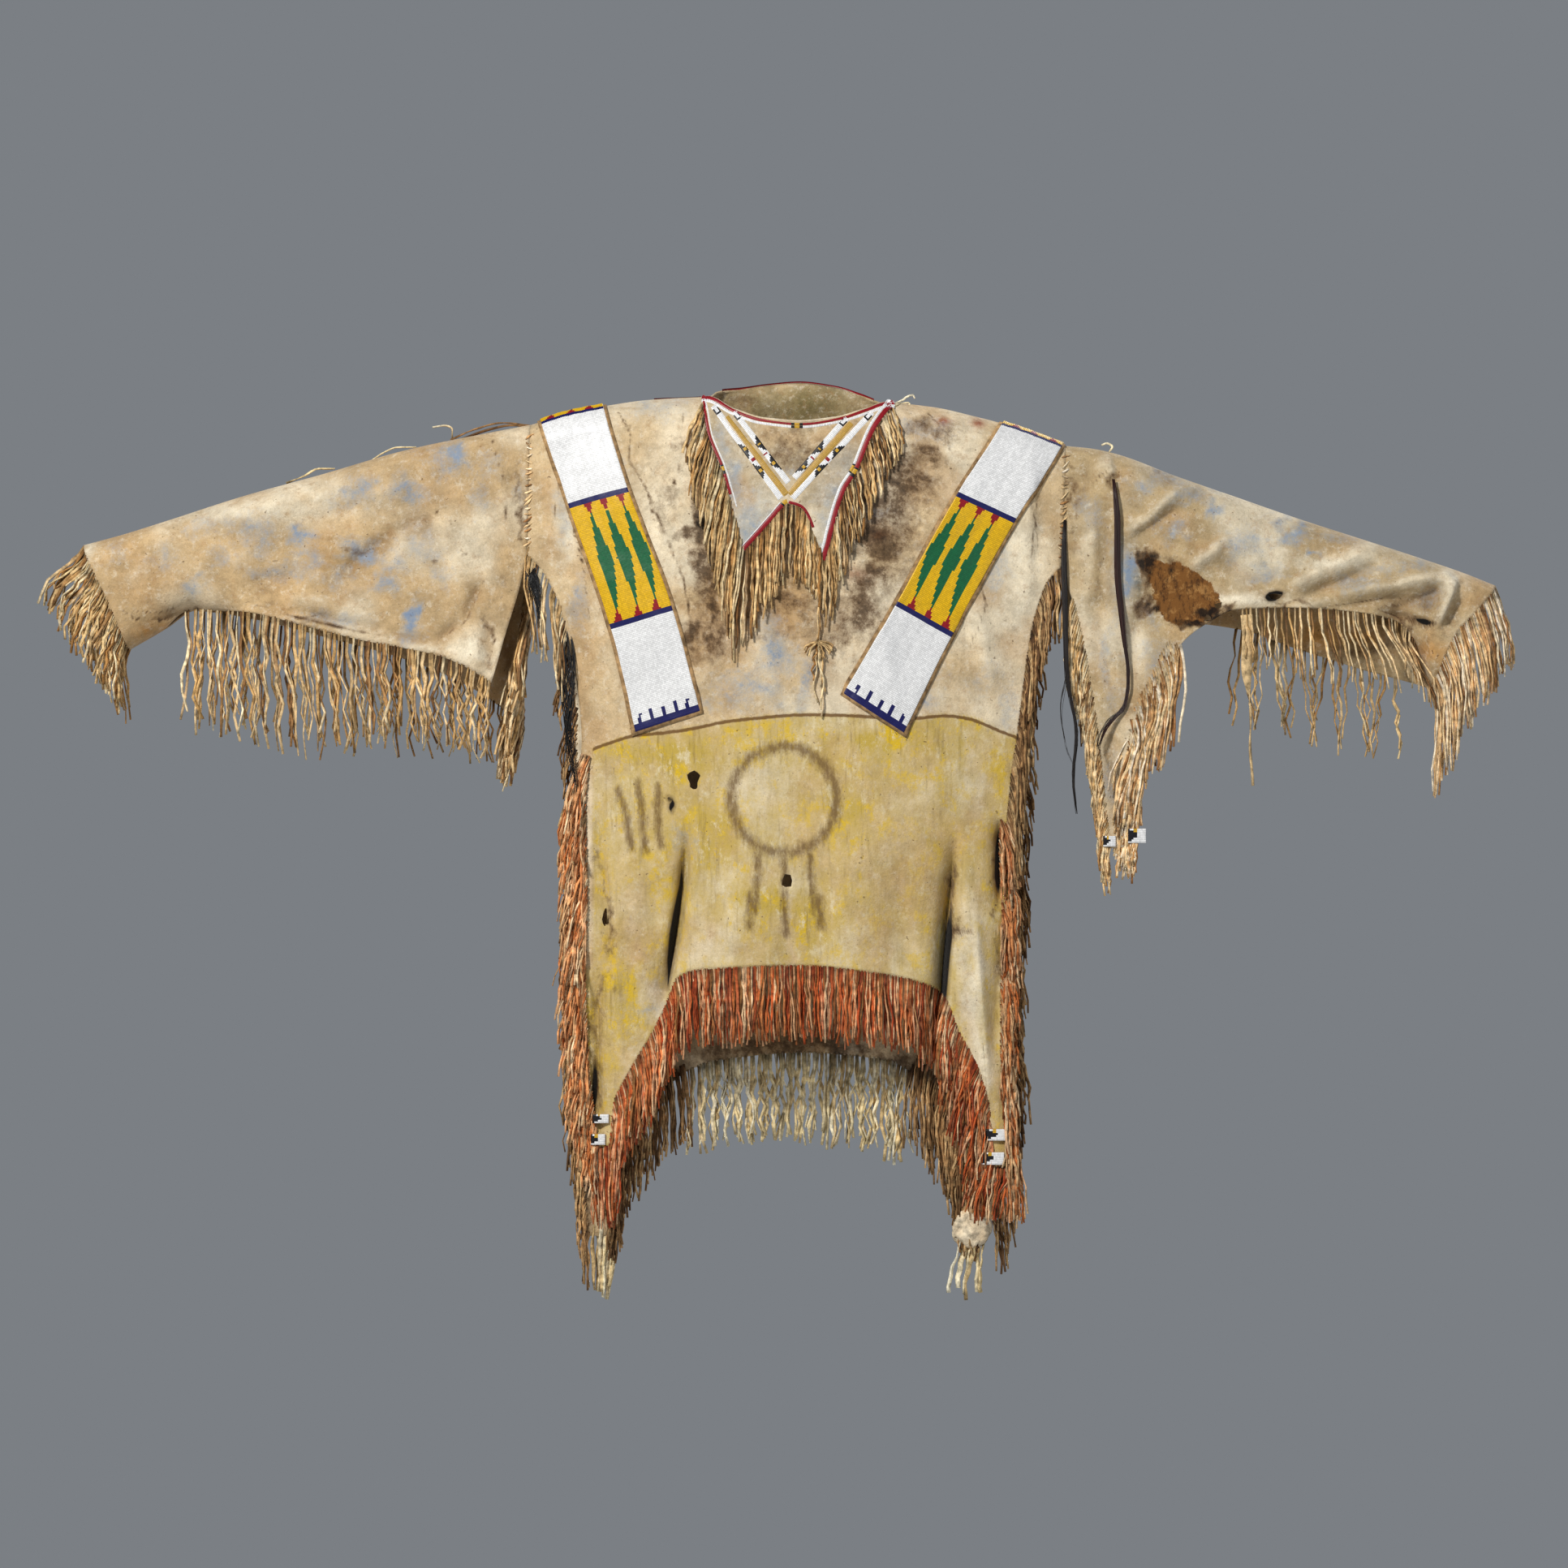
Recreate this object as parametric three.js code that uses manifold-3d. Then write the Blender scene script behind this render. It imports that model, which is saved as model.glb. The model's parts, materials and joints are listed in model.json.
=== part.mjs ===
// A Plains hide shirt: front and back hides joined at the shoulders, open sides, wide cape sleeves, a
// two-pointed neck flap before and behind, a beaded strip over each shoulder, and cut fringe on the edges.
// Millimetres, +Z up, -Y the shirt's front, +X the wearer's left. The origin is the middle of the neck
// opening at shoulder height, where the wearer's shoulders carry the shirt.
import * as THREE from "three";
import { mergeVertices } from "three/addons/utils/BufferGeometryUtils.js";
import Module from "manifold-3d";

const wasm = await Module();
wasm.setup();

// Driving sizes.
const hideWall = 2;
const flapWall = 2;
const stripWall = 3;
const fringeWall = 3;
const seamGap = 0.3;
const layGap = 0.4; // under a piece that lies on a hide
const fringeGap = 0.9; // from a hide's edge to its fringe, measured in the flat
const shoulderRoll = 30; // height over which a hide rolls over the shoulder line
const sideDepth = 30; // from the middle plane to each hide at the armholes
const neckMiddle = 7.5;
const neckHalfWidth = 101;
const neckHalfDepth = 50;
const bodyMiddle = 6;
const bulgePower = 2.2;
const forearmRound = 50; // height over which a sewn forearm rounds in at its bottom
const closedDepth = 1.5; // from the middle plane to a leaf along that seam
const stripBorder = 3.5; // hide showing beside the beads

const colours = {
  hide: 0xd8c3a0,
  ochre: 0xc9b36c,
  fringe: 0xc9a878,
  red: 0xc9663f,
  beads: 0xf2f0ea,
  hair: 0x1d1613,
};

// ---- curves ----

const mix = (a, b, t) => a + (b - a) * t;
const clamp = (value) => Math.min(Math.max(value, 0), 1);
const span = (count) => Array.from({ length: count + 1 }, (_, i) => i / count);

// A smooth function through a table's rows that never swings past a row (monotone cubic).
function through(rows, key, value) {
  const at = rows.map((row) => row[key]);
  const of = rows.map((row) => row[value]);
  const slope = at.slice(1).map((t, i) => (of[i + 1] - of[i]) / (t - at[i]));
  const tangent = of.map((_, i) => {
    if (i === 0) return slope[0];
    if (i === slope.length) return slope[i - 1];
    const product = slope[i - 1] * slope[i];
    return product <= 0 ? 0 : (2 * product) / (slope[i - 1] + slope[i]);
  });
  return (where) => {
    const t = Math.min(Math.max(where, at[0]), at.at(-1));
    let i = slope.length - 1;
    while (i > 0 && t < at[i]) i--;
    const width = at[i + 1] - at[i];
    const s = (t - at[i]) / width;
    const rise = s * s * (3 - 2 * s);
    const lead = s * (1 - s) * (1 - s) * width;
    const trail = s * s * (s - 1) * width;
    return of[i] * (1 - rise) + of[i + 1] * rise + tangent[i] * lead + tangent[i + 1] * trail;
  };
}

// A smooth curve through points {x, z}, run from 0 to 1 by length.
function arcThrough(points) {
  let length = 0;
  const rows = points.map((point, i) => {
    if (i) length += Math.hypot(point.x - points[i - 1].x, point.z - points[i - 1].z);
    return { x: point.x, z: point.z, length };
  });
  const x = through(rows, "length", "x");
  const z = through(rows, "length", "z");
  return { length, at: (distance) => ({ x: x(distance), z: z(distance) }) };
}

// An edge through points {x, z}, run from 0 to 1 by length, smooth but for the points marked as corners.
function edgeThrough(points) {
  const arcs = [];
  let arc = [points[0]];
  points.slice(1).forEach((point, i) => {
    arc.push(point);
    if (point.corner || i === points.length - 2) {
      arcs.push(arcThrough(arc));
      arc = [point];
    }
  });
  const whole = arcs.reduce((sum, { length }) => sum + length, 0);
  return (run) => {
    let distance = run * whole;
    for (const { length, at } of arcs.slice(0, -1)) {
      if (distance <= length) return at(distance);
      distance -= length;
    }
    return arcs.at(-1).at(distance);
  };
}

// The flat form of a piece between four edges (a bilinearly blended Coons patch).
function between({ top, bottom, left, right }) {
  const [topLeft, topRight, bottomLeft, bottomRight] = [top(0), top(1), bottom(0), bottom(1)];
  return (u, v) => {
    const blend = (k) =>
      mix(top(u)[k], bottom(u)[k], v) + mix(left(v)[k], right(v)[k], u) -
      mix(mix(topLeft[k], topRight[k], u), mix(bottomLeft[k], bottomRight[k], u), v);
    return { x: blend("x"), z: blend("z") };
  };
}

const roll = (below) => Math.sqrt(1 - Math.pow(1 - clamp(below / shoulderRoll), 2));

// Broad soft waves in a hide: how far it stands out (negative in) at x, z.
function wavesAt(waves, x, z) {
  return waves.reduce((out, { x0, z0, x1, z1, wide, deep }) => {
    const run = clamp((z0 - z) / (z0 - z1));
    return out + deep * Math.sin((Math.PI / 2) * run) * Math.exp(-Math.pow((x - mix(x0, x1, run)) / wide, 2));
  }, 0);
}

// ---- walls ----

// The outward normal at each point of a grid. sewnAxes(point, i, j) names the axes that a sewn edge stays
// square to.
function normalsOf(grid, side, sewnAxes = () => "") {
  const within = (index, length) => Math.min(Math.max(index, 0), length - 1);
  const at = (i, j) => grid[within(i, grid.length)][within(j, grid[0].length)];
  const normals = grid.map((row, i) =>
    row.map((point, j) => {
      const down = at(i + 1, j).clone().sub(at(i - 1, j));
      const normal = down.cross(at(i, j + 1).clone().sub(at(i, j - 1))).normalize();
      for (const axis of sewnAxes(point, i, j)) normal[axis] = 0;
      return normal.normalize();
    }),
  );
  const inner = normals[grid.length >> 1][grid[0].length >> 1];
  if (inner.y * side < 0) normals.flat().forEach((normal) => normal.negate());
  return normals;
}

// A closed wall between two offsets of a grid, along its normals.
function wallOf(grid, normals, from, to) {
  const rows = grid.length;
  const columns = grid[0].length;
  const skin = rows * columns;
  const offset = (by) =>
    grid.flatMap((row, i) => row.map((point, j) => point.clone().addScaledVector(normals[i][j], by)));
  const points = [...offset(to), ...offset(from)];
  const faces = [];
  const quad = (a, b, c, d) => faces.push(a, b, c, a, c, d);
  for (let i = 0; i + 1 < rows; i++) {
    for (let j = 0; j + 1 < columns; j++) {
      const a = i * columns + j;
      quad(a, a + columns, a + columns + 1, a + 1);
      quad(skin + a, skin + a + 1, skin + a + columns + 1, skin + a + columns);
    }
  }
  const rim = [];
  for (let j = 0; j + 1 < columns; j++) rim.push(j);
  for (let i = 0; i + 1 < rows; i++) rim.push(i * columns + columns - 1);
  for (let j = columns - 1; j > 0; j--) rim.push((rows - 1) * columns + j);
  for (let i = rows - 1; i > 0; i--) rim.push(i * columns);
  rim.forEach((a, k) => {
    const b = rim[(k + 1) % rim.length];
    quad(a, b, skin + b, skin + a);
  });
  let volume = 0;
  for (let k = 0; k < faces.length; k += 3) {
    volume += points[faces[k]].dot(points[faces[k + 1]].clone().cross(points[faces[k + 2]]));
  }
  if (volume < 0) faces.reverse();
  return { points, faces };
}

const shirt = new THREE.Group();
function addMesh(name, geometry, color, roughness) {
  geometry.computeVertexNormals();
  const mesh = new THREE.Mesh(geometry, new THREE.MeshStandardMaterial({ color, roughness, metalness: 0 }));
  mesh.name = name;
  shirt.add(mesh);
}
function addWall(name, { points, faces }, color, roughness = 0.9) {
  addMesh(name, new THREE.BufferGeometry().setFromPoints(points).setIndex(faces), color, roughness);
}
function addSolid(name, solid, color, roughness = 0.9) {
  const { vertProperties, triVerts } = solid.getMesh();
  const geometry = new THREE.BufferGeometry();
  geometry.setAttribute("position", new THREE.BufferAttribute(vertProperties, 3));
  geometry.setIndex(new THREE.BufferAttribute(triVerts, 1));
  addMesh(name, geometry, color, roughness);
}

function solidOf({ points, faces }) {
  const mesh = new wasm.Mesh({
    numProp: 3,
    vertProperties: new Float32Array(points.flatMap((point) => point.toArray())),
    triVerts: new Uint32Array(faces),
  });
  return new wasm.Manifold(mesh);
}

// ---- the two body hides ----

const shoulderLine = [
  { x: -288, z: -21.6 }, { x: -248, z: -9 }, { x: -207, z: -1 }, { x: -157, z: 6 }, { x: -93.5, z: 9 },
  { x: 108.5, z: 2.5 }, { x: 157, z: -2 }, { x: 202, z: -12 }, { x: 240, z: -22 }, { x: 303, z: -45 },
];
const frontNeckline = [
  { x: -63, z: -6 }, { x: -31, z: -16 }, { x: 9, z: -20 }, { x: 50, z: -15 }, { x: 81, z: -6 },
];
const backNeckline = [
  { x: -81, z: 18 }, { x: -54, z: 22 }, { x: -22, z: 27 }, { x: 9, z: 29.5 }, { x: 50, z: 24 },
  { x: 77, z: 15 },
];
const halfWidthTable = [
  { below: 0, half: 296 }, { below: 180, half: 290 }, { below: 260, half: 258 }, { below: 370, half: 243 },
  { below: 900, half: 240 },
];
const middleTable = [
  { below: 0, deep: 38 }, { below: 120, deep: 62 }, { below: 420, deep: 58 }, { below: 700, deep: 44 },
  { below: 950, deep: 30 },
];
const sideTable = [
  { below: 0, deep: sideDepth }, { below: 230, deep: sideDepth }, { below: 420, deep: 24 },
  { below: 900, deep: 20 },
];
const halfWidth = through(halfWidthTable, "below", "half");
const middleDepth = through(middleTable, "below", "deep");
const hangDepth = through(sideTable, "below", "deep");
const shoulderZ = through(shoulderLine, "x", "z");
const neckDepth = (x) => {
  const across = (x - neckMiddle) / neckHalfWidth;
  return neckHalfDepth * Math.sqrt(Math.max(0, 1 - across * across));
};
const besideNeck = (x) => Math.abs(x - neckMiddle) >= neckHalfWidth - 0.01;

const frontWaves = [
  { x0: -122, z0: -440, x1: -133, z1: -640, wide: 26, deep: -12 },
  { x0: 176, z0: -430, x1: 177, z1: -660, wide: 26, deep: -12 },
  { x0: -50, z0: -430, x1: -60, z1: -640, wide: 34, deep: 8 },
  { x0: 70, z0: -420, x1: 76, z1: -640, wide: 36, deep: 8 },
];
const backWaves = [
  { x0: -90, z0: -330, x1: -110, z1: -740, wide: 30, deep: -12 },
  { x0: 20, z0: -380, x1: 26, z1: -740, wide: 34, deep: 10 },
  { x0: 130, z0: -340, x1: 150, z1: -760, wide: 30, deep: -12 },
];

const sideColumns = 7; // columns of a body hide on each side of the neck
const neckColumns = 6;
const bodyColumns = 2 * sideColumns + neckColumns;
const bodyRows = 16;
const bodySpread = 1.6; // rows crowd towards the shoulder
const alongShoulders = (x) => (x - shoulderLine[0].x) / (shoulderLine.at(-1).x - shoulderLine[0].x);

// Where each column lies along the top, so that two columns meet the neck's corners.
const columnTable = [
  { column: 0, run: 0 },
  { column: sideColumns, run: alongShoulders(neckMiddle - neckHalfWidth) },
  { column: sideColumns + neckColumns, run: alongShoulders(neckMiddle + neckHalfWidth) },
  { column: bodyColumns, run: 1 },
];
const columnRun = through(columnTable, "column", "run");

const armhole = {
  right: [{ x: -288, z: -21.6 }, { x: -291, z: -166, corner: true }],
  left: [{ x: 303, z: -45 }, { x: 298, z: -180, corner: true }],
};
const aboveSeamEnd = (point) => point.z > (point.x < 0 ? armhole.right : armhole.left).at(-1).z - 1;

// A body hide. side is -1 for the front and 1 for the back, and hem's points name the column that ends there.
function bodyHide({ side, neckline, waves, leftEdge, rightEdge, hem }) {
  const topLine = [...shoulderLine, ...neckline].sort((a, b) => a.x - b.x);
  const topZ = through(topLine, "x", "z");
  const depthAt = (x, z) => {
    const below = Math.max(0, shoulderZ(x) - z);
    const away = Math.min(1, Math.abs((x - bodyMiddle) / halfWidth(below)));
    const hang = mix(middleDepth(below), hangDepth(below), Math.pow(away, bulgePower)) + wavesAt(waves, x, z);
    const neck = Math.max(neckDepth(x), seamGap / 2);
    return neck + (hang - neck) * roll(topZ(x) - z);
  };
  const point = (x, z) => new THREE.Vector3(x, side * depthAt(x, z), z);
  const topX = (u) => mix(topLine[0].x, topLine.at(-1).x, columnRun(u * bodyColumns));
  const hemX = through(hem, "column", "x");
  const hemZ = through(hem, "column", "z");
  const outline = between({
    top: (u) => ({ x: topX(u), z: topZ(topX(u)) }),
    bottom: (u) => ({ x: hemX(u * bodyColumns), z: hemZ(u * bodyColumns) }),
    left: edgeThrough(leftEdge),
    right: edgeThrough(rightEdge),
  });
  const rows = span(bodyRows).map((w) => Math.pow(w, bodySpread));
  const flat = rows.map((v) => span(bodyColumns).map((u) => outline(u, v)));
  const grid = flat.map((row) => row.map(({ x, z }) => point(x, z)));
  const normals = normalsOf(grid, side, (at, i, j) => {
    const atShoulder = i === 0 && besideNeck(at.x);
    const atArmhole = (j === 0 || j === bodyColumns) && aboveSeamEnd(at);
    return (atShoulder ? "y" : "") + (atArmhole ? "x" : "");
  });
  return { side, topZ, grid, normals };
}

const front = bodyHide({
  side: -1,
  neckline: frontNeckline,
  waves: frontWaves,
  leftEdge: [
    ...armhole.right, { x: -276, z: -182 }, { x: -256, z: -220 }, { x: -246, z: -261 },
    { x: -236, z: -310 }, { x: -231, z: -370 }, { x: -236, z: -450 }, { x: -234, z: -540 },
    { x: -236, z: -630 }, { x: -233, z: -720 }, { x: -222, z: -819 },
  ],
  rightEdge: [
    ...armhole.left, { x: 282, z: -198 }, { x: 265, z: -252 }, { x: 255, z: -324 }, { x: 249, z: -371 },
    { x: 243, z: -414 }, { x: 238, z: -480 }, { x: 241, z: -560 }, { x: 239, z: -700 }, { x: 246, z: -841 },
  ],
  hem: [
    { column: 0, x: -222, z: -819 }, { column: 1, x: -201, z: -819 }, { column: 2, x: -195, z: -772 },
    { column: 3, x: -178, z: -736 }, { column: 4, x: -158, z: -702 }, { column: 5, x: -141, z: -670 },
    { column: 6, x: -124, z: -632 }, { column: 7, x: -96, z: -623 }, { column: 10, x: 9, z: -619 },
    { column: 13, x: 110, z: -630 }, { column: 14, x: 136, z: -636 }, { column: 15, x: 166, z: -650 },
    { column: 16, x: 184, z: -692 }, { column: 17, x: 204, z: -728 }, { column: 18, x: 217, z: -774 },
    { column: 19, x: 223, z: -841 }, { column: 20, x: 246, z: -841 },
  ],
});
const back = bodyHide({
  side: 1,
  neckline: backNeckline,
  waves: backWaves,
  leftEdge: [
    ...armhole.right, { x: -277, z: -182 }, { x: -258, z: -220 }, { x: -249, z: -270 },
    { x: -240, z: -340 }, { x: -240, z: -450 }, { x: -243, z: -600 }, { x: -241, z: -740 },
    { x: -235, z: -830 }, { x: -226, z: -922 },
  ],
  rightEdge: [
    ...armhole.left, { x: 283, z: -198 }, { x: 268, z: -252 }, { x: 257, z: -330 }, { x: 251, z: -420 },
    { x: 248, z: -560 }, { x: 246, z: -700 }, { x: 240, z: -820 }, { x: 224, z: -904 },
  ],
  hem: [
    { column: 0, x: -226, z: -922 }, { column: 1, x: -202, z: -922 }, { column: 2, x: -194, z: -866 },
    { column: 3, x: -180, z: -822 }, { column: 4, x: -161, z: -786 }, { column: 5, x: -138, z: -757 },
    { column: 6, x: -114, z: -738 }, { column: 7, x: -88, z: -729 }, { column: 10, x: 9, z: -720 },
    { column: 13, x: 106, z: -727 }, { column: 14, x: 130, z: -738 }, { column: 15, x: 152, z: -760 },
    { column: 16, x: 168, z: -794 }, { column: 17, x: 182, z: -834 }, { column: 18, x: 192, z: -868 },
    { column: 19, x: 200, z: -904 }, { column: 20, x: 224, z: -904 },
  ],
});
addWall("front", wallOf(front.grid, front.normals, -hideWall / 2, hideWall / 2), colours.ochre);
addWall("back", wallOf(back.grid, back.normals, -hideWall / 2, hideWall / 2), colours.hide);

// ---- the sleeves ----

const sleeveColumns = 16;
const leafRows = 7; // from the fold to the hem
const leafSpread = 1.9; // rows crowd towards the fold

// A cape sleeve: one hide folded over the arm, whose two leaves hang from the fold. Its forearm is sewn
// closed.
function capeSleeve({ fold, cuff, frontHem, backHem, frontInner, backInner, closed, fullness }) {
  const byX = (rows) => [...rows].sort((a, b) => a.x - b.x);
  const foldZ = through(byX(fold), "x", "z");
  const forearmZ = through(byX(frontHem.filter((row) => row.forearm)), "x", "z");
  const fullAt = through(fullness, "reach", "deep");
  const closedAt = through(closed, "reach", "share");
  const depthAt = (x, z) => {
    const below = foldZ(x) - z;
    const toHem = Math.max(0, z - forearmZ(x));
    const round = Math.sqrt(1 - Math.pow(1 - clamp(toHem / forearmRound), 2));
    const open = 1 - closedAt(Math.abs(x)) * (1 - round);
    return below > 0 ? Math.max(closedDepth, fullAt(Math.abs(x)) * roll(below) * open) : 0;
  };
  const leaf = (side, hem, inner) => {
    const outline = between({
      top: edgeThrough(fold), bottom: edgeThrough(hem), left: edgeThrough(cuff), right: edgeThrough(inner),
    });
    const rows = span(leafRows).map((w) => Math.pow(w, leafSpread));
    const flat = rows.map((v) => span(sleeveColumns).map((u) => outline(u, v)));
    const grid = flat.map((row) => row.map(({ x, z }) => new THREE.Vector3(x, side * depthAt(x, z), z)));
    return { side, grid, normals: normalsOf(grid, side) };
  };
  return { front: leaf(-1, frontHem, frontInner), back: leaf(1, backHem, backInner) };
}

const sewnTo = (points, step) => points.map((point) => ({ ...point, x: point.x + step }));
const rightSleeve = capeSleeve({
  fold: [
    { x: -783, z: -155 }, { x: -742, z: -144 }, { x: -697, z: -130 }, { x: -607, z: -101 },
    { x: -517, z: -76 }, { x: -427, z: -50 }, { x: -337, z: -31 }, { x: -288 - seamGap, z: -21.6 },
  ],
  cuff: [{ x: -783, z: -155 }, { x: -768, z: -189 }, { x: -751, z: -225 }, { x: -735, z: -270 }],
  frontHem: [
    { x: -735, z: -270, forearm: true }, { x: -697, z: -248, forearm: true },
    { x: -663, z: -226, forearm: true }, { x: -607, z: -229 }, { x: -517, z: -250 },
    { x: -472, z: -261 }, { x: -391, z: -277 }, { x: -355, z: -292 }, { x: -330, z: -308 },
  ],
  backHem: [
    { x: -735, z: -270 }, { x: -697, z: -248 }, { x: -663, z: -226 }, { x: -600, z: -235 },
    { x: -517, z: -256 }, { x: -430, z: -280 }, { x: -360, z: -310 }, { x: -300, z: -350 },
  ],
  frontInner: [
    ...sewnTo(armhole.right, -seamGap), { x: -300, z: -205 }, { x: -312, z: -245 }, { x: -330, z: -308 },
  ],
  backInner: [
    ...sewnTo(armhole.right, -seamGap), { x: -298, z: -220 }, { x: -303, z: -270 }, { x: -300, z: -350 },
  ],
  closed: [
    { reach: 600, share: 0 }, { reach: 672, share: 1 }, { reach: 740, share: 1 },
    { reach: 783, share: 0.8 },
  ],
  fullness: [
    { reach: 288, deep: 30 }, { reach: 400, deep: 44 }, { reach: 600, deep: 42 },
    { reach: 783, deep: 36 },
  ],
});
const leftSleeve = capeSleeve({
  fold: [
    { x: 780, z: -200 }, { x: 742, z: -185 }, { x: 652, z: -155 }, { x: 562, z: -126 }, { x: 490, z: -101 },
    { x: 427, z: -79 }, { x: 360, z: -54 }, { x: 333, z: -48 }, { x: 303 + seamGap, z: -45 },
  ],
  cuff: [{ x: 780, z: -200 }, { x: 756, z: -227 }, { x: 729, z: -258 }, { x: 708, z: -313 }],
  frontHem: [
    { x: 708, z: -313, forearm: true }, { x: 694, z: -272, forearm: true },
    { x: 670, z: -240, forearm: true }, { x: 607, z: -228 }, { x: 545, z: -225 }, { x: 490, z: -227 },
    { x: 458, z: -242 }, { x: 430, z: -264 }, { x: 410, z: -302 }, { x: 388, z: -351 },
    { x: 381, z: -420 }, { x: 376, z: -486 }, { x: 350, z: -490 },
  ],
  backHem: [
    { x: 708, z: -313 }, { x: 670, z: -301 }, { x: 562, z: -267 }, { x: 499, z: -246 }, { x: 450, z: -240 },
    { x: 420, z: -280 }, { x: 395, z: -350 }, { x: 375, z: -430 }, { x: 345, z: -440 },
  ],
  frontInner: [
    ...sewnTo(armhole.left, seamGap), { x: 312, z: -225 }, { x: 326, z: -290 }, { x: 337, z: -370 },
    { x: 350, z: -490 },
  ],
  backInner: [
    ...sewnTo(armhole.left, seamGap), { x: 308, z: -225 }, { x: 316, z: -290 }, { x: 326, z: -360 },
    { x: 345, z: -440 },
  ],
  closed: [
    { reach: 640, share: 0 }, { reach: 706, share: 1 }, { reach: 740, share: 1 },
    { reach: 783, share: 0.8 },
  ],
  fullness: [
    { reach: 303, deep: 30 }, { reach: 400, deep: 42 }, { reach: 600, deep: 42 },
    { reach: 783, deep: 36 },
  ],
});

function addSleeve(name, { front: frontLeaf, back: backLeaf }) {
  const grid = [...frontLeaf.grid.slice(1).reverse(), ...backLeaf.grid];
  const seamAxes = (point, i, j) => (j === sleeveColumns && aboveSeamEnd(point) ? "x" : "");
  const normals = normalsOf(grid, 1, seamAxes);
  addWall(name, wallOf(grid, normals, -hideWall / 2, hideWall / 2), colours.hide);
}
addSleeve("sleeve_right", rightSleeve);
addSleeve("sleeve_left", leftSleeve);

// ---- pieces that lie on a body hide ----

const throughDepth = 400; // of a prism that cuts a layer, so that it passes through the whole shirt

// A closed outline {x, z} moved outwards on all sides.
function grown(outline, by) {
  const next = (i) => outline[(i + 1) % outline.length];
  const area = outline.reduce((sum, point, i) => sum + point.x * next(i).z - next(i).x * point.z, 0);
  const outward = outline.map((point, i) => {
    const along = new THREE.Vector2(next(i).x - point.x, next(i).z - point.z).normalize();
    return new THREE.Vector2(along.y, -along.x).multiplyScalar(Math.sign(area));
  });
  return outline.map((point, i) => {
    const [before, after] = [outward.at(i - 1), outward[i]];
    const reach = by / (1 + before.dot(after));
    return { x: point.x + reach * (before.x + after.x), z: point.z + reach * (before.y + after.y) };
  });
}

// A prism from the front to the back of the shirt over a flat outline.
function prismOver(outline) {
  const shape = new THREE.Shape(outline.map(({ x, z }) => new THREE.Vector2(x, z)));
  const prism = new THREE.ExtrudeGeometry(shape, { depth: throughDepth, bevelEnabled: false });
  prism.rotateX(Math.PI / 2).translate(0, throughDepth / 2, 0);
  prism.deleteAttribute("normal");
  prism.deleteAttribute("uv");
  const merged = mergeVertices(prism);
  const mesh = new wasm.Mesh({
    numProp: 3,
    vertProperties: merged.attributes.position.array,
    triVerts: new Uint32Array(merged.index.array),
  });
  return new wasm.Manifold(mesh);
}

function layerOn(hide, thickness) {
  const from = hideWall / 2 + layGap;
  return solidOf(wallOf(hide.grid, hide.normals, from, from + thickness));
}

// The same layer, whose top row reaches past the shoulder line so that a front and a back layer join there.
function layerOverShoulder(hide, thickness) {
  const from = hideWall / 2 + layGap;
  const crossing = (point) => (besideNeck(point.x) ? point.clone().setY(-hide.side * 0.5) : point);
  const grid = [hide.grid[0].map(crossing), ...hide.grid.slice(1)];
  return solidOf(wallOf(grid, hide.normals, from, from + thickness));
}

const flapInset = 2; // below the neckline
const flapTopRuns = 12;

// A neck flap's flat outline: along the neckline, down its right edge, over the notched bottom and up its
// left edge.
function flapOutline(hide, { left, right, bottom }) {
  const top = span(flapTopRuns).map((u) => {
    const x = mix(left[0].x, right[0].x, u);
    return { x, z: hide.topZ(x) - flapInset };
  });
  const along = (points, count) => span(count).map(edgeThrough(points));
  const leftEdge = along([top[0], ...left.slice(1)], 6).reverse();
  const rightEdge = along([top.at(-1), ...right.slice(1)], 6);
  return [...top, ...rightEdge.slice(1), ...along(bottom, 10).reverse().slice(1), ...leftEdge.slice(1, -1)];
}

function addFlap(name, hide, edges, fringeReach) {
  const outline = flapOutline(hide, edges);
  addSolid("neck_flap_" + name, layerOn(hide, flapWall).intersect(prismOver(outline)), colours.hide);
  const reach = prismOver(fringeReach).subtract(prismOver(grown(outline, seamGap)));
  addSolid("fringe_flap_" + name, layerOn(hide, flapWall).intersect(reach), colours.fringe);
}
addFlap("front", front, {
  left: [{ x: -99 }, { x: -93, z: -34 }, { x: -78, z: -72 }, { x: -66, z: -112 }, { x: -51, z: -164 }],
  right: [{ x: 114 }, { x: 91, z: -33 }, { x: 72, z: -78 }, { x: 59, z: -99 }, { x: 37, z: -175 }],
  bottom: [
    { x: -51, z: -164 }, { x: -24, z: -134 }, { x: -5, z: -112, corner: true }, { x: 10, z: -117 },
    { x: 26, z: -149 }, { x: 37, z: -175 },
  ],
}, [
  { x: -104, z: -6 }, { x: -112, z: -36 }, { x: -117, z: -90 }, { x: -111, z: -171 }, { x: -81, z: -225 },
  { x: -63, z: -288 }, { x: -22, z: -270 }, { x: 9, z: -297 }, { x: 21, z: -350 }, { x: 42, z: -346 },
  { x: 54, z: -261 }, { x: 78, z: -171 }, { x: 108, z: -108 }, { x: 122, z: -54 }, { x: 120, z: -10 },
  { x: 7, z: -60 },
]);
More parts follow.
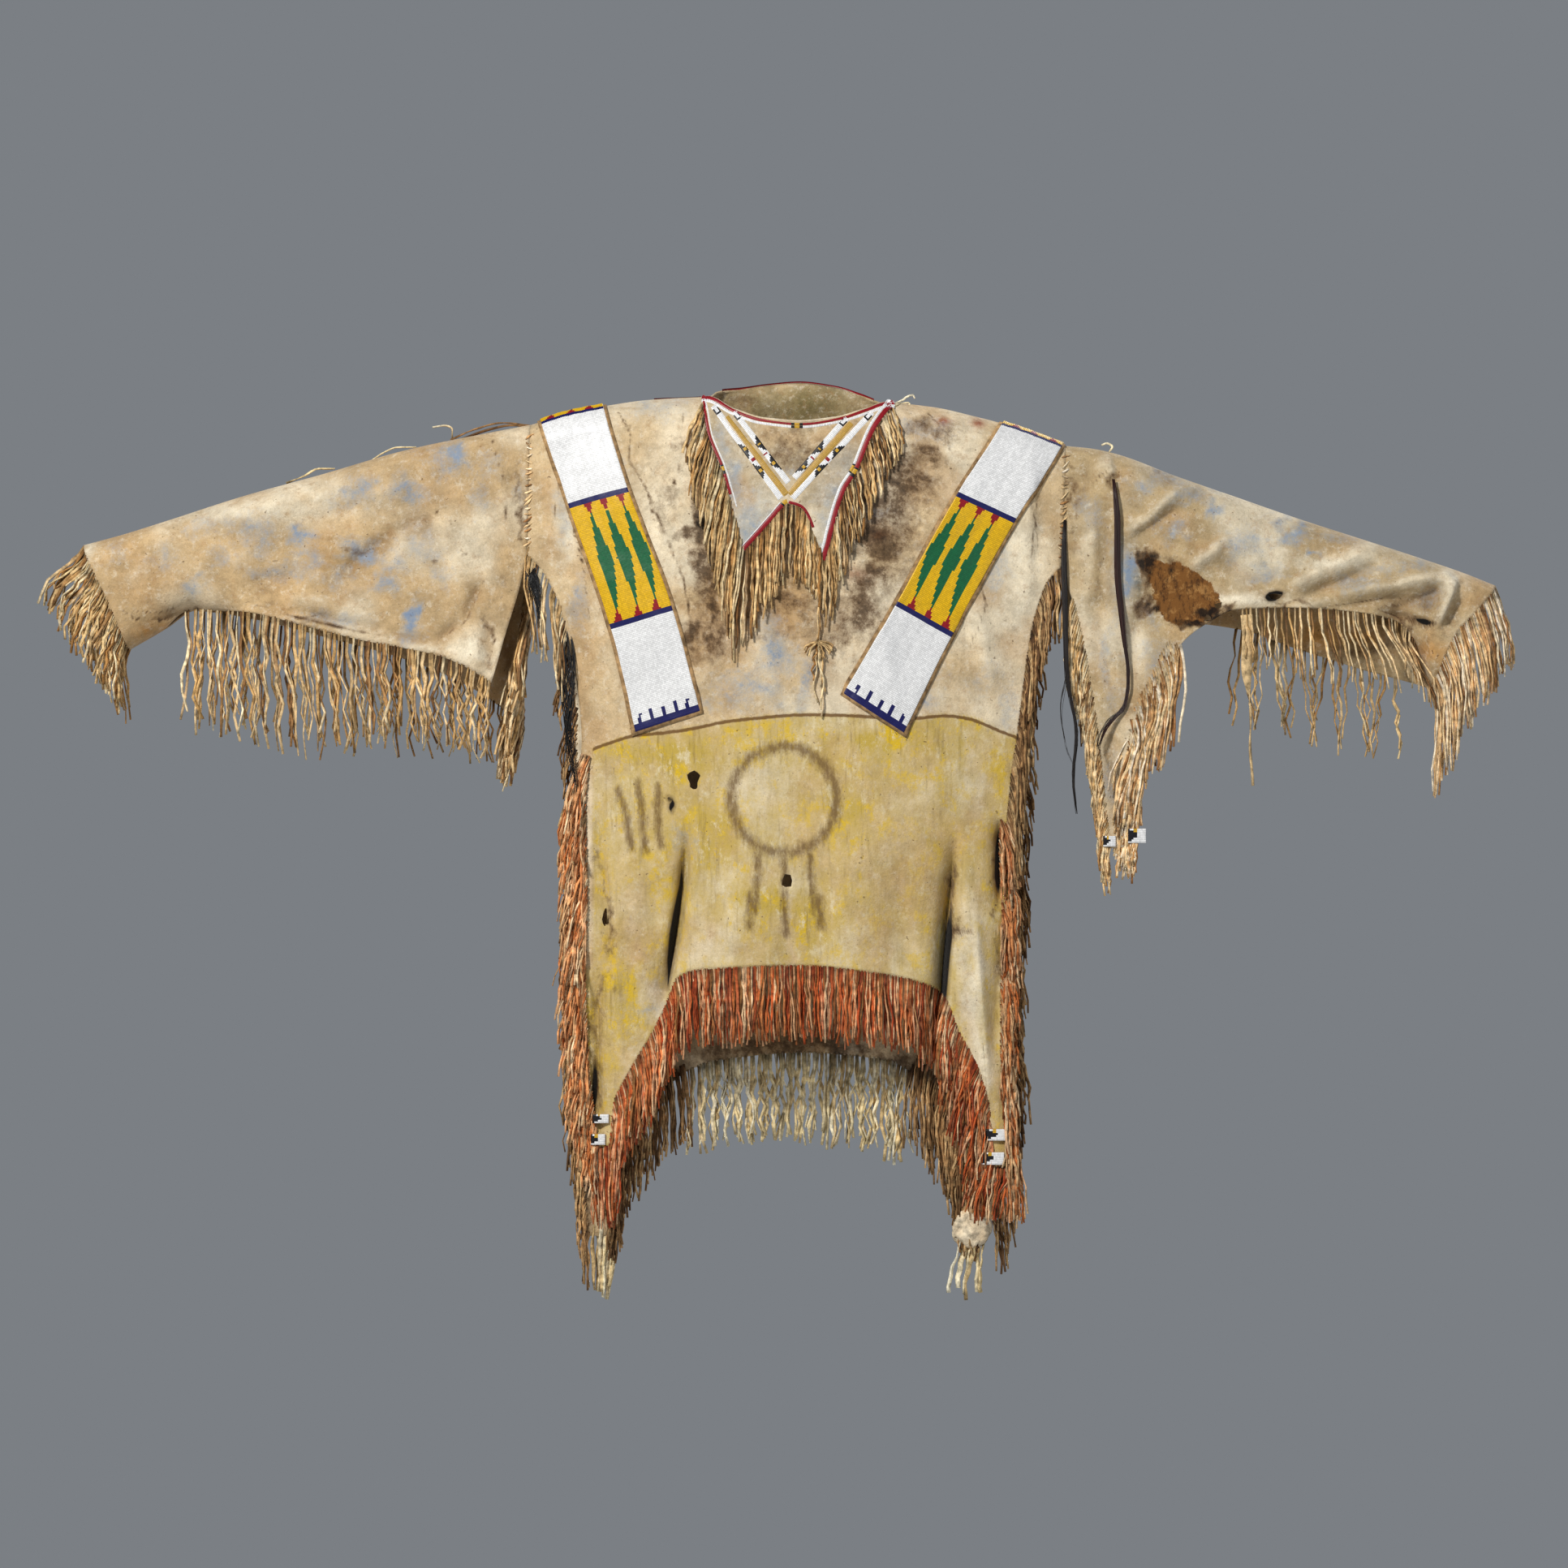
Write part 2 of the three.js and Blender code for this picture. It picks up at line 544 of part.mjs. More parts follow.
addFlap("back", back, {
  left: [{ x: -99 }, { x: -92, z: -34 }, { x: -78, z: -75 }, { x: -66, z: -114 }, { x: -48, z: -168 }],
  right: [{ x: 114 }, { x: 104, z: -34 }, { x: 92, z: -75 }, { x: 80, z: -114 }, { x: 62, z: -168 }],
  bottom: [
    { x: -48, z: -168 }, { x: -24, z: -140 }, { x: 7, z: -116, corner: true }, { x: 38, z: -140 },
    { x: 62, z: -168 },
  ],
}, [
  { x: -104, z: -6 }, { x: -112, z: -40 }, { x: -114, z: -100 }, { x: -104, z: -170 }, { x: -66, z: -232 },
  { x: -30, z: -214 }, { x: 7, z: -186 }, { x: 44, z: -214 }, { x: 80, z: -232 }, { x: 118, z: -170 },
  { x: 128, z: -100 }, { x: 127, z: -40 }, { x: 120, z: -10 }, { x: 7, z: -60 },
]);

// A beaded strip runs from the front hide over the shoulder and as far down the back hide.
function addStrip(name, outline) {
  const layer = layerOverShoulder(front, stripWall).add(layerOverShoulder(back, stripWall));
  addSolid(name, layer.intersect(prismOver(grown(outline, stripBorder))), colours.beads, 0.35);
}
addStrip("strip_right", [
  { x: -283, z: 8 }, { x: -275, z: -16 }, { x: -246, z: -109 }, { x: -199, z: -245 }, { x: -171, z: -362 },
  { x: -99.5, z: -339 }, { x: -132, z: -220 }, { x: -181, z: -89.5 }, { x: -208, z: -3 }, { x: -214, z: 16 },
]);
addStrip("strip_left", [
  { x: 312, z: -26 }, { x: 300.6, z: -47 }, { x: 239.4, z: -141 }, { x: 174.6, z: -259 }, { x: 123, z: -363 },
  { x: 57, z: -320 }, { x: 111.6, z: -226 }, { x: 178, z: -107 }, { x: 234, z: -19 }, { x: 248, z: 4 },
]);

// ---- cut fringe ----

// An edge of a hide's grid as points with the share of the way along it, and the point just inside each.
function edgeOf({ grid }, edge) {
  const last = grid.length - 1;
  const lines = {
    left: grid.map((row) => [row[0], row[1]]),
    right: grid.map((row) => [row.at(-1), row.at(-2)]),
    bottom: grid[last].map((point, j) => [point, grid[last - 1][j]]),
  };
  const line = lines[edge];
  return line.map(([point, inside], i) => ({ point, inside, run: i / (line.length - 1) }));
}

// A plain wall over the reach of a run of fringe: from the hide's own edge points down to the tips, which lie
// lean to the side and drop below at the two ends of the run. off moves the tips out from the hide's plane.
function addFringe(name, { on, edge, from, to, lean, drop, off = 0 }, color) {
  const line = edgeOf(on, edge);
  const roots = [];
  const tips = [];
  for (let i = from; i <= to; i++) {
    const { point, inside } = line[i];
    const before = line[Math.max(i - 1, 0)].point;
    const after = line[Math.min(i + 1, line.length - 1)].point;
    const out = new THREE.Vector3(before.z - after.z, 0, after.x - before.x).normalize();
    if (out.x * (point.x - inside.x) + out.z * (point.z - inside.z) < 0) out.negate();
    const root = point.clone().addScaledVector(out, fringeGap);
    const t = (i - from) / (to - from);
    roots.push(root);
    tips.push(root.clone().add(new THREE.Vector3(mix(...lean, t), on.side * off, -mix(...drop, t))));
  }
  const grid = [roots, tips];
  addWall(name, wallOf(grid, normalsOf(grid, on.side), -fringeWall / 2, fringeWall / 2), color, 0.95);
}

const { front: rightFront, back: rightBack } = rightSleeve;
const { front: leftFront, back: leftBack } = leftSleeve;
const redFringe = [
  { name: "hem_front", on: front, edge: "bottom", from: 7, to: 14, lean: [0, 0], drop: [80, 76] },
  { name: "hem_front_right", on: front, edge: "bottom", from: 1, to: 6, lean: [4, 6], drop: [60, 84] },
  { name: "hem_front_left", on: front, edge: "bottom", from: 15, to: 18, lean: [-6, -6], drop: [84, 76] },
  { name: "side_front_right", on: front, edge: "left", from: 9, to: 16, lean: [-18, -12], drop: [30, 40] },
  { name: "side_front_left", on: front, edge: "right", from: 9, to: 16, lean: [14, 12], drop: [30, 40] },
];
const paleFringe = [
  { name: "underarm_right", on: front, edge: "left", from: 6, to: 8, lean: [-3, -8], drop: [66, 70], off: 5 },
  { name: "underarm_left", on: front, edge: "right", from: 6, to: 8, lean: [14, 14], drop: [60, 60], off: 5 },
  { name: "hem_back", on: back, edge: "bottom", from: 6, to: 14, lean: [0, 0], drop: [92, 96] },
  { name: "hem_back_right", on: back, edge: "bottom", from: 2, to: 5, lean: [4, 4], drop: [44, 80] },
  { name: "hem_back_left", on: back, edge: "bottom", from: 15, to: 18, lean: [-4, -4], drop: [84, 44] },
  { name: "side_back_right", on: back, edge: "left", from: 7, to: 16, lean: [-20, -14], drop: [34, 40] },
  { name: "side_back_left", on: back, edge: "right", from: 7, to: 16, lean: [18, 14], drop: [34, 40] },
  {
    name: "sleeve_right_front", on: rightFront, edge: "bottom", from: 3, to: 15,
    lean: [0, 4], drop: [140, 96],
  },
  {
    name: "sleeve_right_back", on: rightBack, edge: "bottom", from: 3, to: 15,
    lean: [0, 0], drop: [124, 70],
  },
  {
    name: "sleeve_right_inner", on: rightBack, edge: "right", from: 5, to: 7,
    lean: [10, 10], drop: [60, 52],
  },
  { name: "cuff_right_front", on: rightFront, edge: "left", from: 1, to: 6, lean: [-50, -4], drop: [66, 94] },
  { name: "cuff_right_back", on: rightBack, edge: "left", from: 1, to: 6, lean: [-50, -4], drop: [66, 94] },
  {
    name: "sleeve_left_front", on: leftFront, edge: "bottom", from: 2, to: 7,
    lean: [0, 0], drop: [110, 130],
  },
  { name: "sleeve_left_back", on: leftBack, edge: "bottom", from: 1, to: 7, lean: [0, 0], drop: [96, 112] },
  { name: "sleeve_left_drop", on: leftFront, edge: "bottom", from: 9, to: 15, lean: [14, 8], drop: [70, 60] },
  { name: "sleeve_left_inner", on: leftFront, edge: "right", from: 5, to: 7, lean: [-8, -2], drop: [70, 60] },
  { name: "cuff_left_front", on: leftFront, edge: "left", from: 1, to: 6, lean: [20, 8], drop: [92, 140] },
  { name: "cuff_left_back", on: leftBack, edge: "left", from: 1, to: 6, lean: [20, 8], drop: [92, 140] },
];
const legTails = [
  { name: "right", on: back, edge: "bottom", from: 0, to: 1, lean: [6, 6], drop: [76, 76] },
  { name: "left", on: back, edge: "bottom", from: 19, to: 20, lean: [-16, -6], drop: [94, 94] },
];
redFringe.forEach((row) => addFringe("fringe_" + row.name, row, colours.red));
paleFringe.forEach((row) => addFringe("fringe_" + row.name, row, colours.fringe));
legTails.forEach((row) => addFringe("tail_" + row.name, row, colours.fringe));

// ---- hair locks and bead tabs ----

const lockWidth = 7;
const lockWall = 4;

// A hanging lock as a flat bar down through points {x, z, out}, out being its distance from the middle plane.
function addLock(name, points) {
  const grid = points.map(({ x, z, out }) =>
    [-0.5, 0.5].map((across) => new THREE.Vector3(x + across * lockWidth, -out, z)),
  );
  addWall(name, wallOf(grid, normalsOf(grid, -1), -lockWall / 2, lockWall / 2), colours.hair);
}
addLock("hair_lock_armhole", [
  { x: 302, z: -89, out: 34 }, { x: 301.5, z: -200, out: 34 }, { x: 303, z: -299, out: 39.5 },
  { x: 315, z: -366, out: 39.5 }, { x: 309, z: -410, out: 39.5 }, { x: 314, z: -444, out: 39.5 },
]);
addLock("hair_underarm", [
  { x: -240, z: -260, out: 38.4 }, { x: -234, z: -330, out: 38.4 }, { x: -231, z: -420, out: 38.4 },
]);

// The lock on the sleeve lies against the front leaf, so it is cut from a layer over that leaf.
const sleeveLockPath = [
  { x: 356, z: -95 }, { x: 359, z: -129 }, { x: 356, z: -179 }, { x: 363, z: -229 }, { x: 369, z: -275 },
  { x: 367, z: -321 }, { x: 351, z: -345 }, { x: 340, z: -372 },
];
const beside = (by) => ({ x, z }) => ({ x: x + by, z });
const sleeveLock = [
  ...sleeveLockPath.map(beside(-lockWidth / 2)), ...sleeveLockPath.map(beside(lockWidth / 2)).reverse(),
];
const leafLayer = layerOn(leftSleeve.front, lockWall);
addSolid("hair_lock_sleeve", leafLayer.intersect(prismOver(sleeveLock)), colours.hair);

const tabWall = 3;
const tabTable = [
  { name: "bead_tab_leg_right_upper", x: -210, z: -788, wide: 18, tall: 10, out: 29.1 },
  { name: "bead_tab_leg_right_lower", x: -213, z: -811, wide: 16, tall: 12, out: 28.1 },
  { name: "bead_tab_leg_left_upper", x: 226, z: -806, wide: 23, tall: 13, out: 27 },
  { name: "bead_tab_leg_left_lower", x: 222, z: -832, wide: 26, tall: 14, out: 28.4 },
  { name: "bead_tab_sleeve_outer", x: 380, z: -476, wide: 20, tall: 16, out: 44.6 },
  { name: "bead_tab_sleeve_inner", x: 350, z: -482, wide: 14, tall: 12, out: 41 },
];
for (const { name, x, z, wide, tall, out } of tabTable) {
  const box = new THREE.BoxGeometry(wide, tabWall, tall).translate(x, -out, z);
  addMesh(name, box, colours.beads, 0.35);
}

export default shirt;
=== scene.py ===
import json
import math
import bpy
import numpy as np
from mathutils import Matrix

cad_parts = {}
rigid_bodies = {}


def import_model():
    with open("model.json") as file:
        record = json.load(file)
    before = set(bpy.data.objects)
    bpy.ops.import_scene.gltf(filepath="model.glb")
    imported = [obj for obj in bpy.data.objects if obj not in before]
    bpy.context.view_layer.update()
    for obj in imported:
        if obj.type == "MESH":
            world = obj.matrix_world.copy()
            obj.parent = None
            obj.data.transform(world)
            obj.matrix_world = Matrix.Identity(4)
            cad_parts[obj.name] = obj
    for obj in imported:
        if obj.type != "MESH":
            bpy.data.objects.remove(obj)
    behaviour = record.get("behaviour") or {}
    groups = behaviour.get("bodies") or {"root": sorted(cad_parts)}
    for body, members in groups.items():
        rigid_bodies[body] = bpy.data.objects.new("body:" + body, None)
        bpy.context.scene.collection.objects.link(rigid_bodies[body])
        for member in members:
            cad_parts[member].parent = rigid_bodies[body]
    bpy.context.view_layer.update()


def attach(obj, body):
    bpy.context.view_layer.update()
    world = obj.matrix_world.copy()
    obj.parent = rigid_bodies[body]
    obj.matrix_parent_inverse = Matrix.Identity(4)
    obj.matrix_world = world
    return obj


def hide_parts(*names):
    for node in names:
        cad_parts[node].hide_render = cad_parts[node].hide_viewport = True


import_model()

mm = 0.001
scene = bpy.context.scene

# in metres, but the sensor in mm; width is what the picture spans at the shirt's middle plane
camera = {"width": 1.7388, "distance": 5.0, "x": -0.008, "z": -0.419, "sensor": 36.0, "clip": 100}


def makeCamera(settings):
    data = bpy.data.cameras.new("camera")
    data.sensor_width = settings["sensor"]
    data.lens = settings["sensor"] * settings["distance"] / settings["width"]
    data.clip_end = settings["clip"]
    holder = bpy.data.objects.new("camera", data)
    holder.location = (settings["x"], -settings["distance"], settings["z"])
    holder.rotation_euler = (math.radians(90), 0, 0)
    scene.collection.objects.link(holder)
    scene.camera = holder


def linear(hexColour):
    # sRGB to linear: c / 12.92 up to 0.04045, else ((c + 0.055) / 1.055) ^ 2.4
    channels = np.array([int(hexColour[i:i + 2], 16) / 255 for i in (1, 3, 5)])
    out = np.where(channels <= 0.04045, channels / 12.92, ((channels + 0.055) / 1.055) ** 2.4)
    return (*(float(v) for v in out), 1.0)


def rgb(hexColour):
    return np.array(linear(hexColour)[:3])


def addNode(tree, kind, values=None, links=None, **settings):
    node = tree.nodes.new(kind)
    for name, value in settings.items():
        setattr(node, name, value)
    for name, value in (values or {}).items():
        node.inputs[name].default_value = value
    for name, source in (links or {}).items():
        tree.links.new(source, node.inputs[name])
    return node


def newMaterial(name):
    material = bpy.data.materials.new(name)
    material.use_nodes = True
    material.node_tree.nodes.clear()
    return material, material.node_tree


def attribute(tree, name, output="Fac"):
    return addNode(tree, "ShaderNodeAttribute", attribute_name=name).outputs[output]


def surface(tree, values, links=None):
    # the shader that each material ends in
    shader = addNode(tree, "ShaderNodeBsdfPrincipled", values, links)
    addNode(tree, "ShaderNodeOutputMaterial", links={"Surface": shader.outputs[0]})


studio = {
    "wall": "#7b7f84",
    "wallStrength": 1.0,
    "floor": "#c9c9c7",
    "floorZ": -2.2,
    "floorRadius": 4.0,
    "aim": (0.0, 0.0, -0.4),
    "lights": [
        {"name": "key", "at": (-2.1, -3.9, 2.3), "size": 0.7, "power": 240, "tint": (1.0, 0.98, 0.945)},
        {"name": "fill", "at": (3.0, -3.2, -0.3), "size": 2.4, "power": 20, "tint": (0.93, 0.96, 1.0)},
        {"name": "rim", "at": (1.6, 2.6, 1.9), "size": 1.6, "power": 60, "tint": (1.0, 1.0, 1.0)},
    ],
}


def makeStudio(settings):
    # the floor is a disc: a fan of points on a circle, far below the shirt
    angle = np.linspace(0, 2 * math.pi, 97)[:-1]
    ring = np.stack([np.cos(angle) * settings["floorRadius"], np.sin(angle) * settings["floorRadius"]], -1)
    mesh = bpy.data.meshes.new("floor")
    mesh.from_pydata([(x, y, settings["floorZ"]) for x, y in ring], [], [tuple(range(len(ring)))])
    floor = bpy.data.objects.new("floor", mesh)
    scene.collection.objects.link(floor)
    paper, tree = newMaterial("mattPaper")
    surface(tree, {"Base Color": linear(settings["floor"]), "Roughness": 0.9})
    mesh.materials.append(paper)
    world = bpy.data.worlds.new("softRoom")
    world.use_nodes = True
    room = world.node_tree.nodes["Background"]
    room.inputs["Color"].default_value = linear(settings["wall"])
    room.inputs["Strength"].default_value = settings["wallStrength"]
    scene.world = world
    scene.view_settings.view_transform = "Standard"
    for row in settings["lights"]:
        data = bpy.data.lights.new(row["name"], "AREA")
        data.shape = "DISK"
        data.size = row["size"]
        data.energy = row["power"]
        data.color = row["tint"]
        lamp = bpy.data.objects.new(row["name"], data)
        lamp.location = row["at"]
        right, back, up = np.array(settings["aim"]) - np.array(row["at"])
        lean = math.atan2(math.hypot(right, back), -up)
        lamp.rotation_euler = (lean, 0, math.atan2(right, -back) + math.pi)
        scene.collection.objects.link(lamp)


makeCamera(camera)
makeStudio(studio)
print("camera and studio made")


def mix(a, b, t):
    return a + (b - a) * t


def smooth(low, high, x):
    # 3t^2 - 2t^3 from low to high
    t = np.clip((np.asarray(x, float) - low) / (high - low), 0, 1)
    return t * t * (3 - 2 * t)


def through(rows):
    # monotone cubic through (at, value) rows: a(1 - r) + b r with r = 3s^2 - 2s^3, plus the end slopes'
    # shares s(1 - s)^2 and s^2(s - 1); a row's slope is the harmonic mean of its two stretches', 0 at a turn
    at, of = np.array(rows, float).T
    slope = np.diff(of) / np.diff(at)
    product = slope[:-1] * slope[1:]
    total = np.where(product > 0, slope[:-1] + slope[1:], 1)
    tangent = np.concatenate([slope[:1], np.where(product > 0, 2 * product / total, 0), slope[-1:]])

    def curve(where):
        t = np.clip(where, at[0], at[-1])
        i = np.clip(np.searchsorted(at, t, side="right") - 1, 0, len(slope) - 1)
        width = at[i + 1] - at[i]
        s = (t - at[i]) / width
        rise = s * s * (3 - 2 * s)
        lead = s * (1 - s) ** 2 * width
        trail = s * s * (s - 1) * width
        return of[i] * (1 - rise) + of[i + 1] * rise + tangent[i] * lead + tangent[i + 1] * trail

    return curve


def runOf(line):
    # distance along a line of points
    steps = np.linalg.norm(np.diff(line, axis=0), axis=1)
    return np.concatenate([[0], np.cumsum(steps)])


def pointsAt(where, run, line):
    # the points of a line at these distances along it, straight between its own points
    return np.stack([np.interp(where, run, line[:, k]) for k in (0, 1)], -1)


def edgeThrough(*arcs):
    # smooth arcs through (x, z) points, end to end, as a function of the share 0 to 1 of their length
    lines = []
    for arc in arcs:
        points = np.array(arc, float)
        run = runOf(points)
        at = np.linspace(0, run[-1], 60 * (len(arc) - 1) + 1)
        lines.append(np.stack([through(np.stack([run, points[:, k]], -1))(at) for k in (0, 1)], -1))
    chord = [runOf(np.array(arc, float))[-1] for arc in arcs]
    starts = np.concatenate([[0], np.cumsum(chord)]) / sum(chord)
    share = np.concatenate([np.linspace(a, b, len(line)) for a, b, line in zip(starts, starts[1:], lines)])
    line = np.concatenate(lines)
    return lambda t: pointsAt(t, share, line)


def between(top, bottom, left, right):
    # Coons patch: top-bottom blend + left-right blend - corner blend
    corners = [edge(np.array(end, float)) for edge in (top, bottom) for end in (0, 1)]

    def flat(u, v):
        a, b = u[..., None], v[..., None]
        cross = mix(mix(corners[0], corners[1], a), mix(corners[2], corners[3], a), b)
        return mix(top(u), bottom(u), b) + mix(left(v), right(v), a) - cross

    return flat


def noise(x, z, size, seed, octaves=3):
    # value noise, 0 to 1: seeded lattice values each size mm, blended by 3t^2 - 2t^3; each octave is half as
    # big and half as strong as the one before
    total = 0.0
    for octave in range(octaves):
        lattice = np.random.default_rng(seed * 97 + octave).random((64, 64))
        step = size / 2 ** octave
        gx, gz = np.asarray(x) / step + 11.3 * (octave + 1), np.asarray(z) / step + 7.7
        ix, iz = np.floor(gx).astype(int), np.floor(gz).astype(int)
        fx, fz = smooth(0, 1, gx - ix), smooth(0, 1, gz - iz)
        low = mix(lattice[ix % 64, iz % 64], lattice[(ix + 1) % 64, iz % 64], fx)
        high = mix(lattice[ix % 64, (iz + 1) % 64], lattice[(ix + 1) % 64, (iz + 1) % 64], fx)
        total = total + mix(low, high, fz) * 0.5 ** octave
    return total / (2 - 0.5 ** (octaves - 1))


def unit(vectors):
    return vectors / np.maximum(np.linalg.norm(vectors, axis=-1, keepdims=True), 1e-9)


def leftOf(tangent):
    # each (x, z) direction turned a quarter to its left
    return np.stack([-tangent[:, 1], tangent[:, 0]], -1)


def meshPiece(name, points, faceSets, material, pointColours=None, faceColours=None, values=None, beadGapShade=None):
    # points in mm; faceSets are arrays of faces, each with one number of corners; beadGapShade darkens every
    # corner of the first set's faces, a painted shade in the crevices between beads
    corners = np.concatenate([faces.ravel() for faces in faceSets])
    sides = np.concatenate([np.full(len(faces), faces.shape[1]) for faces in faceSets])
    used, corners = np.unique(corners, return_inverse=True)
    mesh = bpy.data.meshes.new(name)
    mesh.vertices.add(len(used))
    mesh.vertices.foreach_set("co", (points[used] * mm).astype(np.float32).ravel())
    mesh.loops.add(len(corners))
    mesh.loops.foreach_set("vertex_index", corners.astype(np.int32).ravel())
    mesh.polygons.add(len(sides))
    mesh.polygons.foreach_set("loop_start", np.concatenate([[0], np.cumsum(sides)[:-1]]).astype(np.int32))
    mesh.polygons.foreach_set("use_smooth", np.ones(len(sides), bool))
    if pointColours is not None:
        tint = np.ones((len(used), 4), np.float32)
        tint[:, :3] = pointColours[used]
        mesh.color_attributes.new("tint", "FLOAT_COLOR", "POINT").data.foreach_set("color", tint.ravel())
    if faceColours is not None:
        tint = np.ones((len(corners), 4), np.float32)
        tint[:, :3] = np.repeat(faceColours, sides, axis=0)
        tint[:beadGapShade.size, :3] *= beadGapShade.reshape(-1, 1)
        mesh.color_attributes.new("tint", "FLOAT_COLOR", "CORNER").data.foreach_set("color", tint.ravel())
    for key, array in (values or {}).items():
        mesh.attributes.new(key, "FLOAT", "POINT").data.foreach_set("value", array[used].astype(np.float32))
    mesh.materials.append(material)
    mesh.update(calc_edges=True)
    piece = bpy.data.objects.new(name, mesh)
    scene.collection.objects.link(piece)
    return piece


def gridQuads(rows, columns):
    index = np.arange(rows * columns).reshape(rows, columns)
    return np.stack([index[:-1, :-1], index[1:, :-1], index[1:, 1:], index[:-1, 1:]], -1)


def thicken(piece, thickness):
    wall = piece.modifiers.new("wall", "SOLIDIFY")
    wall.thickness = thickness * mm
    wall.offset = 0


def finishPiece(piece, slot, *nodes):
    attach(piece, "root")
    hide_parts(*nodes)


def triangles(piece):
    counts = np.zeros(len(piece.data.polygons), np.int32)
    piece.data.polygons.foreach_get("loop_total", counts)
    return int((counts - 2).sum()) * (2 if piece.modifiers else 1)


palette = {
    "cream": "#d0b68d", "sand": "#c4a77c", "drab": "#baa27a", "flap": "#c2ae8c", "pale": "#ecdfc4",
    "tan": "#bd996a", "smoke": "#8d6f4b", "umber": "#5d432c", "slate": "#a3a6a6", "olive": "#72663e",
    "rust": "#8f4524", "hairHide": "#7d4c1e", "green": "#1c2a24", "amber": "#c98f45",
}
inLinear = {name: rgb(value) for name, value in palette.items()}


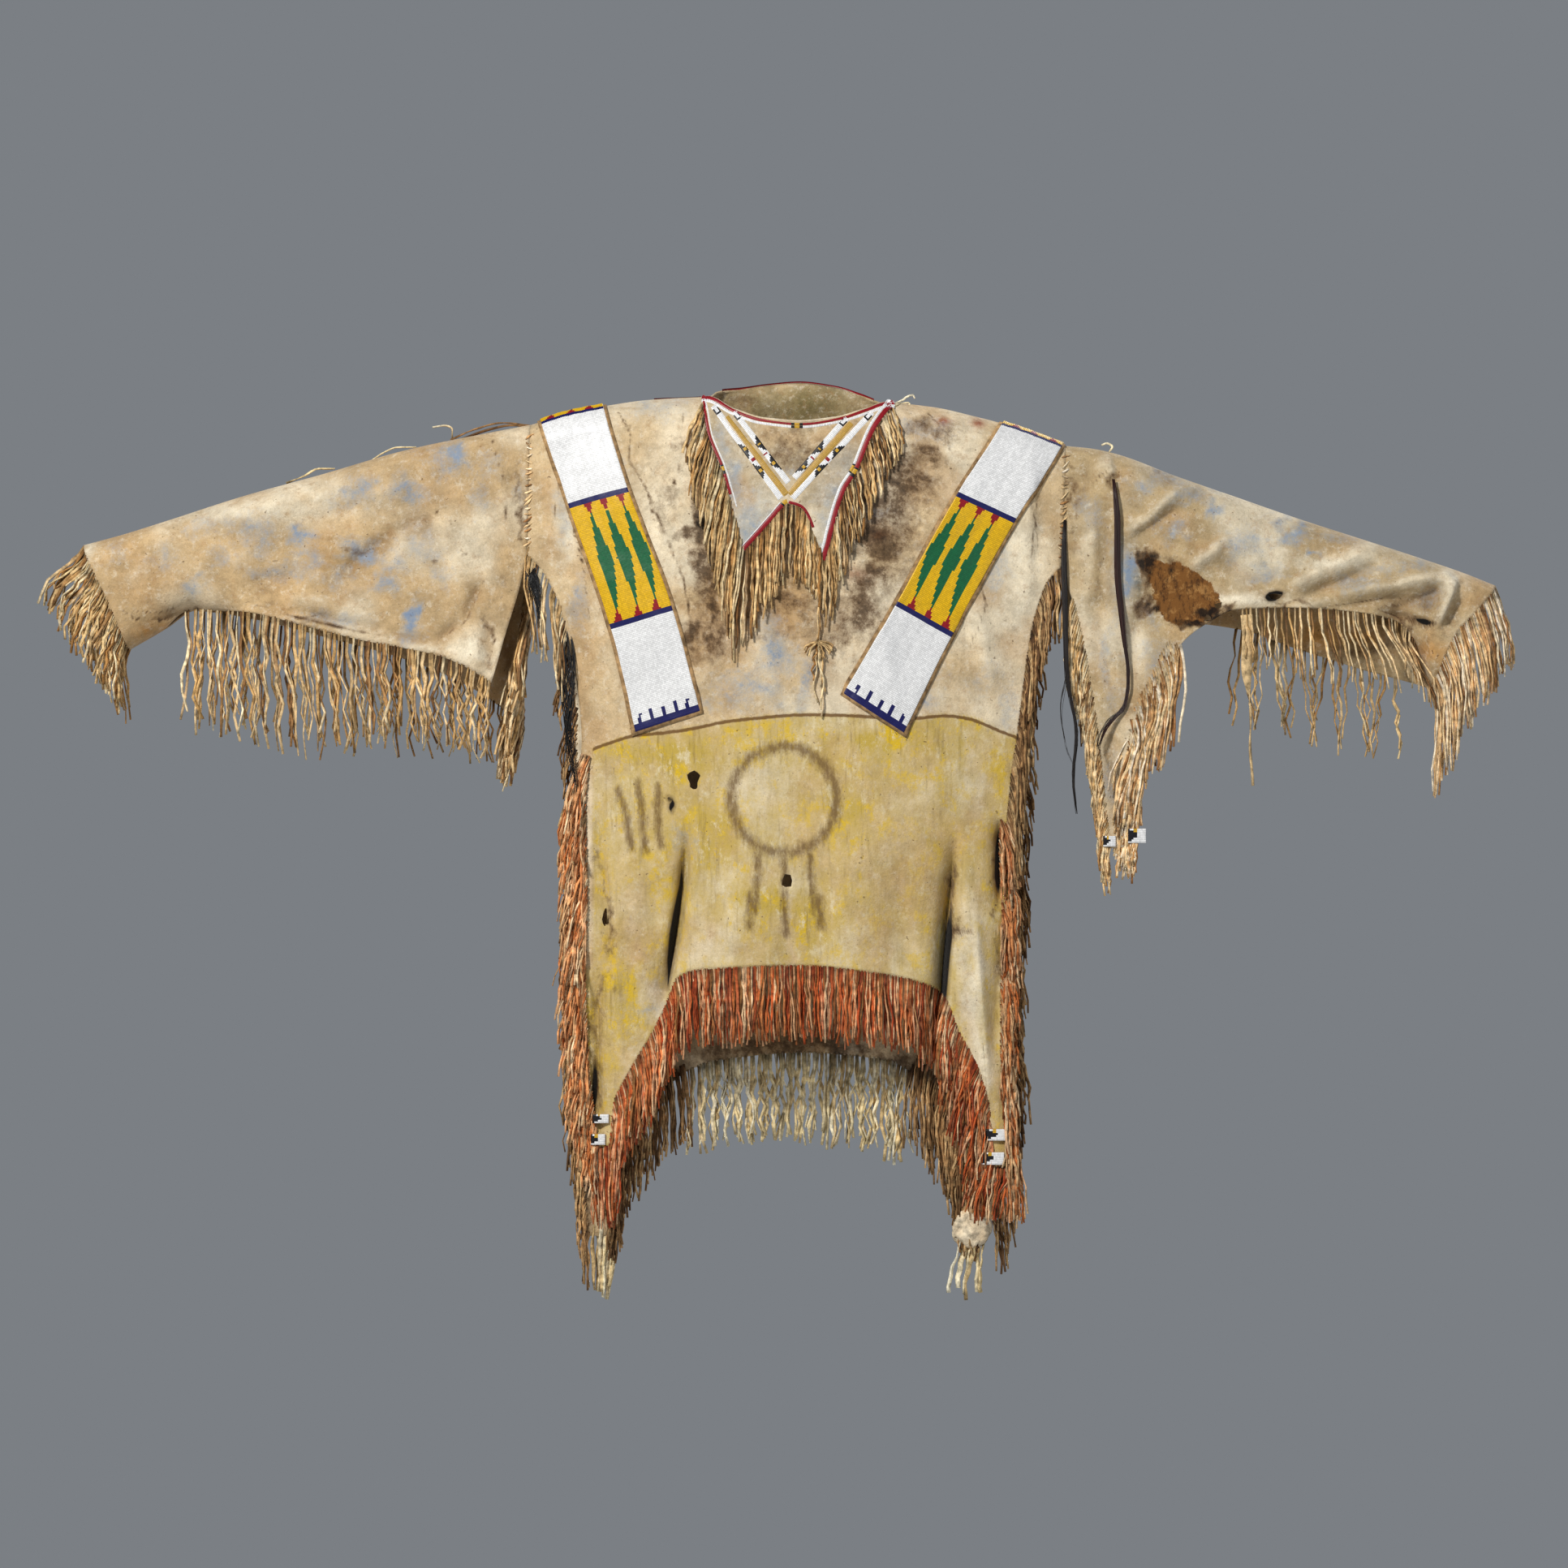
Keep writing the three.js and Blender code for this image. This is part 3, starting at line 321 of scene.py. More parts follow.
def brainTannedHide():
    # brain-tanned, smoked hide: a soft nap with no shine, fine pores, and earth paint rubbed in by hand, so
    # that each colour breaks up along its edge; "ink", "blue", "dirtAndShade" and "paint" say how much of
    # each lies at a point, dirtAndShade being dirt and the painted shade of folds and of the hide under
    # fringes;
    # "seam", "shadowDistance" and "patch" how far it is from a drawn line, from the painted shadow in a
    # fold's depth and from haired skin
    material, tree = newMaterial("brainTannedHide")
    place = addNode(tree, "ShaderNodeTexCoord").outputs["Object"]

    def cloud(scale, detail=5.0, roughness=0.6, stretch=(1, 1, 1)):
        turned = addNode(tree, "ShaderNodeMapping", {"Scale": stretch}, {"Vector": place})
        return addNode(tree, "ShaderNodeTexNoise", {"Scale": scale, "Detail": detail, "Roughness": roughness},
                       {"Vector": turned.outputs[0]}).outputs["Fac"]

    def amount(name):
        return attribute(tree, name)

    def ranged(source, low, high, least=0.0, most=1.0):
        node = addNode(tree, "ShaderNodeMapRange", {1: low, 2: high, 3: least, 4: most}, {0: source})
        return node.outputs[0]

    def summed(a, factor, b):
        # a * factor + b
        return addNode(tree, "ShaderNodeMath", {1: factor}, {0: a, 2: b}, operation="MULTIPLY_ADD").outputs[0]

    def layer(below, colour, share):
        return addNode(tree, "ShaderNodeMix", {"B": linear(colour)}, {"Factor": share, "A": below},
                       data_type="RGBA").outputs[2]

    def times(a, b):
        return addNode(tree, "ShaderNodeMath", links={0: a, 1: b}, operation="MULTIPLY").outputs[0]

    tint = attribute(tree, "tint", "Color")
    broad = cloud(38, 6.0, 0.62)
    fine = cloud(150, 7.0, 0.72)
    nap = cloud(700, 2.0)
    tone = times(ranged(broad, 0.32, 0.68, 0.80, 1.16), times(ranged(fine, 0.3, 0.7, 0.80, 1.17),
                                                              ranged(nap, 0.3, 0.7, 0.90, 1.08)))
    skin = addNode(tree, "ShaderNodeVectorMath", links={0: tint, "Scale": tone}, operation="SCALE").outputs[0]
    skin = layer(skin, "#a07648", ranged(cloud(92, 8.0, 0.78), 0.53, 0.66, 0.0, 0.42))
    skin = layer(skin, "#f4e9d2", ranged(cloud(104, 8.0, 0.78), 0.53, 0.66, 0.0, 0.44))
    paint = amount("paint")
    wash = times(ranged(cloud(47, 8.0, 0.76, (1, 1, 0.6)), 0.36, 0.64, 0.28, 0.80), paint)
    skin = layer(skin, "#c2a64e", wash)
    strong = times(ranged(cloud(41, 8.0, 0.78, (1, 1, 0.75)), 0.525, 0.61, 0.0, 0.75), paint)
    skin = layer(skin, "#dab52a", strong)
    worn = times(ranged(cloud(53, 8.0, 0.78, (1, 1, 0.6)), 0.54, 0.64, 0.0, 0.62), paint)
    skin = layer(skin, "#e3d4ae", worn)
    strands = times(ranged(cloud(190, 4.0, 0.6, (1, 1, 0.1)), 0.54, 0.70, 0.0, 0.32), paint)
    skin = layer(skin, "#7d6538", strands)
    tinted = summed(cloud(150, 8.0, 0.8), 1.7, amount("blue"))
    skin = layer(skin, "#8d9aa6", ranged(tinted, 0.94, 1.60, 0.0, 0.8))
    skin = layer(skin, "#6a88b0", ranged(tinted, 1.30, 1.96, 0.0, 0.66))
    # dirt and painted shade: brown, then near-black where it is strongest
    dirtAndShadeLevel = summed(cloud(115, 8.0, 0.78), 1.6, amount("dirtAndShade"))
    skin = layer(skin, "#60452b", ranged(dirtAndShadeLevel, 1.06, 1.60, 0.0, 0.86))
    skin = layer(skin, "#1a1512", ranged(dirtAndShadeLevel, 1.52, 2.00, 0.0, 0.92))
    rubbed = summed(cloud(210, 7.0, 0.8, (1, 1, 0.35)), 2.2, amount("ink"))
    skin = layer(skin, "#6b5030", ranged(rubbed, 1.30, 2.05, 0.0, 0.80))
    line = addNode(tree, "ShaderNodeMath", links={0: summed(cloud(160, 4.0), 2.4, amount("seam"))},
                   operation="ABSOLUTE").outputs[0]
    skin = layer(skin, "#684622", ranged(line, 2.5, 1.2, 0.0, 0.88))
    # painted shadow in the depths of folds and about holes: brown at the rim, black within
    paintedShadow = amount("shadowDistance")
    skin = layer(skin, "#4a3520", ranged(paintedShadow, 4.0, 0.0, 0.0, 0.6))
    skin = layer(skin, "#100c09", ranged(paintedShadow, 0.9, -0.3))
    haired = ranged(summed(cloud(120, 9.0, 0.8), 20.0, amount("patch")), 19.6, 21.2)
    fur = layer(skin, "#7d5226", haired)
    fur = layer(fur, "#b98a50", times(haired, ranged(cloud(75, 8.0, 0.75), 0.52, 0.62, 0.0, 0.6)))
    dark = ranged(cloud(100, 9.0, 0.8, (1.6, 1, 0.7)), 0.49, 0.60, 0.0, 0.85)
    fur = layer(fur, "#3b2312", times(haired, dark))
    charred = ranged(summed(cloud(140, 8.0, 0.78), 1.6, amount("dirtAndShade")), 1.25, 1.85, 0.0, 0.93)
    fur = layer(fur, "#130e0b", times(haired, charred))
    painted = layer(fur, "#553a22", ranged(cloud(240, 2.0, 0.5), 0.70, 0.76, 0.0, 0.65))
    height = summed(nap, 0.25, summed(fine, 0.7, cloud(320, 4.0, 0.65)))
    bump = addNode(tree, "ShaderNodeBump", {"Strength": 0.6, "Distance": 0.0012}, {"Height": height})
    surface(tree, {"Roughness": 0.9, "Specular IOR Level": 0.2, "Sheen Weight": 0.1, "Sheen Roughness": 0.5},
            {"Base Color": painted, "Normal": bump.outputs[0]})
    return material


def cutThong():
    # thongs cut from the same hide, dry, their colour scaled from 0.42 to 1.42 by noise, so lighter and
    # darker in patches along them
    material, tree = newMaterial("cutThong")
    place = addNode(tree, "ShaderNodeTexCoord").outputs["Object"]
    tint = attribute(tree, "tint", "Color")
    worn = addNode(tree, "ShaderNodeTexNoise", {"Scale": 130, "Detail": 5, "Roughness": 0.65},
                   {"Vector": place}).outputs["Fac"]
    tone = addNode(tree, "ShaderNodeMapRange", {1: 0.34, 2: 0.66, 3: 0.42, 4: 1.42}, {0: worn})
    toned = addNode(tree, "ShaderNodeVectorMath", links={0: tint, "Scale": tone.outputs[0]},
                    operation="SCALE")
    bump = addNode(tree, "ShaderNodeBump", {"Strength": 0.5, "Distance": 0.0008}, {"Height": worn})
    surface(tree, {"Roughness": 0.85, "Specular IOR Level": 0.25},
            {"Base Color": toned.outputs[0], "Normal": bump.outputs[0]})
    return material


def seedBeads():
    # opaque drawn-glass seed beads: a smooth, round, glossy skin, each bead of one solid colour
    material, tree = newMaterial("seedBeads")
    tint = attribute(tree, "tint", "Color")
    surface(tree, {"Roughness": 0.42, "IOR": 1.52, "Specular IOR Level": 0.35}, {"Base Color": tint})
    return material


def horseHair():
    # coarse dark hair: round strands with a soft shine along them
    material, tree = newMaterial("horseHair")
    tint = attribute(tree, "tint", "Color")
    surface(tree, {"Roughness": 0.45, "Specular IOR Level": 0.5}, {"Base Color": tint})
    return material


hideSkin = brainTannedHide()
thongSkin = cutThong()
beadSkin = seedBeads()
hairSkin = horseHair()
print("materials made")


def spotted(x, z, spots, seed):
    # soft patches: strength * exp(-r^2.3) * ragged noise, the largest counting; x and z are first pushed
    # about by coarse and fine noise, which makes the patches' outlines ragged
    def pushed(along, first):
        coarse, fine = noise(x, z, 30, first, 4) - 0.5, noise(x, z, 9, first + 1, 2) - 0.5
        return along + 34 * coarse + 14 * fine

    px, pz = pushed(x, seed + 60), pushed(z, seed + 62)
    amount = np.zeros_like(x)
    for k, (sx, sz, wide, tall, strength) in enumerate(spots):
        away = ((px - sx) / wide) ** 2 + ((pz - sz) / tall) ** 2
        ragged = mix(0.6, 1.4, noise(px, pz, 12, seed + k))
        amount = np.maximum(amount, strength * np.exp(-(away ** 1.15)) * ragged)
    return amount


# these rows are dirt and, in folds and under fringes, painted shade, laid on by the material; each name's
# strength there
dirtAndShadeOf = {"umber": 1.02, "char": 1.35, "smoke": 0.7}


def stainedAndHighlit(x, z, base, stainsAndShading, seed):
    # the hide's own colour, cloudy with pale and tan, with each listed mark mixed over it, a stain, and on
    # some
    # ridges a pale painted highlight: strength * exp(-r^2) * ragged noise, at most 0.97
    colour = np.broadcast_to(inLinear[base], (*x.shape, 3)).copy()
    colour = mix(colour, inLinear["pale"], (0.7 * smooth(0.45, 0.72, noise(x, z, 90, seed)))[..., None])
    colour = mix(colour, inLinear["tan"], (0.6 * smooth(0.5, 0.75, noise(x, z, 55, seed + 1)))[..., None])
    for k, (sx, sz, wide, tall, name, strength) in enumerate(stainsAndShading):
        if name in dirtAndShadeOf:
            continue
        away = ((x - sx) / wide) ** 2 + ((z - sz) / tall) ** 2
        grain = noise(x, z, max(10, min(wide, tall) * 0.7), seed + 10 + k, 4)
        ragged = mix(0.35, 1.5, smooth(0.25, 0.7, grain))
        share = np.clip(strength * np.exp(-away) * ragged, 0, 0.97)
        colour = mix(colour, inLinear[name], share[..., None])
    return colour


def alongLine(x, z, line):
    # distance from each point to a line of (x, z) points: the least over its stretches
    near = np.full(x.shape, 1e3)
    for (ax, az), (bx, bz) in zip(line, line[1:]):
        dx, dz = bx - ax, bz - az
        t = np.clip(((x - ax) * dx + (z - az) * dz) / (dx * dx + dz * dz), 0, 1)
        near = np.minimum(near, np.hypot(x - ax - t * dx, z - az - t * dz))
    return near


def within(x, z, corners):
    # signed distance to a closed outline: positive inside, where an odd number of its sides lie to the right
    inside = np.zeros(x.shape, bool)
    for (ax, az), (bx, bz) in zip(corners, corners[1:] + corners[:1]):
        crosses = (az > z) != (bz > z)
        inside ^= crosses & (x < ax + (z - az) * (bx - ax) / (bz - az + 1e-9))
    return alongLine(x, z, corners + corners[:1]) * np.where(inside, 1, -1)


def creased(x, z, creases):
    # each crease is a trough or ridge along a slightly bent line: depth * exp(-|distance / width|^1.6), twice
    # as wide on the line's right as on its left, fading at both ends
    out = np.zeros_like(x)
    for x0, z0, x1, z1, wide, deep in creases:
        length = math.hypot(x1 - x0, z1 - z0)
        ax, az = (x1 - x0) / length, (z1 - z0) / length
        run = ((x - x0) * ax + (z - z0) * az) / length
        bend = 0.03 * length * np.sin(3 * np.clip(run, 0, 1) + x0)
        away = ((z - z0) * ax - (x - x0) * az + bend) / wide
        away = np.where(away > 0, away, away * 0.5)
        fade = smooth(-0.15, 0.3, run) * smooth(1.15, 0.7, run)
        out = out + deep * fade * np.exp(-np.abs(away) ** 1.6)
    return out


body = {
    "wall": 2, "roll": 30, "gap": 0.15, "middle": 6, "power": 2.2,
    "neckX": 7.5, "neckHalf": 101, "neckDeep": 50,
    "shoulders": [(-288, -21.6), (-248, -9), (-207, -1), (-157, 6), (-93.5, 9), (108.5, 2.5), (157, -2),
                  (202, -12), (240, -22), (303, -45)],
    "halfWidth": [(0, 296), (180, 290), (260, 258), (370, 243), (900, 240)],  # below the shoulder, half width
    "deep": [(0, 38), (120, 62), (420, 58), (700, 44), (950, 30)],
    "sideDeep": [(0, 30), (230, 30), (420, 24), (900, 20)],
    "rightArmhole": [(-288, -21.6), (-291, -166)],
    "leftArmhole": [(303, -45), (298, -180)],
    "columns": 20, "rows": 16, "spread": 1.6,  # of the solid, whose fringe runs start at its columns and rows
    "neckColumns": [(7, -93.5), (13, 108.5)],  # the columns at the neck's ends and their x
    "crowd": 1.25,
}
sleeveCells = {"columns": 16, "rows": 7, "spread": 1.9}
seams = {"right": -289, "left": 301, "lowEnd": (-215, -185), "near": (8, 40)}
shoulderZ = through(body["shoulders"])
shoulderEnds = body["shoulders"][0][0], body["shoulders"][-1][0]
columnRun = through([(0, 0), *((column, (x - shoulderEnds[0]) / (shoulderEnds[1] - shoulderEnds[0]))
                               for column, x in body["neckColumns"]), (body["columns"], 1)])


def rolled(below, over):
    # a quarter circle from 0 to 1 over a height
    return np.sqrt(1 - (1 - np.clip(below / over, 0, 1)) ** 2)


def atSeam(x, z):
    # 1 along the sewn upper armholes, falling to 0 below them and away from them
    away = np.minimum(np.abs(x - seams["right"]), np.abs(x - seams["left"]))
    return smooth(*seams["lowEnd"], z) * (1 - smooth(*seams["near"], away))


def bodyForm(hide):
    # depth = neck + (hang - neck) * roll, roll being a quarter circle below the top line; hang = mix(middle,
    # side, |x / half|^power) + waves + creases + buckles, the last two fading at the armholes' seams
    topZ = through(sorted(body["shoulders"] + hide["neckline"]))
    halfWidth, middle, side = through(body["halfWidth"]), through(body["deep"]), through(body["sideDeep"])

    def depth(x, z):
        below = np.maximum(0, shoulderZ(x) - z)
        away = np.minimum(1, np.abs((x - body["middle"]) / halfWidth(below)))
        hang = mix(middle(below), side(below), away ** body["power"])
        for x0, z0, x1, z1, wide, deep in hide["waves"]:
            run = np.clip((z0 - z) / (z0 - z1), 0, 1)
            hang = hang + deep * np.sin(math.pi / 2 * run) * np.exp(-((x - mix(x0, x1, run)) / wide) ** 2)
        loose = creased(x, z, hide["creases"]) + buckled(x, z, hide["seed"])
        hang = hang + loose * (1 - atSeam(x, z))
        across = (x - body["neckX"]) / body["neckHalf"]
        neck = np.maximum(body["neckDeep"] * np.sqrt(np.maximum(0, 1 - across ** 2)), body["gap"])
        return neck + (hang - neck) * rolled(topZ(x) - z, body["roll"])

    def topLine(u):
        x = mix(*shoulderEnds, columnRun(u * body["columns"]))
        return np.stack([x, topZ(x)], -1)

    hemX = through([(c, x) for c, x, z in hide["hem"]])
    hemZ = through([(c, z) for c, x, z in hide["hem"]])

    def hemLine(u):
        return np.stack([hemX(u * body["columns"]), hemZ(u * body["columns"])], -1)

    flat = between(topLine, hemLine, edgeThrough(*hide["left"]), edgeThrough(*hide["right"]))
    return {"side": hide["side"], "depth": depth, "flat": flat, "topZ": topZ, **hide,
            "columns": body["columns"], "rows": body["rows"], "spread": body["spread"]}


def buckled(x, z, seed):
    # the soft unevenness of a hide: two sizes of value noise about zero
    return 9 * (noise(x, z, 130, seed, 2) - 0.5) + 3.2 * (noise(x, z, 42, seed + 5, 3) - 0.5)


def sleeveForm(sleeve, leaf):
    # depth = full * roll(below the fold) * (1 - closed * (1 - round)), round rising from the sewn forearm
    # hem, + creases and buckles where the leaf stands away from the other; never under the closed depth
    foldZ = through(sorted(sleeve["fold"]))
    forearmZ = through(sorted(sleeve["frontHem"][:3]))
    full, closed = through(sleeve["full"]), through(sleeve["closed"])

    def depth(x, z):
        below = foldZ(x) - z
        toHem = np.maximum(0, z - forearmZ(x))
        opened = 1 - closed(np.abs(x)) * (1 - rolled(toHem, sleeve["forearmRound"]))
        base = np.maximum(sleeve["closedDepth"], full(np.abs(x)) * rolled(below, body["roll"]) * opened)
        loose = creased(x, z, leaf["creases"]) + buckled(x, z, leaf["seed"])
        free = smooth(6, 24, base) * (1 - atSeam(x, z))
        return np.where(below > 0, np.maximum(base + loose * free, sleeve["closedDepth"]), 0)

    flat = between(edgeThrough(sleeve["fold"]), edgeThrough(leaf["hem"]), edgeThrough(sleeve["cuff"]),
                   edgeThrough(*leaf["inner"]))
    return {"side": leaf["side"], "depth": depth, "flat": flat, **sleeveCells}


def layOn(form, x, z, out):
    # the hide's point at x, z, moved out along its normal (-dDepth/dx, side, -dDepth/dz)
    step, side = 0.6, form["side"]
    deep = form["depth"](x, z)
    slopeX = (form["depth"](x + step, z) - form["depth"](x - step, z)) / (2 * step)
    slopeZ = (form["depth"](x, z + step) - form["depth"](x, z - step)) / (2 * step)
    normal = unit(np.stack([-slopeX, np.full_like(deep, side), -slopeZ], -1))
    return np.stack([x, side * deep, z], -1) + normal * np.asarray(out, float)[..., None]


def cutHoles(x, z, holes):
    # a hole's edge is an ellipse with the radius 1 + 0.16 sin 3a + 0.12 sin 5a, a being the angle; points
    # inside it move out to it, and faces wholly inside go
    inside = np.zeros(x.shape, bool)
    for k, (hx, hz, wide, tall) in enumerate(holes):
        dx, dz = (x - hx) / (wide / 2), (z - hz) / (tall / 2)
        angle, reach = np.arctan2(dz, dx), np.hypot(dx, dz)
        edge = 1 + 0.16 * np.sin(3 * angle + k) + 0.12 * np.sin(5 * angle + 2 * k)
        caught = reach < edge
        pull = np.where(caught, edge / np.maximum(reach, 0.05), 1)
        x, z = np.where(caught, hx + (x - hx) * pull, x), np.where(caught, hz + (z - hz) * pull, z)
        inside |= caught
    keep = ~(inside[:-1, :-1] & inside[1:, :-1] & inside[1:, 1:] & inside[:-1, 1:])
    return x, z, keep


def paintHide(x, z, look):
    # the float layers that the hide's material reads
    blue = spotted(x, z, look["blue"], look["seed"] + 40)
    dark = [(*row[:4], row[5] * dirtAndShadeOf[row[4]]) for row in look["stainsAndShading"] if row[4] in dirtAndShadeOf]
    dirtAndShade = spotted(x, z, dark, look["seed"] + 70)
    ink = np.zeros_like(x)
    for half, line in look.get("strokes", []):
        ink = np.maximum(ink, 1 - 0.7 * alongLine(x, z, line) / half)
    for hx, hz, radius, half in look.get("hoops", []):
        ink = np.maximum(ink, 1 - 0.7 * np.abs(np.hypot(x - hx, z - hz) - radius) / half)
    for half, line in look.get("scuffs", []):
        thin = (1 - alongLine(x, z, line) / half) * mix(0.3, 1.1, noise(x, z, 12, 5))
        dirtAndShade = np.maximum(dirtAndShade, 1.15 * thin)
    # the distance outside the outlines of painted shadow in the depths of folds and about holes
    shadowDistance = np.full_like(x, 20.0)
    for outline in look.get("shadowOutlines", []):
        shadowDistance = np.minimum(shadowDistance, -within(x, z, outline))
    patch = np.zeros_like(x)
    if "patch" in look:
        patch = np.clip(10 + within(x, z, look["patch"]), 0, 40)
    seam, paint = np.full_like(x, 60.0), np.zeros_like(x)
    if "paintLine" in look:
        gap = z - through(look["paintLine"])(x)
        seam = np.where(x > look["paintLine"][0][0], gap, 60.0)
        paint = smooth(1.5, -1.5, gap)
        edge, low = look["bare"]
        paint = paint * np.where(z > low, smooth(edge - 3, edge + 3, x), 1)
        rubbed = np.minimum(spotted(x, z, look["worn"], 24), 0.9)
        paint = paint * (1 + spotted(x, z, look["bright"], 21) - rubbed)
    return {"blue": blue, "ink": np.clip(ink, 0, 1), "seam": np.clip(seam, -60, 60), "paint": paint,
            "dirtAndShade": dirtAndShade, "patch": patch, "shadowDistance": shadowDistance}


def creaseLightAndShade(colours, relief):
    # painted highlight and shade: ridges are painted pale and troughs dark, by the height of the creases in
    # mm
    colours = mix(colours, inLinear["pale"], (0.55 * smooth(1.0, 9.0, relief))[..., None])
    return mix(colours, inLinear["smoke"], (0.6 * smooth(-1.0, -9.0, relief))[..., None])
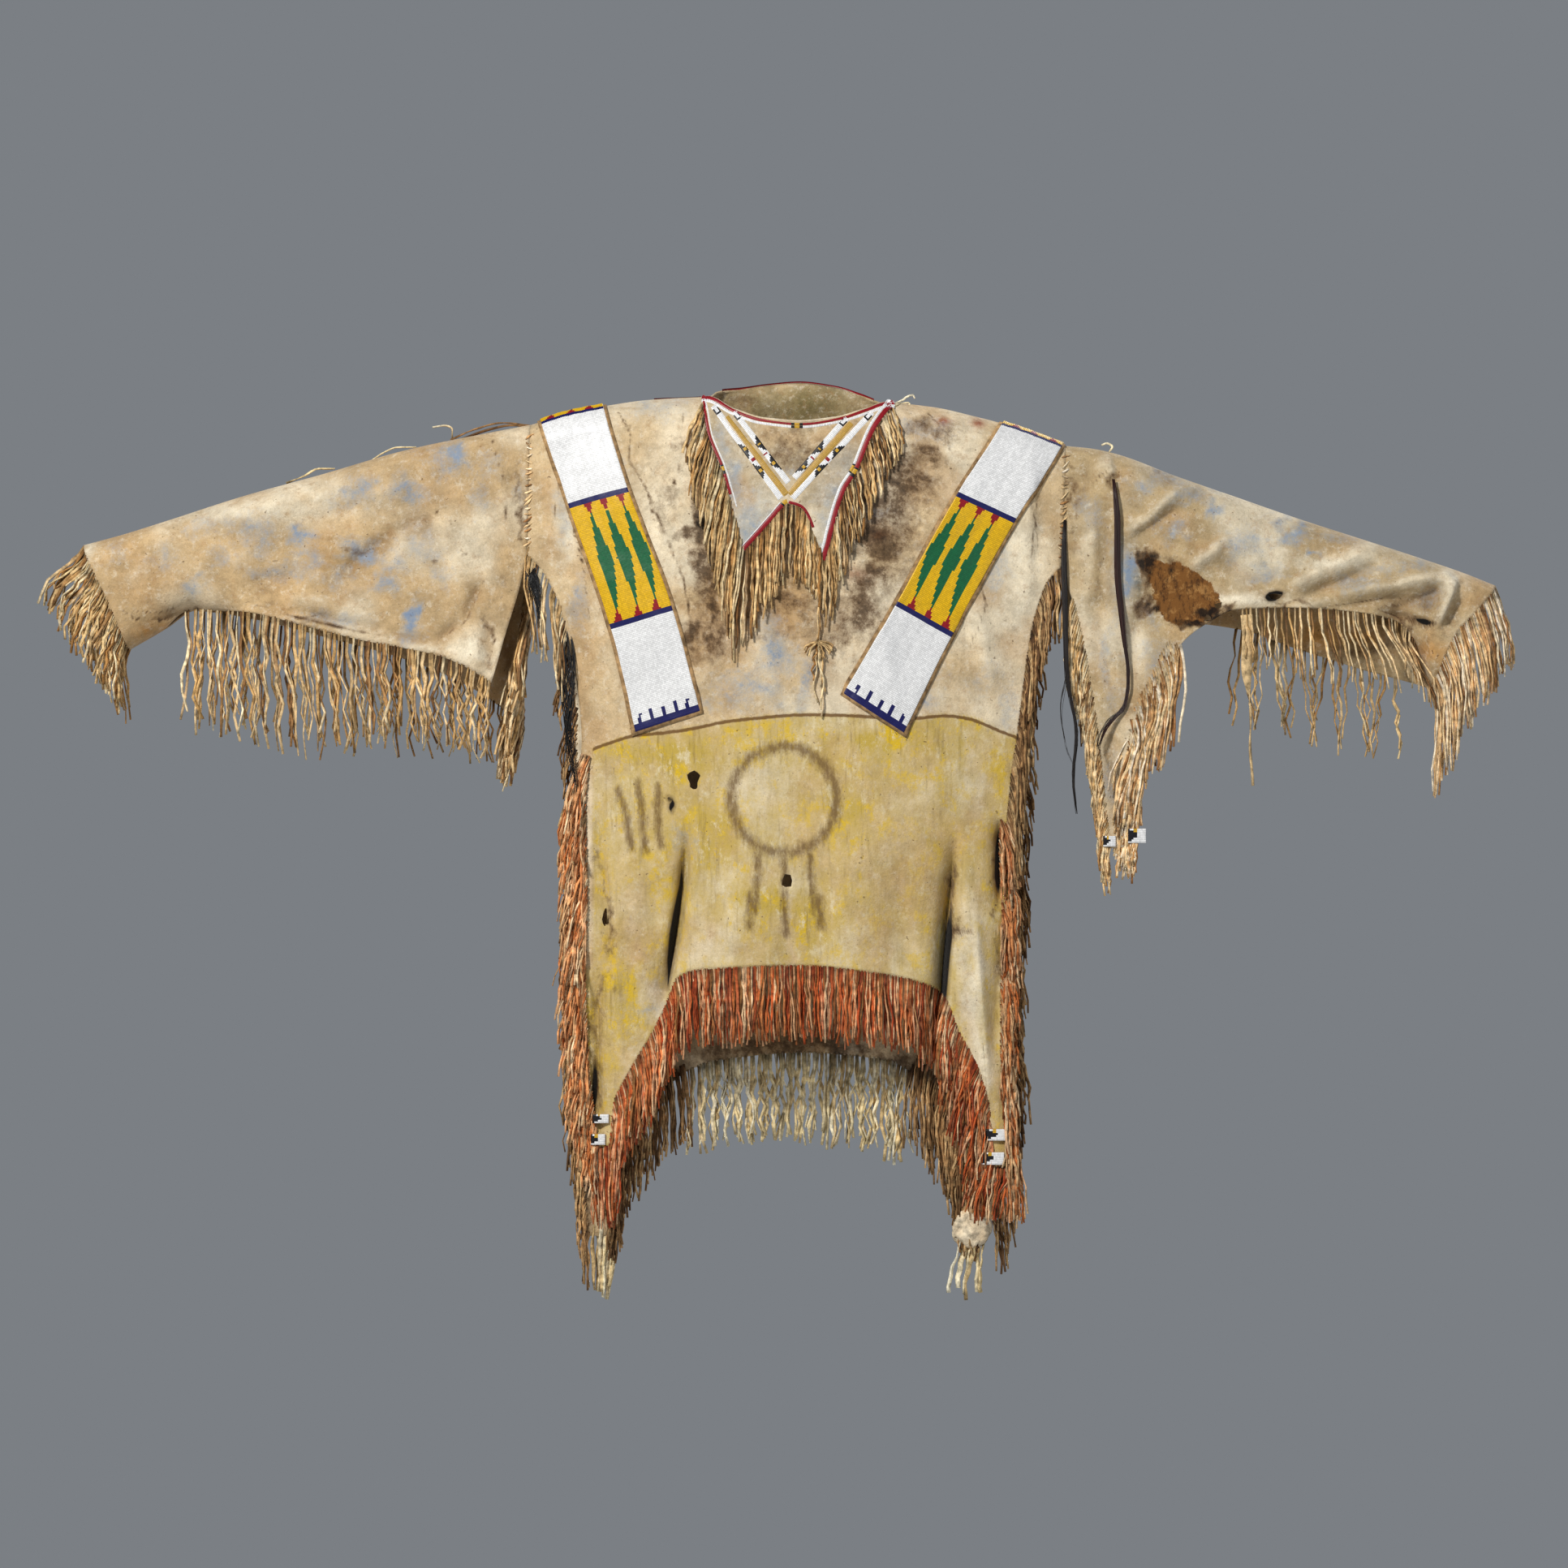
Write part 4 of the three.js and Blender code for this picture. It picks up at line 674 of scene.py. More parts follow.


# the looks' rows, in mm: hem is the solid's column, x and z; creases and waves are x and z of both ends, half
# width and depth; holes, blue, bright, worn and stainsAndShading start with x, z, width and height; scuffs
# and strokes are half a width and a line; hoops are x, z, radius and half a width; shadowOutlines outline the
# painted shadow in the black depths of folds, about small holes and in a small tear; the paint lies below
# paintLine and, above the z of bare, past its x
frontHide = {
    "side": -1, "seed": 3, "neckline": [(-63, -6), (-31, -16), (9, -20), (50, -15), (81, -6)],
    "left": [
        body["rightArmhole"],
        [(-291, -166), (-276, -182), (-256, -220), (-246, -261), (-236, -310), (-231, -370), (-236, -450),
         (-234, -540), (-236, -630), (-233, -720), (-222, -819)]],
    "right": [
        body["leftArmhole"],
        [(298, -180), (282, -198), (265, -252), (255, -324), (249, -371), (243, -414), (238, -480),
         (241, -560), (239, -700), (246, -841)]],
    "hem": [
        (0, -222, -819), (1, -201, -819), (2, -195, -772), (3, -178, -736), (4, -158, -702), (5, -141, -670),
        (6, -124, -632), (7, -96, -623), (10, 9, -619), (13, 110, -630), (14, 136, -636), (15, 166, -650),
        (16, 184, -692), (17, 204, -728), (18, 217, -774), (19, 223, -841), (20, 246, -841)],
    "waves": [
        (-122, -440, -133, -640, 26, -12), (176, -430, 177, -660, 26, -12), (-50, -430, -60, -640, 34, 8),
        (70, -420, 76, -640, 36, 8)],
    "creases": [
        (-116, -482, -138, -650, 4.5, -26), (-108, -478, -127, -648, 9, 6), (175, -490, 171, -690, 4.5, -24),
        (186, -490, 184, -700, 10, 6), (229, -462, 229, -556, 4.5, -18), (231, -540, 230, -720, 6, -9),
        (209, -545, 210, -770, 8, 9), (-205, -490, -204, -640, 5, -9), (-206, -630, -217, -810, 5, -12),
        (-194, -500, -192, -720, 9, 5), (-228, -400, -226, -640, 7, 5), (-160, -500, -150, -700, 14, -5),
        (-75, -470, -84, -630, 12, -4), (30, -480, 38, -625, 14, -4), (120, -500, 128, -630, 12, -4),
        (-20, -560, -16, -625, 8, 3), (-265, -60, -250, -170, 8, 4), (-278, -60, -262, -175, 5, -4),
        (286, -80, 262, -190, 7, -5), (272, -70, 252, -230, 8, 5), (-180, -20, -150, -150, 7, -4),
        (-168, -20, -138, -170, 6, 4), (-150, -20, -120, -150, 12, -3), (150, -20, 120, -180, 14, -4),
        (118, -40, 190, -60, 8, 4), (132, -60, 200, -84, 7, -4), (-60, -250, -120, -330, 10, 4),
        (20, -230, 60, -330, 12, -5), (-30, -200, -20, -340, 14, 5), (80, -200, 120, -330, 12, 4),
        (-200, -250, -180, -350, 9, 4), (200, -210, 230, -330, 9, 5), (190, -230, 214, -340, 7, -5)],
    "holes": [
        (-107, -414, 12.6, 20.7), (-133.5, -437, 6.5, 6), (-130, -446, 5.5, 7), (-205, -567, 8, 19),
        (-4.5, -525, 11, 20)],
    "blue": [
        (-16, -279, 22, 24, 0.62), (16, -314, 12, 26, 0.55), (-45, -318, 28, 22, 0.5),
        (-66, -300, 26, 16, 0.36), (-30, -250, 22, 16, 0.34), (-232, -215, 9, 34, 0.46),
        (226, -180, 14, 34, 0.42), (214, -300, 22, 20, 0.3), (152, -318, 16, 22, 0.42),
        (140, -24, 40, 14, 0.38), (-150, 0, 40, 14, 0.36), (88, -122, 16, 18, 0.5),
        (-196, -90, 12, 30, 0.36), (196, -140, 14, 30, 0.34), (-150, -660, 12, 10, 0.4),
        (-120, -480, 12, 14, 0.3), (244, -330, 10, 26, 0.36), (-250, -120, 14, 40, 0.3),
        (-90, -330, 16, 10, 0.34)],
    "stainsAndShading": [
        (143, -57, 28, 12, "char", 0.62), (120, -68, 22, 16, "char", 0.5), (118, -86, 40, 28, "umber", 0.95),
        (106, -112, 38, 30, "umber", 0.9), (99, -131, 20, 12, "char", 0.6),
        (94, -152, 34, 26, "umber", 0.95), (86, -165, 15, 12, "char", 0.5),
        (86, -186, 30, 22, "umber", 0.95), (76, -206, 26, 20, "umber", 0.85),
        (72, -236, 30, 34, "smoke", 1.1), (54, -254, 26, 30, "smoke", 1.0), (150, -30, 44, 14, "smoke", 0.9),
        (92, -54, 40, 18, "smoke", 1.1), (104, -150, 44, 70, "smoke", 0.85),
        # the smoke row at x -8, z -222 is a painted shade where the flap's fringe ends on the hide
        (-8, -222, 66, 16, "smoke", 1.0), (136, -104, 26, 30, "smoke", 0.7),
        (-20, -250, 60, 16, "smoke", 0.5), (168, -21, 9, 6, "rust", 0.7), (206, -21, 8, 6, "rust", 0.7),
        (93, -145, 14, 8, "rust", 0.7), (72, -190, 14, 8, "rust", 0.5), (126, -30, 30, 10, "smoke", 0.5),
        # the rows here with x from -84 to -140, down to z -290, darken the hide along the flap's left fringe:
        # dirt, and painted shade under its thongs
        (-100, -80, 12, 34, "umber", 1.0), (-98, -132, 13, 32, "umber", 1.1),
        (-114, -142, 10, 14, "umber", 1.0), (-96, -190, 16, 40, "smoke", 1.3),
        (-104, -250, 16, 50, "smoke", 1.2), (-140, -110, 18, 60, "smoke", 0.6),
        (-92, -170, 12, 20, "smoke", 0.9), (-108, -210, 9, 40, "smoke", 0.8),
        (-86, -210, 10, 44, "umber", 0.9), (-84, -262, 9, 30, "umber", 0.8),
        (-116, -262, 10, 26, "smoke", 0.7), (-130, -44, 26, 9, "smoke", 0.5),
        (-108, -290, 9, 26, "smoke", 0.7), (-20, -196, 50, 12, "smoke", 0.8),
        (24, -236, 12, 16, "smoke", 0.6), (-200, -190, 7, 40, "smoke", 0.5),
        (-246, -140, 14, 40, "pale", 0.6), (250, -150, 18, 60, "pale", 0.5),
        (252, -230, 12, 40, "pale", 0.5), (-20, -240, 90, 40, "tan", 0.6), (150, -330, 60, 20, "pale", 0.5),
        # the rows from x 175, z -530 to x -215, z -700 lie in the troughs of folds: painted shade; the row at
        # x 184, z -580 is a brown stain
        (184, -580, 11, 13, "umber", 0.75), (175, -530, 7, 40, "umber", 0.9),
        (180, -570, 6, 26, "smoke", 0.7), (-117, -486, 6, 26, "smoke", 0.5),
        (229, -508, 5, 36, "umber", 0.8), (231, -630, 5, 70, "umber", 0.55),
        (232, -566, 4, 14, "umber", 0.6), (-206, -560, 5, 60, "smoke", 0.9),
        (-204, -660, 6, 50, "umber", 0.5), (-208, -500, 7, 16, "umber", 0.5),
        (-217, -745, 5, 44, "umber", 0.75), (-215, -700, 6, 40, "umber", 0.6),
        (10, -428, 16, 4, "smoke", 0.5), (-222, -800, 14, 24, "umber", 0.5),
        # a pale streak along the ridge near x 209: painted highlight
        (205, -680, 20, 130, "pale", 0.8)],
    "scuffs": [
        (2.6,
         [(-178, -25), (-177, -63), (-156, -101), (-139, -143), (-118, -194), (-112, -230), (-106, -286)]),
        (2.2, [(-190, -10), (-176, -36), (-178, -66), (-158, -96), (-150, -130)]),
        (2.2, [(-252, -80), (-244, -122), (-231, -168), (-226, -197), (-222, -240)]),
        (2.6, [(209, -206), (214, -222), (206, -246), (197, -268)]),
        (2.0, [(262, -108), (268, -130), (272, -160)]), (1.8, [(276, -70), (268, -120), (262, -180)]),
        (1.8, [(-262, -40), (-256, -90), (-262, -140)]), (1.6, [(-120, -5), (-118, -50), (-128, -90)]),
        (2.0, [(150, -10), (176, -40), (168, -80)])],
    "bare": (-219, -620),
    "shadowOutlines": [
        [(-119, -492), (-124, -530), (-130, -558), (-135, -586), (-137.5, -614), (-136, -646),
         (-131, -614), (-127, -586), (-123, -558), (-120, -530)],
        [(177, -556), (171, -586), (168, -623), (164, -669), (168, -679), (172, -650), (175, -614),
         (178, -586)],
        [(229, -460), (225, -492), (224, -520), (228, -544), (232, -516), (231, -483)],
        [(-218, -722), (-221, -762), (-225, -788), (-219, -786), (-215, -762), (-215, -739)],
        [(-136, -433), (-131, -434), (-128, -441), (-131, -450), (-134, -446), (-133, -440)]],
    "bright": [
        (-150, -378, 60, 14, 0.8), (100, -372, 80, 14, 0.7), (-30, -548, 30, 22, 0.7),
        (22, -570, 30, 26, 0.8), (-190, -640, 16, 60, 0.7), (60, -460, 40, 30, 0.5),
        (-90, -480, 30, 40, 0.5), (-120, -395, 30, 14, 0.6)],
    "worn": [
        # the rows at x 197, z -640 and x 206, z -740 thin the paint along the ridge near x 209 as a painted
        # highlight
        (-176, -590, 24, 60, 0.95), (-150, -656, 14, 26, 0.95), (0, -580, 7, 60, 1.0),
        (-96, -596, 30, 34, 0.8), (30, -480, 26, 50, 0.6), (122, -500, 60, 80, 0.62),
        (90, -590, 50, 40, 0.6), (197, -640, 13, 110, 1.0), (-180, -730, 16, 40, 0.7),
        (-40, -420, 40, 26, 0.5), (206, -430, 20, 50, 0.6), (-60, -600, 40, 20, 0.6),
        (206, -740, 14, 70, 1.0), (-200, -400, 16, 20, 0.5)],
    "paintLine": [
        (-219, -380), (-203, -374), (-173, -365), (-133, -361), (-100, -355.5), (-67.5, -349), (22.5, -342),
        (135, -345.6), (170, -343), (196, -346.5), (218, -354.6), (233, -361), (250, -367)],
    "hoops": [(-8, -436, 58, 8.5)],
    "strokes": [
        (5.5, [(-36, -497), (-37, -525), (-40, -560)]), (5.5, [(-8, -502), (-8, -538), (-6, -585)]),
        (5.5, [(20, -497), (22, -525), (25, -560)]), (7.0, [(-44, -540), (-46, -575)]),
        (7.0, [(30, -545), (33, -575)]), (6.0, [(-190, -425), (-182, -452), (-176, -490)]),
        (6.0, [(-168, -418), (-164, -450), (-160, -492)]), (6.0, [(-146, -422), (-146, -452), (-144, -486)])],
}
backHide = {
    "side": 1, "seed": 11, "neckline": [(-81, 18), (-54, 22), (-22, 27), (9, 29.5), (50, 24), (77, 15)],
    "left": [
        body["rightArmhole"],
        [(-291, -166), (-277, -182), (-258, -220), (-249, -270), (-240, -340), (-240, -450), (-243, -600),
         (-241, -740), (-235, -830), (-226, -922)]],
    "right": [
        body["leftArmhole"],
        [(298, -180), (283, -198), (268, -252), (257, -330), (251, -420), (248, -560), (246, -700),
         (240, -820), (224, -904)]],
    "hem": [
        (0, -226, -922), (1, -202, -922), (2, -194, -866), (3, -180, -822), (4, -161, -786), (5, -138, -757),
        (6, -114, -738), (7, -88, -729), (10, 9, -720), (13, 106, -727), (14, 130, -738), (15, 152, -760),
        (16, 168, -794), (17, 182, -834), (18, 192, -868), (19, 200, -904), (20, 224, -904)],
    "waves": [
        (-90, -330, -110, -740, 30, -12), (20, -380, 26, -740, 34, 10), (130, -340, 150, -760, 30, -12)],
    "creases": [
        (-100, -520, -112, -735, 8, -14), (-86, -500, -94, -730, 12, 5), (140, -500, 150, -760, 9, -13),
        (156, -520, 164, -780, 12, 5), (26, -560, 30, -720, 10, -6), (-206, -440, -200, -900, 10, -7),
        (214, -430, 206, -890, 10, -7), (-40, -540, -44, -725, 14, 5), (80, -520, 88, -725, 13, -5),
        (-160, -30, -130, -190, 14, -4), (170, -30, 130, -200, 15, -4), (-268, -60, -250, -180, 9, 4),
        (280, -70, 256, -220, 10, 4), (-120, -230, -30, -260, 18, -4), (20, -250, 120, -220, 16, -4),
        (-180, -360, -80, -400, 20, -4), (60, -390, 190, -350, 18, -4)],
    "holes": [(60, -520, 9, 14), (-150, -610, 7, 11)],
    "blue": [
        (-150, -250, 34, 26, 0.34), (-60, -310, 30, 24, 0.3), (60, -260, 40, 22, 0.34),
        (170, -300, 26, 40, 0.3)],
    "stainsAndShading": [
        (0, -14, 120, 60, "olive", 0.62), (-60, 0, 30, 20, "umber", 0.45), (60, -8, 36, 20, "smoke", 0.5),
        (6, 6, 70, 26, "olive", 0.4), (90, -190, 40, 40, "umber", 0.5), (-120, -170, 30, 60, "smoke", 0.45),
        (-180, -560, 30, 80, "tan", 0.5), (150, -620, 30, 90, "tan", 0.5), (0, -640, 120, 60, "tan", 0.5),
        # the umber rows from here down to x 146, z -650 are painted shade behind the front's fringe and in
        # the back's fold troughs
        (0, -712, 150, 22, "umber", 0.85), (120, -740, 40, 30, "umber", 0.85),
        (150, -780, 14, 50, "umber", 1.0), (172, -840, 14, 60, "umber", 1.0),
        (-130, -750, 40, 30, "umber", 0.9), (-228, -860, 14, 70, "umber", 1.1),
        (-200, -830, 30, 80, "tan", 0.6), (206, -820, 30, 80, "tan", 0.6), (-110, -660, 5, 70, "umber", 0.7),
        (146, -650, 5, 80, "umber", 0.7), (30, -470, 80, 40, "pale", 0.5), (-60, -540, 40, 60, "pale", 0.5),
        (100, -440, 40, 40, "tan", 0.5)],
}
front = bodyForm(frontHide)
back = bodyForm(backHide)


def makeBodyHide(name, form, rows, columns, base):
    # rows crowd towards the shoulder: v = w^crowd; each point is (x, side * depth, z) at the patch's x, z
    u, v = np.meshgrid(np.linspace(0, 1, columns), np.linspace(0, 1, rows) ** body["crowd"])
    flat = form["flat"](u, v)
    x, z, keep = cutHoles(flat[..., 0], flat[..., 1], form["holes"])
    points = np.stack([x, form["side"] * form["depth"](x, z), z], -1)
    colours = creaseLightAndShade(stainedAndHighlit(x, z, base, form["stainsAndShading"], form["seed"]), creased(x, z, form["creases"]))
    layers = paintHide(x, z, form)
    return hidePiece(name, points, gridQuads(rows, columns)[keep], colours, layers, body["wall"])


def hidePiece(name, points, quads, colours, layers, wall):
    # a grid of points as a thin skin; its area is half the cross product of each cell's diagonals, summed
    layers = {key: array.ravel() for key, array in layers.items()}
    piece = meshPiece(name, points.reshape(-1, 3), [quads], hideSkin, colours.reshape(-1, 3), values=layers)
    thicken(piece, wall)
    across = np.cross(points[1:, 1:] - points[:-1, :-1], points[1:, :-1] - points[:-1, 1:])
    print(name, "area", round(float(np.linalg.norm(across, axis=-1).sum()) / 2 * mm * mm, 4), "square metres")
    return piece


frontPiece = makeBodyHide("frontHidePanel", front, rows=184, columns=178, base="cream")
finishPiece(frontPiece, "hide_ochre", "front")
backPiece = makeBodyHide("backHidePanel", back, rows=130, columns=110, base="cream")
finishPiece(backPiece, "hide", "back")
print("front and back made", triangles(frontPiece), triangles(backPiece))


rightSleeve = {
    "base": "sand", "closedDepth": 1.5, "forearmRound": 50,
    "fold": [
        (-783, -155), (-742, -144), (-697, -130), (-607, -101), (-517, -76), (-427, -50), (-337, -31),
        (-288.3, -21.6)],
    "cuff": [(-783, -155), (-768, -189), (-751, -225), (-735, -270)],
    "frontHem": [(-735, -270), (-697, -248), (-663, -226)],
    "closed": [(600, 0), (672, 1), (740, 1), (783, 0.8)],
    "full": [(288, 30), (400, 44), (600, 42), (783, 36)],
    "front": {
        "side": -1, "seed": 21,
        "hem": [
            (-735, -270), (-697, -248), (-663, -226), (-607, -229), (-517, -250), (-472, -261), (-391, -277),
            (-355, -292), (-330, -308)],
        "inner": [
            [(-288.3, -21.6), (-291.3, -166)], [(-291.3, -166), (-300, -205), (-312, -245), (-330, -308)]],
        "creases": [
            (-500, -190, -430, -140, 10, -8), (-430, -140, -390, -128, 9, -5),
            (-600, -200, -540, -190, 9, -5), (-560, -215, -500, -215, 8, 5), (-540, -228, -440, -250, 5, -6),
            (-440, -254, -394, -262, 5, -6), (-394, -262, -362, -240, 6, -7),
            (-362, -242, -338, -196, 6, -8), (-352, -236, -328, -180, 7, 5), (-336, -230, -332, -300, 6, -6),
            (-346, -250, -342, -300, 6, 5), (-596, -226, -470, -250, 4, 4), (-700, -236, -650, -222, 5, -8),
            (-690, -246, -655, -234, 4, 5), (-640, -120, -540, -110, 12, 5), (-420, -90, -380, -200, 14, -5),
            (-330, -60, -318, -180, 6, -4), (-306, -70, -300, -190, 5, 4), (-320, -50, -310, -160, 5, 4),
            (-740, -200, -700, -170, 10, 4), (-540, -130, -470, -110, 10, -4),
            (-620, -180, -590, -160, 8, 4), (-480, -110, -420, -90, 8, 4)],
        "blue": [
            (-385, -64, 26, 20, 0.52), (-370, -60, 14, 12, 0.7), (-424, -101, 24, 18, 0.55),
            (-420, -98, 12, 12, 0.72), (-481, -108, 22, 18, 0.5), (-543, -147, 12, 10, 0.85),
            (-592, -145, 30, 20, 0.42), (-620, -178, 20, 12, 0.34), (-657, -198, 14, 10, 0.6),
            (-474, -166, 24, 12, 0.6), (-410, -160, 26, 16, 0.4), (-418, -236, 9, 18, 0.85),
            (-414, -250, 16, 12, 0.5), (-450, -202, 18, 12, 0.6), (-497, -196, 18, 14, 0.4),
            (-506, -232, 34, 9, 0.5), (-744, -167, 16, 14, 0.36), (-345, -100, 14, 20, 0.36),
            (-530, -168, 16, 14, 0.5), (-560, -186, 40, 14, 0.45), (-470, -92, 18, 14, 0.5),
            (-690, -170, 24, 14, 0.34), (-390, -190, 16, 14, 0.34), (-340, -70, 20, 14, 0.3),
            (-300, -90, 8, 20, 0.3), (-640, -140, 20, 12, 0.3), (-440, -180, 20, 12, 0.42)],
        "stainsAndShading": [
            (-562, -168, 5, 3, "char", 0.6), (-389, -178, 4, 4, "char", 0.6),
            (-391, -128, 7, 4, "umber", 0.75), (-386, -118, 4, 4, "umber", 0.7),
            (-372, -132, 4, 3, "umber", 0.7), (-365, -164, 5, 4, "umber", 0.6),
            (-472, -166, 30, 7, "smoke", 0.85), (-440, -150, 20, 5, "smoke", 0.6),
            # the thin dark rows at x -672 and -706 lie in a crease trough near the cuff: painted shade
            (-700, -250, 34, 9, "amber", 0.6), (-672, -226, 26, 3, "char", 0.6),
            (-706, -232, 24, 2.5, "umber", 0.8), (-690, -252, 30, 6, "smoke", 0.6),
            (-590, -205, 40, 14, "smoke", 0.5), (-560, -222, 36, 8, "smoke", 0.5),
            (-520, -240, 30, 7, "smoke", 0.6), (-350, -240, 6, 40, "smoke", 0.6),
            (-316, -200, 10, 40, "smoke", 0.5), (-600, -120, 120, 16, "pale", 0.6),
            (-346, -276, 26, 26, "pale", 0.9), (-400, -270, 40, 5, "pale", 0.7),
            (-296, -120, 4, 60, "umber", 0.7), (-292, -138, 3, 6, "char", 1.2),
            # the umber row at x -332, z -262 lies in a crease trough: painted shade
            (-520, -100, 60, 20, "pale", 0.5), (-332, -262, 4, 40, "umber", 0.8),
            (-330, -304, 10, 8, "umber", 0.8), (-780, -160, 12, 10, "pale", 0.8)],
        # these lines run along crease troughs and paint shade into them
        "scuffs": [
            (1.8, [(-590, -222), (-530, -240), (-470, -252), (-400, -262)]),
            (1.8, [(-390, -262), (-358, -240), (-338, -196)]),
            (1.6, [(-736, -228), (-700, -230), (-676, -222)]),
            (1.4, [(-330, -40), (-318, -80), (-314, -130)])],
    },
    "back": {
        "side": 1, "seed": 27,
        "hem": [
            (-735, -270), (-697, -248), (-663, -226), (-600, -235), (-517, -256), (-430, -280), (-360, -310),
            (-300, -350)],
        "inner": [
            [(-288.3, -21.6), (-291.3, -166)], [(-291.3, -166), (-298, -220), (-303, -270), (-300, -350)]],
        "creases": [
            (-520, -180, -400, -160, 14, -6), (-380, -200, -350, -300, 10, -6),
            (-560, -120, -450, -110, 14, 4), (-330, -200, -318, -330, 8, -6), (-345, -190, -338, -320, 8, 5),
            (-640, -200, -600, -150, 12, -4)],
        "blue": [
            (-400, -110, 30, 20, 0.45), (-500, -170, 26, 20, 0.45), (-610, -150, 26, 14, 0.4),
            (-440, -230, 24, 16, 0.4), (-360, -180, 20, 30, 0.3)],
        "stainsAndShading": [
            (-450, -150, 80, 30, "tan", 0.5), (-700, -220, 40, 30, "amber", 0.4),
            (-340, -300, 40, 40, "tan", 0.7)],
    },
}
